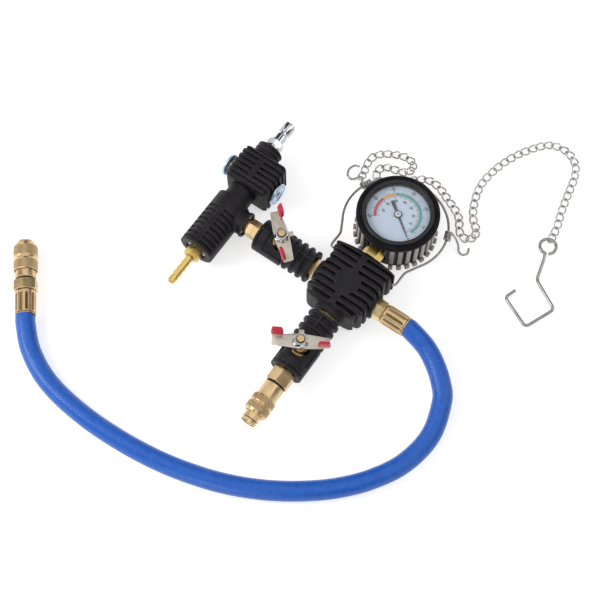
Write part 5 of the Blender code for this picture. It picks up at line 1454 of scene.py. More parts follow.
# The hose and its ends
@dataclass
class Coupler:
    """A quick coupler: hex adapter, sealing ring, plain barrel with its nose, knurled sleeve."""

    label: str
    line: Line
    start: float
    hex_length: float
    barrel: float
    sleeve: float
    nose: float
    collar_body: Body
    hex_flat: float = 9.3 * MM
    barrel_radius: float = 9.0 * MM
    nose_radius: float = 7.2 * MM
    nose_lip: float = 1.2 * MM
    nose_groove: float = 1.0 * MM
    groove_depth: float = 0.7 * MM
    bore: float = 5.0 * MM
    sleeve_radius: float = 10.7 * MM
    waist_radius: float = 9.7 * MM
    waist_share: float = 0.15
    mouth_share: float = 0.14
    sleeve_edge: float = 0.5 * MM
    lap: float = 2.0 * MM
    spring_room: float = 7.5 * MM
    travel: float = 3.6 * MM
    flow: float = 4.0 * MM
    neck: float = 6.2 * MM
    seal: float = 0.9 * MM
    knurls: int = 34
    knurl_depth: float = 0.50 * MM
    knurl_base: float = 0.68
    knurl_step: float = 0.30 * MM
    pieces: list[Piece] = field(default_factory=list)

    def build(self) -> None:
        """Build the coupler."""
        self.build_adapter()
        self.build_body()
        self.build_sleeve()
        self.build_seal()

    def build_adapter(self) -> None:
        """Build the hex that screws on, with its chamfers."""
        deep = self.hex_length - OVERRUN
        inside = rings((0.0, deep, self.flow), (deep, self.hex_length, self.neck + GAP))
        outside = nut_profile(self.hex_length, self.hex_flat)
        adapter = lathe(self.label + "_hex", BRASS, self.line.at(self.start), outside, inside)
        self.pieces.append(enrol(adapter, Body.TOOL, Slot.BRASS, self.label + "_adapter"))

    def build_body(self) -> None:
        """Build the plain barrel and the nose that the sleeve slides on."""
        start = self.hex_length + GAP
        foot, face = start - OVERRUN + GAP, start + self.seal + GAP
        shoulder = start + self.barrel
        tip = shoulder + self.sleeve - self.lap + self.nose
        wide, slim = self.barrel_radius, self.nose_radius
        chamfer = 0.4 * MM
        catch = tip - 2 * self.nose_lip
        outside = rings(
            (foot, face, self.neck), (face, wide - chamfer), (face + chamfer, shoulder, wide),
            (shoulder, catch - self.nose_groove, slim),
            (catch - self.nose_groove, catch, slim - self.groove_depth),
            (catch, tip - self.nose_lip / 2, slim), (tip, slim - 0.6 * MM),
        )
        inside = rings(
            (foot, shoulder, self.flow), (shoulder, tip - 2.5 * MM, self.bore),
            (tip - 1.5 * MM, self.bore + 0.8 * MM), (tip, self.bore + 1.0 * MM),
        )
        place = self.line.at(self.start)
        body = lathe(self.label + "_barrel", BRASS, place, outside, inside, soft=0.18 * MM)
        self.pieces.append(enrol(body, Body.TOOL, Slot.BRASS, self.label + "_body"))

    def build_sleeve(self) -> None:
        """Build the sliding sleeve: two knurled bands, a smooth waist and a stepped mouth."""
        start = self.hex_length + GAP + self.barrel - self.lap
        end = start + self.sleeve
        waist, mouth = self.waist_share * self.sleeve, self.mouth_share * self.sleeve
        band = (self.sleeve - waist - mouth) / 2
        edge, slim = self.sleeve_edge, self.waist_radius
        wide = self.sleeve_radius - self.knurl_depth / 2
        bands = [(start + edge, start + band), (start + band + waist, start + 2 * band + waist)]
        close = []
        for low, high in bands:
            count = max(2, round((high - low) / self.knurl_step))
            places = [low + (high - low) * index / count for index in range(1, count + 1)]
            close.append(rings((*places, wide)))
        inner = bands[0][1]
        outside = rings((start, wide - edge), (start + edge, wide)) + close[0]
        outside += rings(
            (inner + 0.1 * MM, slim + 0.4 * MM), (inner + 0.35 * waist, inner + 0.65 * waist, slim),
            (bands[1][0], wide),
        )
        outside += close[1] + rings(
            (bands[1][1] + 0.1 * MM, slim + 0.3 * MM), (end - 0.5 * mouth, slim),
            (end - 0.45 * mouth, slim - 0.6 * MM), (end, slim - 1.1 * MM),
        )
        rear = start + self.lap + self.spring_room + self.travel
        inside = rings(
            (start, rear, self.barrel_radius + GAP), (rear, end, self.nose_radius + GAP)
        )

        def knurl(angle: float, along: float) -> float:
            """Shape the knurl's diamonds.

            Args:
                angle: The angle round the sleeve.
                along: The distance along it.

            Returns:
                The height there, and 0 off the bands.
            """
            half = self.knurl_step / 2
            if not any(low + half < along < high - half for low, high in bands):
                return 0.0
            around = angle / FULL_TURN * self.knurls
            run = along * self.knurls / (FULL_TURN * self.sleeve_radius)
            slopes = [abs(place % 1.0 - 0.5) * 2 for place in (around + run, around - run)]
            return self.knurl_depth * (min(slopes) - self.knurl_base)

        place = self.line.at(self.start)
        sides = 4 * self.knurls
        name = self.label + "_collar"
        collar = lathe(name, BRASS, place, outside, inside, sides, relief=knurl)
        self.pieces.append(enrol(collar, self.collar_body, Slot.BRASS, self.label + "_sleeve"))

    def build_seal(self) -> None:
        """Build the black sealing ring between the hexagon and the barrel."""
        low = self.hex_length + GAP
        outside = rings((low, low + self.seal, self.barrel_radius - 0.3 * MM))
        inside = rings((low, low + self.seal, self.neck + GAP))
        place = self.line.at(self.start)
        seal = lathe(self.label + "_seal", RUBBER, place, outside, inside, soft=0.15 * MM)
        self.pieces.append(enrol(seal, Body.TOOL, Slot.RUBBER))


@dataclass
class Hose:
    """The blue hose with its hex fitting, two crimped ferrules and the coupler at its far end."""

    radius: float = 8.5 * MM
    step: float = 2.6 * MM
    port_reach: float = 29.0 * MM
    nut_length: float = 9.0 * MM
    nut_flat: float = 8.0 * MM
    ferrule_length: float = 22.2 * MM
    ferrule_radius: float = 8.9 * MM
    ferrule_steps: int = 26
    end_groove: float = 0.8 * MM
    flutes: int = 10
    flute_depth: float = 1.1 * MM
    band: float = 2.4 * MM
    flow: float = 4.0 * MM
    end_run: float = 7.0 * MM
    end: Vector = field(default_factory=lambda: vectors((-213.1, -175.3, 10.9))[0])
    end_turn: float = math.radians(129.6)
    route: list[Vector] = field(
        default_factory=lambda: vectors(
            (83.0, -4.6, 17.0), (97.4, -12.4, 15.6), (110.6, -23.2, 14.3), (120.5, -36.5, 13.1),
            (128.3, -66.0, 10.6), (123.0, -97.4, 8.9), (108.2, -124.4, 8.6), (89.3, -146.3, 8.6),
            (69.0, -163.5, 8.6), (48.6, -177.3, 8.6), (28.2, -188.4, 8.6), (7.7, -197.2, 8.6),
            (-13.3, -204.0, 8.6), (-35.1, -209.4, 8.6), (-58.1, -213.2, 8.6), (-83.1, -215.5, 8.6),
            (-111.1, -216.1, 8.6), (-142.6, -213.5, 8.6), (-168.0, -207.4, 8.7),
            (-191.4, -195.7, 9.3),
        )
    )

    def build(self) -> None:
        start = self.port_reach + GAP
        bore = rings((0.0, self.nut_length, self.flow))
        outside = nut_profile(self.nut_length, self.nut_flat)
        # The hose nut wears the brighter brass copy, painted light on its faces.
        nut = lathe("hose_hex", LIT_NUT_BRASS, RIGHT_LINE.at(start), outside, bore)
        enrol(nut, Body.TOOL, Slot.BRASS, "hose_nut")
        ferrule = start + self.nut_length + GAP
        self.build_ferrule("near", RIGHT_LINE.at(ferrule))
        far = Line(self.end, across(self.end_turn))
        back = Line(far.at(self.ferrule_length + GAP).translation, -far.direction)
        other = self.build_ferrule("far", back.at(0.0))
        coupler = Coupler(
            "hose_coupler", far, self.ferrule_length + 2 * GAP, 9.6 * MM, 10.6 * MM, 26.4 * MM,
            2.4 * MM, Body.HOSE_COUPLER,
        )
        coupler.build()
        first = RIGHT_LINE.at(ferrule + self.ferrule_length + GAP).translation
        bend = [
            first, first + RIGHT * self.end_run / 2, *self.route,
            self.end - far.direction * self.end_run, self.end,
        ]
        path = smooth_path(bend, self.step)
        hose = tube("blue_hose", HOSE_BLUE, path, self.radius, 40, domed=False)
        enrol(hose, Body.TOOL, Slot.HOSE, "hose")
        length = sum((b - a).length for a, b in zip(path, path[1:]))
        LOG.info("the hose is %.1f mm long", length / MM)
        [tuple(point) for point in path]
        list(coupler.pieces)

    def build_ferrule(self, end: str, place: Matrix) -> Piece:
        """Build a crimped ferrule: a plain band at each end and pressed flats between.

        Args:
            end: The end of the hose that it sits on, near or far.
            place: Its frame.

        Returns:
            The ferrule.
        """
        length, wide = self.ferrule_length, self.ferrule_radius
        low, high = self.band, length - self.band

        def crimp(angle: float, along: float) -> float:
            """Shape the pressed flats.

            Args:
                angle: The angle round the ferrule.
                along: The distance along it.

            Returns:
                The height there, which is below 0 where the press went in.
            """
            if not low <= along <= high:
                return 0.0
            edge = min(1.0, (along - low) / (0.8 * MM), (high - along) / (0.8 * MM))
            wave = 0.5 - 0.5 * math.cos(self.flutes * angle)
            return -self.flute_depth * edge * wave**4

        count, groove = self.ferrule_steps, self.end_groove
        flutes = [low + (high - low) * index / count for index in range(count + 1)]
        outside = rings(
            (0.0, wide - 0.7 * MM), (0.7 * MM, wide), (*flutes, length - 2 * groove, wide),
            (length - 2 * groove, length - groove, wide - groove), (length - groove, length, wide),
        )
        bore = rings((0.0, length, self.flow))
        made = lathe("ferrule_" + end, BRASS, place, outside, bore, sides=144, relief=crimp)
        return enrol(made, Body.TOOL, Slot.BRASS, "hose_ferrule_" + end)


def groove_row(
    low: Vector, high: Vector, middle: float, count: int, pitch: float, width: float
) -> Piece:
    """Make the row of slots between a jacket's ribs.

    Args:
        low: The lowest corner of the room that the slots may fill.
        high: Its highest corner.
        middle: The row's middle along Y.
        count: How many slots there are.
        pitch: The distance from one to the next.
        width: Each slot's width.

    Returns:
        The slots, as a tool for cutting.
    """
    first = middle - (count - 1) / 2 * pitch
    near, far = first - width / 2, first + width / 2
    slot = block("slot", RUBBER, (low.x, near, low.z), (high.x, far, high.z))
    return ROW.grow(slot, RUBBER, Count=count, Step=(0.0, pitch, 0.0))


# The manifold
@dataclass
class Manifold:
    """The ribbed rubber jacket over the brass cross."""

    flank: float = 27.5 * MM
    top: float = 30.5 * MM
    bottom: float = 27.0 * MM
    corner_shares: tuple[Point, ...] = (
        (0.40, 1.05), (0.82, 1.00), (1.06, 0.95), (1.10, 0.86), (1.04, 0.68), (1.00, 0.52),
        (1.00, -0.48), (0.96, -0.68), (0.86, -0.86), (0.70, -0.97), (0.52, -1.00),
    )
    left_swell: float = 0.25
    swell_start: float = 0.4
    rounding: float = 7.0 * MM
    groove_count: int = 8
    groove_pitch: float = 6.7 * MM
    groove_width: float = 3.5 * MM
    groove_depth: float = 4.6 * MM
    side_depth: float = 3.2 * MM
    spine: float = 5.4 * MM
    spine_inset: float = 0.6
    pad: float = 11.5 * MM
    collar: float = 11.0 * MM
    near_collar: float = 14.0 * MM
    collar_reach: float = 30.3 * MM
    top_reach: float = 33.9 * MM
    port: float = 9.5 * MM
    core: Colour = (34.0 * MM, 34.0 * MM, 25.0 * MM)
    bail_y: float = 26.0 * MM
    bail_hole: float = 1.4 * MM
    bail_hole_start: float = 20.7 * MM
    cell: float = 0.6 * MM

    def build(self) -> None:
        """Build the jacket and dress the cross."""
        reach = Vector((2 * self.flank, 0.0, BODY_HEIGHT + OVERRUN))
        slots = groove_row(
            Vector((-reach.x, 0.0, -OVERRUN)), reach, (self.top - self.bottom) / 2,
            self.groove_count, self.groove_pitch, self.groove_width,
        )
        skin_block = pillow("manifold_rubber", self.outline, 0.0, BODY_HEIGHT, self.rounding)
        combine(skin_block, slots)
        depth = self.groove_depth
        core = pillow(
            "core", lambda inset: self.outline(self.side_depth + inset), depth,
            BODY_HEIGHT - depth, self.rounding - depth / 2,
        )
        half, inset = self.spine / 2, self.spine_inset * self.rounding
        low, high = (-half, inset - self.bottom, BODY_HEIGHT / 2), (half, self.top - inset, BODY_HEIGHT)
        pieces = [
            skin_block, core, block("spine", RUBBER, low, high),
            rod(axis_frame(Vector(), Vector((0, 0, 1))), self.pad, BODY_HEIGHT / 2, BODY_HEIGHT),
        ]
        for line, radius, end in (
            (LEFT_LINE, self.collar, self.collar_reach), (RIGHT_LINE, self.collar, self.collar_reach),
            (NEAR_LINE, self.near_collar, self.collar_reach), (FAR_LINE, self.collar, self.top_reach),
        ):
            pieces.append(rod(line.at(0.0), radius, self.port, end))
        jacket = moulded(pieces, self.tools(), self.cell)
        enrol(jacket, Body.TOOL, Slot.RUBBER, "manifold_jacket")
        dress(BRASS, "manifold_core")

    def outline(self, inset: float) -> list[Point]:
        """Find the jacket's outline seen from above.

        Args:
            inset: How far it is drawn in.

        Returns:
            Its points, from the far right round to the far left.
        """
        wide, far, near = self.flank - inset, self.top - inset, self.bottom - inset
        half = [(x * wide, y * (far if y > 0 else near)) for x, y in self.corner_shares]
        square = -self.swell_start * self.bottom
        left = [(-x - self.left_swell * max(0.0, square - y), y) for x, y in reversed(half)]
        return half + left

    def tools(self) -> list[Piece]:
        """Make the room for the cross, its ports and the bail's ends.

        Returns:
            The tools for cutting.
        """
        half = Vector([size / 2 + GAP for size in self.core])
        reach = self.top_reach + OVERRUN
        made = [block("room", RUBBER, CENTRE - half, CENTRE + half)]
        made += [rod(axis_frame(CENTRE, way), self.port, -reach, reach) for way in (RIGHT, FAR)]
        for side in Side:
            place = level_frame(0, self.bail_y, RIGHT * side.value)
            made.append(rod(place, self.bail_hole, self.bail_hole_start, self.flank * 1.3, 24))
        return made


# The gauge
@dataclass
class Gauge:
    """The gauge in its finned rubber boot, with its printed dial and pointer."""

    y: float = 77.5 * MM
    case_radius: float = 31.5 * MM
    valley: float = 33.2 * MM
    fin_radius: float = 35.6 * MM
    foot_radius: float = 37.6 * MM
    foot_height: float = 4.6 * MM
    fin_low: float = 7.6 * MM
    fin_top: float = 34.9 * MM
    fin_edge: float = 0.6 * MM
    lip_radius: float = 36.4 * MM
    lip_top: float = 37.8 * MM
    boot_top: float = 39.4 * MM
    boot_mouth: float = 34.2 * MM
    boot_step: float = 0.7 * MM
    hollow: float = 31.8 * MM
    floor: float = 2.7 * MM
    fins: int = 27
    fin_width: float = 4.0 * MM
    fin_gap: float = math.radians(26.0)
    lit_dusty_face: float = 0.7 * MM
    slot: float = 9.6 * MM
    bezel_low: float = 33.3 * MM
    bezel_top: float = 39.9 * MM
    bezel_bore: float = 30.3 * MM
    window_radius: float = 27.8 * MM
    dial_top: float = 34.1 * MM
    dial_radius: float = 30.0 * MM
    dial_hole: float = 1.2 * MM
    lens_low: float = 36.4 * MM
    lens_top: float = 38.2 * MM
    print_depth: float = 0.06 * MM
    stroke: float = 0.09 * MM
    arc_radius: float = 19.8 * MM
    arc_width: float = 2.3 * MM
    line_width: float = 0.25 * MM
    sweep: float = 254.0
    needle_low: float = 34.4 * MM
    needle_thickness: float = 0.5 * MM
    needle_reach: float = 22.5 * MM
    needle_tip: float = 0.3 * MM
    needle_root: float = 0.9 * MM
    needle_tail: float = 1.75 * MM
    tail_reach: float = 14.0 * MM
    hub_radius: float = 3.5 * MM
    cap_radius: float = 2.6 * MM
    dot_radius: float = 0.75 * MM
    socket_start: float = 20.3 * MM
    thread: float = 6.2 * MM
    thread_length: float = 9.0 * MM
    hex_length: float = 15.4 * MM
    hex_flat: float = 8.0 * MM
    neck: float = 5.0 * MM
    block_start: float = 48.4 * MM
    block_width: float = 12.0 * MM
    block_length: float = 9.0 * MM
    block_drop: float = 9.0 * MM

    def build(self) -> None:
        """Build the boot, the bezel, the window, the dial, the pointer and the socket."""
        self.build_boot()
        self.build_rims()
        self.build_dial()
        self.build_pointer()
        self.build_socket()
        dress(BLACK_PAINT, "gauge_case")
        dress(BRASS, "bourdon_tube", "movement_frame", "sector_gear")

    @property
    def place(self) -> Matrix:
        """The gauge's frame, with +Y away from its stem."""
        return Matrix.Translation((0.0, self.y, 0.0))

    def dial_angle(self, share: float) -> float:
        """Return the angle round +Z, from +X, of a share of the scale."""
        return math.radians(90.0 - self.sweep / 2 + self.sweep * share)

    def build_boot(self) -> None:
        """Build the rubber boot: a cup with a stepped lip and fins with flared feet."""
        top, mouth = self.boot_top, self.boot_mouth
        step = top - self.boot_step
        outside = rings(
            (0.0, self.valley - MM), (0.8 * MM, self.fin_top, self.valley),
            (self.fin_top, self.lip_top, self.lip_radius), (top, mouth + 0.4 * MM),
            (top, mouth - 0.6 * MM), (step, mouth - 0.8 * MM), (step, mouth - 1.3 * MM),
            (top, mouth - 1.5 * MM), (top, self.floor, self.hollow),
        )
        soft = 0.4 * MM
        shell = lathe("gauge_rubber", BOOT_RUBBER, self.place, outside, (), 120, soft)
        reach, slot = self.foot_radius + OVERRUN, self.slot
        low, high = (-slot, -reach, AXIS_HEIGHT - slot), (slot, 0.0, AXIS_HEIGHT + slot)
        combine(shell, block("gap", RUBBER, low, high, self.place))
        fin = self.build_fin(self.valley - 0.5 * MM, self.fin_width / 2)
        step = (FULL_TURN - 2 * self.fin_gap) / (self.fins - 1)
        first = -QUARTER + self.fin_gap
        ROUND.grow(fin, BOOT_RUBBER, Count=self.fins, Angle=step, First=first)
        fin.data.transform(self.place)
        enrol(tidy(joined(shell, fin)), Body.TOOL, Slot.RUBBER, "gauge_boot")

    def build_fin(self, inside: float, half: float) -> Piece:
        """Build one fin with its foot, paler on its outer face with dust and painted light.

        Args:
            inside: Where it starts, in the boot's wall.
            half: Half its width.

        Returns:
            The fin, pointing along +X.
        """
        low, top = self.fin_low, self.fin_top
        fin = block("fin", BOOT_RUBBER, (inside, -half, low), (self.fin_radius, half, top))
        high = (self.foot_radius, half, self.foot_height)
        foot = block("foot", BOOT_RUBBER, (inside, -half, 0.0), high)
        high = (self.valley + MM, half / 2, top - MM)
        web = block("web", BOOT_RUBBER, (inside, -half / 2, MM), high)
        fin = joined(bevelled(fin, self.fin_edge), bevelled(foot, self.fin_edge), web)
        # The outer face is paled: painted light where the lamps would catch it, mixed with dust.
        lit_dusty_face = self.fin_radius - self.lit_dusty_face
        mark(fin, "dust_and_highlight", [float(point.co.x > lit_dusty_face) for point in fin.data.vertices])
        return fin

    def build_socket(self) -> None:
        """Build the brass socket: thread, big hexagon with a flat up, neck and inner block."""
        up = level_frame(0.0, self.socket_start, FAR)
        place = up @ Matrix.Rotation(math.pi / 6, 4, "Z")
        hex_end = self.thread_length + self.hex_length
        outside = rings((0.0, self.thread_length, self.thread))
        outside += nut_profile(self.hex_length, self.hex_flat, self.thread_length)
        outside += rings((hex_end, self.block_start - self.socket_start, self.neck))
        socket = lathe("gauge_stem", RICH_BRASS, place, outside, soft=0.1 * MM)
        half = self.block_width / 2
        low = (-half, self.block_start - MM, AXIS_HEIGHT - self.block_drop)
        high = (half, self.block_start + self.block_length, AXIS_HEIGHT + self.neck)
        socket = tidy(joined(socket, block("block", RICH_BRASS, low, high)))
        enrol(socket, Body.TOOL, Slot.BRASS, "gauge_socket")

    def build_rims(self) -> None:
        """Build the bezel, the ring below the window and the window."""
        top, mouth, low = self.bezel_top, self.window_radius, self.bezel_low
        ledge = top - 1.1 * MM
        outside = rings(
            (low, top - 0.5 * MM, self.case_radius), (top, self.case_radius - 0.7 * MM),
            (top, mouth + MM),
        )
        inside = rings((low, ledge, self.bezel_bore), (ledge, top - 0.6 * MM, mouth))
        bezel = lathe(
            "bezel_ring", BLACK_PAINT, self.place, outside, inside, 128, soft=0.2 * MM
        )
        enrol(bezel, Body.TOOL, Slot.BLACK_STEEL, "gauge_bezel")
        soft = 0.1 * MM
        low, high, wide = self.dial_top + 0.1 * MM, self.lens_low - 0.1 * MM, self.dial_radius
        outside = rings((low, high, wide))
        inside = rings((low, mouth - 0.3 * MM), (high, mouth + 0.1 * MM))
        liner = lathe("bezel_liner", BLACK_PAINT, self.place, outside, inside, 128, soft)
        enrol(liner, Body.TOOL, Slot.BLACK_STEEL)
        top = self.lens_top
        outside = rings((self.lens_low, top - 0.2 * MM, wide), (top, wide - 0.3 * MM))
        lens = lathe("gauge_window", WINDOW, self.place, outside, soft=soft)
        enrol(lens, Body.TOOL, Slot.LENS, "gauge_lens")

    def build_dial(self) -> None:
        """Build the dial plate and what is printed on it."""
        outside = rings((self.bezel_low, self.dial_top, self.dial_radius))
        hole = rings((self.bezel_low, self.dial_top, self.dial_hole))
        plate = lathe("dial_face", DIAL_FACE, self.place, outside, hole, soft=0.05 * MM)
        enrol(plate, Body.TOOL, Slot.DIAL, "dial_plate")
        inner, outer = self.arc_radius - self.arc_width / 2, self.arc_radius + self.arc_width / 2
        self.print_arc("arc_red", PRINT_RED, inner, outer, 163.0, 218.0)
        self.print_arc("arc_orange", PRINT_ORANGE, inner, outer, 128.0, 163.0)
        self.print_arc("arc_teal", PRINT_TEAL, inner, outer, -23.0, 128.0)
        start, end = 90.0 - self.sweep / 2, 90.0 + self.sweep / 2
        inner, outer = inner - 2 * self.line_width, inner - self.line_width
        self.print_arc("inner_line", PRINT_RED, inner, outer, start, end)
        self.print_ticks()
        self.print_numbers()

    def print_arc(
        self, name: str, finish: Finish, inner: float, outer: float, start: float, end: float
    ) -> None:
        """Print a band of the dial.

        Args:
            name: The piece's name.
            finish: Its finish.
            inner: Its inner radius.
            outer: Its outer radius.
            start: The angle at which it starts, in degrees from +X.
            end: The angle at which it ends.
        """
        steps = max(2, round((end - start) / 3))
        outline = sector(inner, outer, math.radians(start), math.radians(end), steps)
        low, high = self.dial_top - self.print_depth, self.dial_top + self.print_depth
        enrol(slab(name, finish, outline, low, high, self.place), Body.TOOL, Slot.DIAL)

    def print_ticks(self) -> None:
        """Print the fine and the long marks of both scales."""
        low, high = self.dial_top - self.print_depth, self.dial_top + self.print_depth
        rows = []
        for start, length, width, count in (
            (21.3 * MM, 0.9 * MM, 0.20 * MM, 61), (21.3 * MM, 1.8 * MM, 0.42 * MM, 13),
            (16.8 * MM, 0.9 * MM, 0.18 * MM, 77), (16.2 * MM, 1.5 * MM, 0.36 * MM, 16),
        ):
            end = (start + length, width / 2, high)
            tick = block("tick", PRINT_BLACK, (start, -width / 2, low), end)
            step = math.radians(self.sweep) / (count - 1)
            first = self.dial_angle(0.0)
            rows.append(ROUND.grow(tick, PRINT_BLACK, Count=count, Angle=step, First=first))
        self.print_black("dial_ticks", rows)

    def print_numbers(self) -> None:
        """Print the numbers of both scales."""
        numbers = []
        for full, step, count, reach, size in (
            (30.0, 5, 7, 24.9 * MM, 3.9 * MM), (76.0, 10, 8, 13.4 * MM, 3.3 * MM)
        ):
            for value in range(0, count * step, step):
                place = across(self.dial_angle(value / full)) * reach
                place.z = self.dial_top
                numbers.append(self.digits(str(value), size, place))
        self.print_black("dial_numbers", numbers)

    def print_black(self, name: str, marks: Sequence[Piece]) -> None:
        """Join black marks into one piece on the dial.

        Args:
            name: The piece's name.
            marks: The marks.
        """
        printed = joined(*marks)
        printed.name = name
        printed.data.transform(self.place)
        enrol(printed, Body.TOOL, Slot.DIAL)

    def digits(self, text: str, size: float, place: Vector) -> Piece:
        """Make a number as a thin mesh.

        Args:
            text: The number.
            size: Its height.
            place: Its middle on the dial.

        Returns:
            The number.
        """
        curve = bpy.data.curves.new("digits", "FONT")
        curve.body = text
        curve.size = size
        curve.align_x = "CENTER"
        curve.align_y = "CENTER"
        curve.extrude = self.print_depth
        curve.offset = self.stroke
        curve.resolution_u = 3
        drawn = shown("digits", curve)
        bpy.context.view_layer.update()
        mesh = bpy.data.meshes.new_from_object(drawn)
        drop(drawn)
        mesh.transform(Matrix.Translation(place))
        mesh.materials.clear()
        mesh.materials.append(material_of(PRINT_BLACK))
        return shown("digits", mesh)

    def build_pointer(self) -> None:
        """Build the pointer with its counterweight, and its white cap."""
        place = self.place @ Matrix.Rotation(self.dial_angle(0.0), 4, "Z")
        tip, root, tail = self.needle_tip, self.needle_root, self.needle_tail
        reach, hub, end = self.needle_reach, self.hub_radius, self.tail_reach
        outline = [
            (reach, -tip), (reach, tip), (0.0, root), (-hub, root), (-end, tail), (-end, -tail),
            (-hub, -root), (0.0, -root),
        ]
        low, high = self.needle_low, self.needle_low + self.needle_thickness
        needle = slab("gauge_pointer", POINTER_BLACK, outline, low, high, place)
        outside = rings((low, low + MM, hub), (low + 1.1 * MM, hub - 0.5 * MM))
        boss = lathe("hub", POINTER_BLACK, place, outside, (), 48, 0.1 * MM)
        enrol(tidy(joined(needle, boss)), Body.NEEDLE, Slot.POINTER, "pointer")
        start = low + 0.9 * MM
        outside = rings((start, start + 0.5 * MM, self.cap_radius))
        cap = lathe("pointer_cap", CAP_WHITE, place, outside, (), 48, 0.15 * MM)
        enrol(cap, Body.NEEDLE, Slot.DIAL)
        outside = rings((start + 0.3 * MM, start + 0.6 * MM, self.dot_radius))
        dot = lathe("pointer_dot", POINTER_BLACK, place, outside, (), 24, 0.05 * MM)
        enrol(dot, Body.NEEDLE, Slot.POINTER)


# The ball valves
@dataclass
class BallValve:
    """A ball valve in its ringed sleeve, with its stamped handle, grips and nut."""

    label: str
    line: Line
    reach: float
    inner: float
    turn: float
    body: Body
    outer: float = 22.6 * MM
    ring_radius: float = 15.0 * MM
    ring_width: float = 2.6 * MM
    ring_pitch: float = 7.2 * MM
    valley: float = 12.6 * MM
    plain: float = 13.6 * MM
    plain_reach: float = 12.0 * MM
    collar: float = 2.6 * MM
    bore: float = 10.3 * MM
    window: float = 8.6 * MM
    bar_angle: float = math.radians(20.0)
    seam_inner: float = 17.0 * MM
    seam_outer: float = 8.0 * MM
    seam_width: float = 0.9 * MM
    seam_height: float = 0.6 * MM
    cell: float = 0.5 * MM
    handle_low: float = 41.4 * MM
    handle_top: float = 43.0 * MM
    handle_reach: float = 24.0 * MM
    handle_edge: float = 0.35 * MM
    root_half: float = 6.2 * MM
    tip_half: float = 4.2 * MM
    tab_length: float = 8.6 * MM
    tab_top: float = 55.6 * MM
    tab_lean: float = 0.12
    lug_half: float = 2.2 * MM
    lug_reach: float = 10.2 * MM
    grip_low: float = 48.0 * MM
    grip_top: float = 57.2 * MM
    grip_length: float = 10.8 * MM
    grip_width: float = 4.2 * MM
    grip_edge: float = 1.9 * MM
    grip_taper: Point = (0.80, 0.60)
    flange: float = 6.6 * MM
    flange_height: float = 1.0 * MM
    nut_flat: float = 5.2 * MM
    nut_bore: float = 3.3 * MM
    nut_low: float = 43.3 * MM
    nut_top: float = 48.3 * MM

    def build(self) -> None:
        """Build the sleeve, the handle, the grips and the nut."""
        self.build_sleeve()
        self.build_handle()
        self.build_grip(Side.LEFT, "far")
        self.build_grip(Side.RIGHT, "near")
        self.build_nut()
        dress(BRASS, self.label + "_body", self.label + "_stem")
        dress(CHROME, self.label + "_ball")
        dress(SEAL_WHITE, self.label + "_seat")

    def pivot(self, height: float = 0.0) -> Matrix:
        """Return the handle's frame: its Z up the stem and its X along the wings."""
        place = self.line.at(self.reach).translation
        return Matrix.Translation((place.x, place.y, height)) @ Matrix.Rotation(self.turn, 4, "Z")

    def build_sleeve(self) -> None:
        """Build the rubber sleeve with its rings, side bars, seams and window."""
        length = self.inner + self.outer
        gap = self.ring_pitch - self.ring_width
        wide, slim = self.ring_radius, self.valley
        used = self.ring_width
        outside = rings((0.0, used, wide))
        while used + gap + self.ring_width < self.inner - self.plain_reach / 3:
            low, high = used + gap, used + self.ring_pitch
            outside += rings((used, low, slim), (low, high, wide))
            used = high
        plain_start, plain_end = used + gap / 2, self.inner + self.plain_reach
        collar = length - self.collar
        band_end = collar - gap / 4
        outside += rings(
            (used, plain_start, slim), (plain_start, plain_end, self.plain),
            (plain_end, band_end, wide), (band_end, collar, self.plain), (collar, length, wide),
        )
        place = self.line.at(self.reach - self.inner)
        pieces = [lathe(self.label + "_rubber", RUBBER, place, outside, soft=0.4 * MM)]
        pieces += side_bars(place, self.bar_angle, (self.bore, wide), (plain_start, collar))
        half, top = self.seam_width / 2, wide + self.seam_height
        for low, high in ((0.0, self.seam_inner), (length - self.seam_outer, length)):
            seam = block("seam", RUBBER, (self.bore, -half, low), (top, half, high), place)
            pieces.append(seam)
        window = rod(self.pivot(AXIS_HEIGHT), self.window, 0.0, wide + OVERRUN)
        tools = [rod(place, self.bore, -OVERRUN, length + OVERRUN), window]
        sleeve = moulded(pieces, tools, self.cell)
        enrol(sleeve, Body.TOOL, Slot.RUBBER, self.label + "_jacket")

    def build_handle(self) -> None:
        """Build the stamped plate with a turned-up tab on each wing."""
        reach, root, tip = self.handle_reach, self.root_half, self.tip_half
        low, top = self.handle_low, self.handle_top
        outline = [
            (reach, -tip), (reach, tip), (root, root), (-root, root), (-reach, tip),
            (-reach, -tip), (-root, -root), (root, -root),
        ]
        plate = slab(self.label + "_wings", HANDLE_STEEL, outline, low, top)
        for side in Side:
            way = side.value
            xs = sorted((way * reach, way * (reach - self.tab_length)))
            ys = sorted((-way * tip, -way * tip + way * (top - low)))
            tab = block("tab", HANDLE_STEEL, (xs[0], ys[0], low), (xs[1], ys[1], self.tab_top))
            self.lean(tab, side)
            combine(plate, tab, "UNION")
        half = self.lug_half
        lug = block("lug", HANDLE_STEEL, (-half, 0.0, low), (half, self.lug_reach, top))
        combine(plate, lug, "UNION")
        combine(plate, rod(HERE, self.nut_bore, low - OVERRUN, self.tab_top))
        bevelled(plate, self.handle_edge)
        enrol(tidy(plate, self.pivot()), self.body, Slot.HANDLE, self.label + "_handle")

    def lean(self, piece: Piece, side: Side) -> None:
        """Lean a tab or its grip outward, as its bend leaves it.

        Args:
            piece: The tab or the grip.
            side: The wing that it is on.
        """
        for point in piece.data.vertices:
            rise = max(0.0, point.co.z - self.handle_top)
            point.co.y -= side.value * self.tab_lean * rise

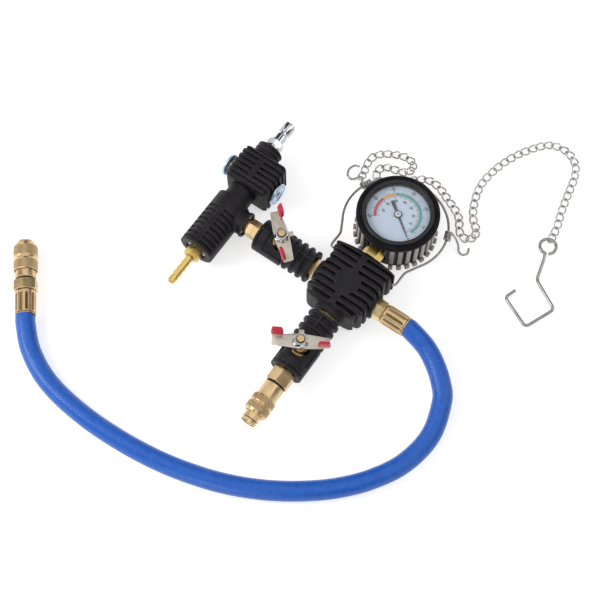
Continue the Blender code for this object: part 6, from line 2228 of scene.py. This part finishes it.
    def build_grip(self, side: Side, part: str) -> None:
        """Build the dipped vinyl on one tab, a little slimmer towards its top.

        Args:
            side: The wing that it sits on.
            part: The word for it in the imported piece's name.
        """
        thickness = self.handle_top - self.handle_low
        x = side.value * (self.handle_reach - self.tab_length / 2)
        y = -side.value * (self.tip_half - thickness / 2)
        long, wide = self.grip_length / 2, self.grip_width / 2
        name = f"{self.label}_vinyl_{part}"
        grip = block(name, VINYL, (-long, -wide, self.grip_low), (long, wide, self.grip_top))
        for point in grip.data.vertices:
            if point.co.z > self.grip_low + MM:
                point.co.x *= self.grip_taper[0]
                point.co.y *= self.grip_taper[1]
        long, wide = self.tab_length / 2 + GAP / 2, thickness / 2 + GAP / 2
        top = self.tab_top + GAP / 2
        bevelled(grip, self.grip_edge, 6)
        combine(grip, block("room", VINYL, (-long, -wide, 0.0), (long, wide, top)))
        self.lean(grip, side)
        tidy(grip, self.pivot() @ Matrix.Translation((x, y, 0.0)))
        enrol(grip, self.body, Slot.VINYL, f"{self.label}_grip_{part}")

    def build_nut(self) -> None:
        """Build the flanged nut on the stem."""
        height = self.nut_top - self.nut_low
        base, wide = self.flange_height, self.flange
        hexagon = nut_profile(2 * (height - base), self.nut_flat, 2 * base - height)
        outside = rings(
            (0.0, wide - 0.2 * MM), (0.3 * MM, 0.6 * MM, wide), (base, self.nut_flat * HEX_CORNER)
        )
        outside += hexagon[len(hexagon) // 2:]
        edge = 0.4 * MM
        inside = rings((0.0, height - edge, self.nut_bore), (height, self.nut_bore + edge))
        place, name = self.pivot(self.nut_low), self.label + "_flange_nut"
        nut = lathe(name, CHROME, place, outside, inside, 72, 0.08 * MM)
        enrol(nut, self.body, Slot.CHROME, self.label + "_nut")


# The nipples
@dataclass
class Nipple:
    """A brass nipple: a hexagon between two threaded ends, with a collar if it has one."""

    node: str
    line: Line
    start: float
    length: float
    flat: float
    collar: float = 0.0
    collar_length: float = 0.0
    thread: float = 6.2 * MM
    thread_length: float = 9.0 * MM
    flow: float = 4.0 * MM

    def build(self) -> None:
        """Build the nipple."""
        end = self.thread_length + self.length
        outside = rings((0.0, self.thread_length, self.thread))
        outside += nut_profile(self.length, self.flat, self.thread_length)
        if self.collar:
            outside += rings((end, end + self.collar_length, self.collar))
            end += self.collar_length
        total = end + self.thread_length
        outside += rings((end, total, self.thread))
        place = self.line.at(self.start - self.thread_length)
        piece = lathe(self.node + "_hex", BRASS, place, outside, rings((0.0, total, self.flow)))
        enrol(piece, Body.TOOL, Slot.BRASS, self.node)


# The venturi and the slide valve
@dataclass
class Venturi:
    """The ringed rubber barrel of the venturi, its side stub and its barbed exhaust."""

    x: float = -128.0 * MM
    low: float = 45.0 * MM
    ring_count: int = 8
    ring_width: float = 2.8 * MM
    ring_pitch: float = 5.125 * MM
    bar_angle: float = math.radians(24.0)
    radius: float = 16.5 * MM
    valley: float = 14.3 * MM
    band: float = 13.0 * MM
    neck: float = 12.5 * MM
    neck_end: float = 24.7 * MM
    bore: float = 10.3 * MM
    stub: float = 11.0 * MM
    stub_rim: float = 11.9 * MM
    stub_rim_width: float = 2.4 * MM
    stub_reach: float = 22.8 * MM
    stub_bore: float = 9.5 * MM
    spine: float = 4.5 * MM
    cell: float = 0.55 * MM
    barb_start: float = 43.6 * MM
    barb_hex: float = 9.5 * MM
    barb_flat: float = 6.6 * MM
    barb_count: int = 5
    barb_pitch: float = 5.6 * MM
    barb_radius: float = 4.0 * MM
    barb_root: float = 3.3 * MM
    barb_bore: float = 2.2 * MM
    barb_lead: float = 0.1 * MM
    throat: float = 6.2 * MM
    throat_length: float = 22.0 * MM

    def build(self) -> None:
        """Build the barrel and the exhaust."""
        self.build_barrel()
        self.build_exhaust()
        dress(ALLOY, "venturi_body")
        dress(BRASS, "venturi_nozzle")

    def build_barrel(self) -> None:
        """Build the rubber barrel with its rings, spine, neck and stub."""
        place = level_frame(self.x, -self.low, FAR)
        wide, soft = self.radius, 0.4 * MM
        outside = []
        for index in range(self.ring_count):
            start = index * self.ring_pitch
            end = start + self.ring_width
            outside += rings((start, end, wide), (end, start + self.ring_pitch, self.valley))
        shoulder = self.ring_count * self.ring_pitch
        top = shoulder + self.ring_width + self.band
        end = self.low + self.neck_end
        outside += rings((shoulder, top, wide), (top, end, self.neck))
        half = self.spine / 2
        pieces = [
            lathe("venturi_rubber", RUBBER, place, outside, soft=soft),
            block("spine", RUBBER, (self.bore, -half, 0.0), (wide, half, shoulder), place),
            *side_bars(place, self.bar_angle, (self.bore, wide), (0.0, shoulder)),
        ]
        out = level_frame(self.x, 0, RIGHT)
        reach = self.stub_reach
        rim = reach - self.stub_rim_width
        outside = rings((self.bore, rim, self.stub), (rim, reach, self.stub_rim))
        pieces.append(lathe("stub", RUBBER, out, outside, soft=soft))
        tools = [
            rod(place, self.bore, -OVERRUN, end + OVERRUN),
            rod(out, self.stub_bore, 0.0, reach + OVERRUN),
        ]
        barrel = moulded(pieces, tools, self.cell)
        enrol(barrel, Body.TOOL, Slot.RUBBER, "venturi_jacket")

    def build_exhaust(self) -> None:
        """Build the hexagon and the barbed tail of the exhaust."""
        place = level_frame(self.x, self.throat_length - self.barb_start, NEAR)
        outside = rings((0.0, self.throat_length, self.throat))
        outside += nut_profile(self.barb_hex, self.barb_flat, self.throat_length)
        along = self.throat_length + self.barb_hex
        outside += rings((along, self.barb_root))
        for index in range(self.barb_count):
            start = along + index * self.barb_pitch
            crest = (start + self.barb_lead, start + self.barb_pitch / 4, self.barb_radius)
            outside += rings(crest, (start + self.barb_pitch, self.barb_root))
        end = along + self.barb_count * self.barb_pitch
        bore = rings((0.0, end, self.barb_bore))
        tail = lathe("exhaust_tail", RICH_BRASS, place, outside, bore, soft=0.1 * MM)
        enrol(tail, Body.TOOL, Slot.BRASS, "exhaust_barb")


@dataclass
class SlideValve:
    """The grooved rubber body of the slide valve, its two blue buttons and its air plug."""

    centre: Vector = field(default_factory=lambda: vectors((-125.8, 42.5, 19.0))[0])
    size: Vector = field(default_factory=lambda: vectors((44.5, 35.0, 38.0))[0])
    rounding: float = 6.0 * MM
    corner: float = 5.0 * MM
    wall: float = 3.5 * MM
    grooves: int = 6
    groove_pitch: float = 5.4 * MM
    groove_width: float = 2.6 * MM
    groove_depth: float = 3.2 * MM
    side_depth: float = 2.0 * MM
    spine: float = 5.4 * MM
    head_x: float = -132.0 * MM
    head_start: float = 60.0 * MM
    head_rings: int = 3
    head_pitch: float = 4.167 * MM
    head_radius: float = 12.6 * MM
    head_valley: float = 11.4 * MM
    port: float = 9.5 * MM
    spool_y: float = 40.0 * MM
    spool: float = 7.3 * MM
    venturi_x: float = -128.0 * MM
    button_radius: float = 10.5 * MM
    button_thickness: float = 2.8 * MM
    button_edge: float = 0.7 * MM
    button_bore: float = 3.1 * MM
    dish: Point = (7.2 * MM, 8.2 * MM)
    left_button: float = -152.15 * MM
    right_button: float = -102.95 * MM
    cell: float = 0.55 * MM
    plug_thread: float = 9.0 * MM
    thread_radius: float = 6.2 * MM
    plug_collar: float = 3.4 * MM
    collar_radius: float = 8.4 * MM
    plug_hex: float = 6.0 * MM
    plug_flat: float = 7.0 * MM
    plug_shoulder: float = 1.2 * MM
    shoulder_radius: float = 6.6 * MM
    plug_neck: float = 8.0 * MM
    neck_radius: float = 5.6 * MM
    plug_groove: float = 4.0 * MM
    groove_radius: float = 4.4 * MM
    plug_tip: float = 9.0 * MM
    tip_radius: float = 6.0 * MM
    plug_bore: float = 2.4 * MM

    def build(self) -> None:
        """Build the jacket, the buttons and the plug."""
        self.build_jacket()
        self.build_button("left", self.left_button, LEFT)
        self.build_button("right", self.right_button, RIGHT)
        self.build_plug()
        dress(ALLOY, "slide_valve_body")
        dress(STEEL, "slide_spool")

    def build_jacket(self) -> None:
        """Build the rubber body with its cross grooves and ringed head."""
        low, high = self.centre - self.size / 2, self.centre + self.size / 2
        room = Vector((OVERRUN, 0.0, OVERRUN))
        slots = groove_row(
            low - room, high + room, self.centre.y, self.grooves, self.groove_pitch,
            self.groove_width,
        )
        rounding, depth = self.rounding, self.groove_depth
        shell = combine(pillow("slide_rubber", self.outline, low.z, high.z, rounding), slots)
        core = pillow(
            "core", lambda inset: self.outline(self.side_depth + inset), low.z + depth,
            high.z - depth, rounding / 2,
        )
        left, right = self.centre.x - self.spine / 2, self.centre.x + self.spine / 2
        start, end = (left, low.y + rounding, self.centre.z), (right, high.y - rounding, high.z)
        outside = rings((-3 * OVERRUN, self.head_valley))
        for index in range(self.head_rings):
            start_along = index * self.head_pitch
            middle, after = start_along + self.head_pitch / 2, start_along + self.head_pitch
            outside += rings((middle, self.head_valley), (middle, after, self.head_radius))
            outside += rings((after, self.head_valley))
        head = level_frame(self.head_x, self.head_start, FAR)
        neck = lathe("neck", RUBBER, head, outside[:-1], soft=0.3 * MM)
        pieces = [shell, core, block("spine", RUBBER, start, end), neck]
        jacket = moulded(pieces, self.tools(head), self.cell)
        enrol(jacket, Body.TOOL, Slot.RUBBER, "slide_valve_jacket")

    def outline(self, inset: float) -> list[Point]:
        """Find the block's outline with round corners.

        Args:
            inset: How far it is drawn in.

        Returns:
            Its points, from the right side round.
        """
        radius = max(self.corner - inset, MM)
        made = []
        for index, (sx, sy) in enumerate(((1, 1), (-1, 1), (-1, -1), (1, -1))):
            x = self.centre.x + sx * (self.size.x / 2 - inset - radius)
            y = self.centre.y + sy * (self.size.y / 2 - inset - radius)
            bend = arc(radius, QUARTER * index, QUARTER * (index + 1), 6)
            made += [(x + right, y + far) for right, far in bend]
        return made

    def tools(self, head: Matrix) -> list[Piece]:
        """Make the room for the valve's body, its ports and its spool.

        Args:
            head: The head's frame.

        Returns:
            The tools for cutting.
        """
        half = self.size / 2 - Vector((self.wall, self.wall, 1.5 * self.wall))
        reach = self.head_rings * self.head_pitch + OVERRUN
        foot = level_frame(self.venturi_x, self.centre.y, NEAR)
        spool = level_frame(self.centre.x, self.spool_y, RIGHT)
        return [
            block("room", RUBBER, self.centre - half, self.centre + half),
            rod(head, self.port, -self.size.y / 2, reach),
            rod(foot, self.port, 0.0, self.size.y),
            rod(spool, self.spool, -self.size.x, self.size.x),
        ]

    def build_button(self, side: str, x: float, way: Vector) -> None:
        """Build a blue button with a dished face.

        Args:
            side: The word for its side.
            x: Where it starts.
            way: The way that it faces.
        """
        wide, deep, bore, edge = (
            self.button_radius, self.button_thickness, self.button_bore, self.button_edge
        )
        outside = rings((0.0, wide - edge), (edge, deep - edge, wide), (deep, wide - edge))
        rim, floor = deep - 0.5 * MM, deep - 1.0 * MM
        inside = rings(
            (0.0, rim, bore), (rim, bore + 1.1 * MM), (floor, bore + 1.5 * MM),
            (floor, self.dish[0]), (deep, self.dish[1]),
        )
        place = level_frame(x, self.spool_y, way)
        button = lathe("slide_button_" + side, BLUE, place, outside, inside, soft=0.15 * MM)
        enrol(button, Body.SPOOL, Slot.BLUE, "button_" + side)

    def build_plug(self) -> None:
        """Build the plated plug: collar, hexagon, neck, groove and tip."""
        thread, edge, wide = self.plug_thread, self.plug_shoulder, self.collar_radius
        collar = thread + self.plug_collar
        outside = rings(
            (0.0, thread, self.thread_radius), (thread, wide - 0.4 * MM),
            (thread + 0.4 * MM, collar - 0.5 * MM, wide), (collar, wide - 0.8 * MM),
        )
        outside += nut_profile(self.plug_hex, self.plug_flat, collar)
        start = collar + self.plug_hex
        neck = start + self.plug_neck
        groove = neck + self.plug_groove
        tip = groove + self.plug_tip
        outside += rings(
            (start, start + edge, self.shoulder_radius), (start + edge, neck, self.neck_radius),
            (neck + 0.9 * MM, groove, self.groove_radius), (groove, tip, self.tip_radius),
            (tip + edge, self.tip_radius - edge),
        )
        foot = self.head_start + self.head_rings * self.head_pitch - thread
        place, bore = level_frame(self.head_x, foot, FAR), rings((0.0, tip + edge, self.plug_bore))
        plug = lathe("plated_plug", CHROME, place, outside, bore, soft=0.15 * MM)
        enrol(plug, Body.TOOL, Slot.CHROME, "air_plug")


# The wires
@dataclass
class Bail:
    """The wire bail round the gauge, with the two wire clips wound on it."""

    wire: float = 1.1 * MM
    clip_wire: float = 1.0 * MM
    clip_step: float = 1.2 * MM
    pivot_y: float = 26.0 * MM
    slope: float = math.radians(6.5)
    shift: float = -1.5 * MM
    loop: float = 47.0 * MM
    corner: float = 3.0 * MM
    legs: list[Vector] = field(
        default_factory=lambda: vectors(
            (22.5, 26.0, 0.0), (33.5, 26.0, 0.0), (33.5, 42.0, 0.0), (40.25, 55.0, 0.0)
        )
    )
    steps: int = 90
    turns: int = 4
    turn_steps: int = 16
    left_angle: float = math.radians(157.0)
    right_angle: float = math.radians(21.0)
    left_route: list[Vector] = field(
        default_factory=lambda: vectors(
            (-51.5, 102.0, 7.6), (-56.0, 103.0, 3.6), (-60.5, 98.5, 1.5), (-66.0, 99.5, 1.5),
            (-68.5, 105.5, 1.5), (-66.5, 111.5, 1.5), (-62.5, 113.0, 1.5),
        )
    )
    right_route: list[Vector] = field(
        default_factory=lambda: vectors(
            (49.8, 98.6, 7.2), (54.0, 96.2, 3.4), (57.3, 92.6, 1.5), (61.6, 92.2, 1.5),
            (64.2, 96.0, 1.5), (62.6, 100.2, 1.5),
        )
    )

    def build(self) -> None:
        """Build the bail and its two clips."""
        bail = tube("bail_loop", STEEL, [self.sloped(p) for p in self.flat_path()], self.wire)
        enrol(bail, Body.BAIL, Slot.STEEL, "bail")
        self.build_clip("left", self.left_angle, self.left_route)
        self.build_clip("right", self.right_angle, self.right_route)

    @property
    def loop_y(self) -> float:
        """The place of the loop's middle along the bail."""
        end = self.legs[-1]
        return end.y + math.sqrt(self.loop**2 - end.x**2)

    def flat_path(self) -> list[Vector]:
        """Find the bail's centre line before it slopes, about its own middle line.

        Returns:
            Its points, from the right end to the left one.
        """
        middle = Vector((0.0, self.loop_y, 0.0))
        start = -math.acos(self.legs[-1].x / self.loop)
        loop = [
            middle + Vector((*place, 0)) for place in arc(self.loop, start, math.pi - start, self.steps)
        ]
        right = rounded_path([*self.legs, loop[1]], self.corner, 6)
        left = [Vector((-point.x, point.y, 0.0)) for point in reversed(right)]
        return [point + RIGHT * self.shift for point in [*right, *loop[2:-2], *left]]

    def sloped(self, point: Vector) -> Vector:
        """Swing a point of the flat bail down about its pivots, to where it rests."""
        pivot = Vector((0.0, self.pivot_y, 0.0))
        return Matrix.Rotation(-self.slope, 4, "X") @ (point - pivot) + pivot + CENTRE

    def build_clip(self, side: str, angle: float, route: Sequence[Vector]) -> None:
        """Build a clip: turns round the bail, then its own route.

        Args:
            side: The word for its side.
            angle: Where on the loop it is wound.
            route: The rest of its centre line.
        """
        reach = self.wire + self.clip_wire + GAP
        out, along = across(angle), Vector((-math.sin(angle), math.cos(angle), 0))
        centre = Vector((self.shift, self.loop_y, 0)) + out * self.loop
        pitch = 2 * self.clip_wire + GAP
        total = self.turns * self.turn_steps
        points = []
        for index in range(total + 1):
            turn = FULL_TURN * index / self.turn_steps
            offset = (index / total - 0.5) * pitch * self.turns
            lift = Vector((0, 0, math.sin(turn)))
            place = centre + along * offset + (out * math.cos(turn) + lift) * reach
            points.append(self.sloped(place))
        points += smooth_path([points[-1], *route], self.clip_step)[1:]
        clip = tube("clip_" + side, STEEL, points, self.clip_wire)
        enrol(clip, Body.BAIL, Slot.STEEL, "s_hook_" + side)


@dataclass
class Chain:
    """The steel chain from the left clip to the bent wire hook."""

    wire: float = 0.82 * MM
    width: float = 6.4 * MM
    length: float = 9.0 * MM
    pitch: float = 7.6 * MM
    lap: float = 0.6 * MM
    hold: float = 0.5 * MM
    twist: float = math.radians(80.0)
    tilt: float = math.radians(4.0)
    clip_wire: float = 1.0 * MM
    hook_wire: float = 1.45 * MM
    eye: Vector = field(default_factory=lambda: vectors((119.0, 141.5, 3.2))[0])
    eye_radius: float = 7.2 * MM
    eye_gap: float = math.radians(24.0)
    eye_sweep: float = math.radians(330.0)
    eye_steps: int = 56
    hook_corner: float = 4.0 * MM
    shank: Vector = field(default_factory=lambda: vectors((-53.75, 102.5, 5.6))[0])
    hook_route: list[Vector] = field(
        default_factory=lambda: vectors(
            (122.2, 129.5, 2.4), (127.2, 108.8, 1.5), (153.9, 93.6, 1.5), (141.9, 65.3, 1.5),
            (113.2, 78.8, 1.5), (116.8, 89.3, 1.5),
        )
    )
    route: list[Vector] = field(
        default_factory=lambda: vectors(
            (-54.4, 109.0, 4.6), (-57.0, 117.0, 3.2), (-58.0, 127.0, 3.0), (-51.0, 136.0, 3.0),
            (-40.0, 142.0, 3.0), (-29.0, 145.0, 3.0), (-21.0, 141.0, 3.0), (-21.5, 133.0, 3.0),
            (-30.0, 128.5, 3.0), (-40.0, 127.0, 3.0), (-46.5, 120.5, 3.0), (-44.0, 112.0, 3.0),
            (-35.0, 111.0, 3.0), (-25.0, 118.0, 3.0), (-15.0, 128.0, 3.0), (-4.0, 136.5, 3.0),
            (9.0, 136.0, 3.0), (21.5, 130.0, 3.0), (33.0, 125.0, 3.0), (42.0, 118.0, 3.0),
            (46.5, 109.5, 3.0), (53.5, 105.0, 3.0), (60.5, 109.0, 3.0), (60.5, 117.5, 3.0),
            (53.0, 124.0, 3.0), (45.0, 136.0, 3.0), (38.6, 157.0, 3.0), (40.1, 177.2, 3.0),
            (45.8, 197.0, 3.0), (55.6, 215.3, 3.0), (68.7, 230.8, 3.0), (85.0, 233.3, 3.0),
            (97.8, 226.4, 3.0), (104.0, 213.2, 3.0), (107.1, 198.0, 3.0), (111.3, 178.6, 3.0),
            (116.3, 161.5, 3.0), (117.2, 154.6, 3.4),
        )
    )

    def build(self) -> None:
        """Build the chain and the hook."""
        self.build_links()
        self.build_hook()

    def held(self, place: Vector, toward: Vector, wire: float) -> Vector:
        """Return where the chain's line starts for its end link to lie round a wire."""
        offset = (self.pitch - self.lap) / 2 - wire - self.hold - self.pitch / 2
        return place + (toward - place).normalized() * offset

    def build_links(self) -> None:
        """Build every link of the chain, each turned against the one before."""
        first = self.held(self.shank, self.route[0], self.clip_wire)
        edge = self.eye + (self.route[-1] - self.eye).normalized() * self.eye_radius
        last = self.held(edge, self.route[-1], self.hook_wire)
        path = smooth_path([first, *self.route, last], self.pitch)
        upright = Matrix.Rotation(QUARTER, 4, "X")
        places, turns = [], []
        for index, (start, end) in enumerate(zip(path, path[1:])):
            roll = Matrix.Rotation(QUARTER + (self.tilt if index % 2 else -self.tilt), 4, "Z")
            place = axis_frame((start + end) / 2, end - start)
            places.append(place.translation)
            turns += (place @ roll @ upright).to_euler("XYZ")
        mesh = bpy.data.meshes.new("steel_chain")
        mesh.from_pydata(places, [], [])
        turn = mesh.attributes.new("turn", "FLOAT_VECTOR", "POINT")
        turn.data.foreach_set("vector", turns)
        chain = LINKS.grow(
            shown("steel_chain", mesh), CHAIN_STEEL, Width=self.width, Length=self.length,
            Wire=self.wire, Sides=10, Twist=self.twist / self.length,
        )
        enrol(tidy(chain), Body.TOOL, Slot.STEEL, "chain")

    def build_hook(self) -> None:
        """Build the bent wire hook with its eye."""
        first = self.hook_route[0] - self.eye
        start = math.atan2(first.y, first.x) + self.eye_gap
        ring = arc(self.eye_radius, start, start + self.eye_sweep, self.eye_steps)
        points = [self.eye + Vector((*place, 0)) for place in ring]
        bent = rounded_path([points[-1], *self.hook_route], self.hook_corner)
        hook = tube("wire_hook", STEEL, points + bent[1:], self.hook_wire, 18)
        enrol(hook, Body.HOOK, Slot.STEEL, "c_hook")


def main() -> None:
    """Build every sub-assembly in order and report its pieces."""
    logging.basicConfig(level=logging.INFO, format="%(name)s: %(message)s")
    turn_a, turn_b = math.radians(-40.0), math.radians(30.6)
    Studio().build()
    Hose().build()
    Manifold().build()
    Gauge().build()
    BallValve("valve_a", LEFT_LINE, 68.0 * MM, 32.8 * MM, turn_a, Body.VALVE_A).build()
    BallValve("valve_b", NEAR_LINE, 69.0 * MM, 34.6 * MM, turn_b, Body.VALVE_B).build()
    Nipple("nipple_a", LEFT_LINE, 29.3 * MM, 15.8 * MM, 8.0 * MM).build()
    Nipple("nipple_b", NEAR_LINE, 29.3 * MM, 16.8 * MM, 8.0 * MM).build()
    Nipple(
        "venturi_nipple", LEFT_LINE, 90.9 * MM, 11.8 * MM, 7.5 * MM, 6.9 * MM, 4.0 * MM
    ).build()
    Coupler(
        "coupler_b", NEAR_LINE, 91.9 * MM, 13.2 * MM, 16.8 * MM, 16.2 * MM, 8.6 * MM,
        Body.COUPLER_B,
    ).build()
    Venturi().build()
    SlideValve().build()
    Bail().build()
    Chain().build()
    dress(STEEL, "coupler_b_spring", "hose_coupler_spring")


if __name__ == "__main__":
    main()
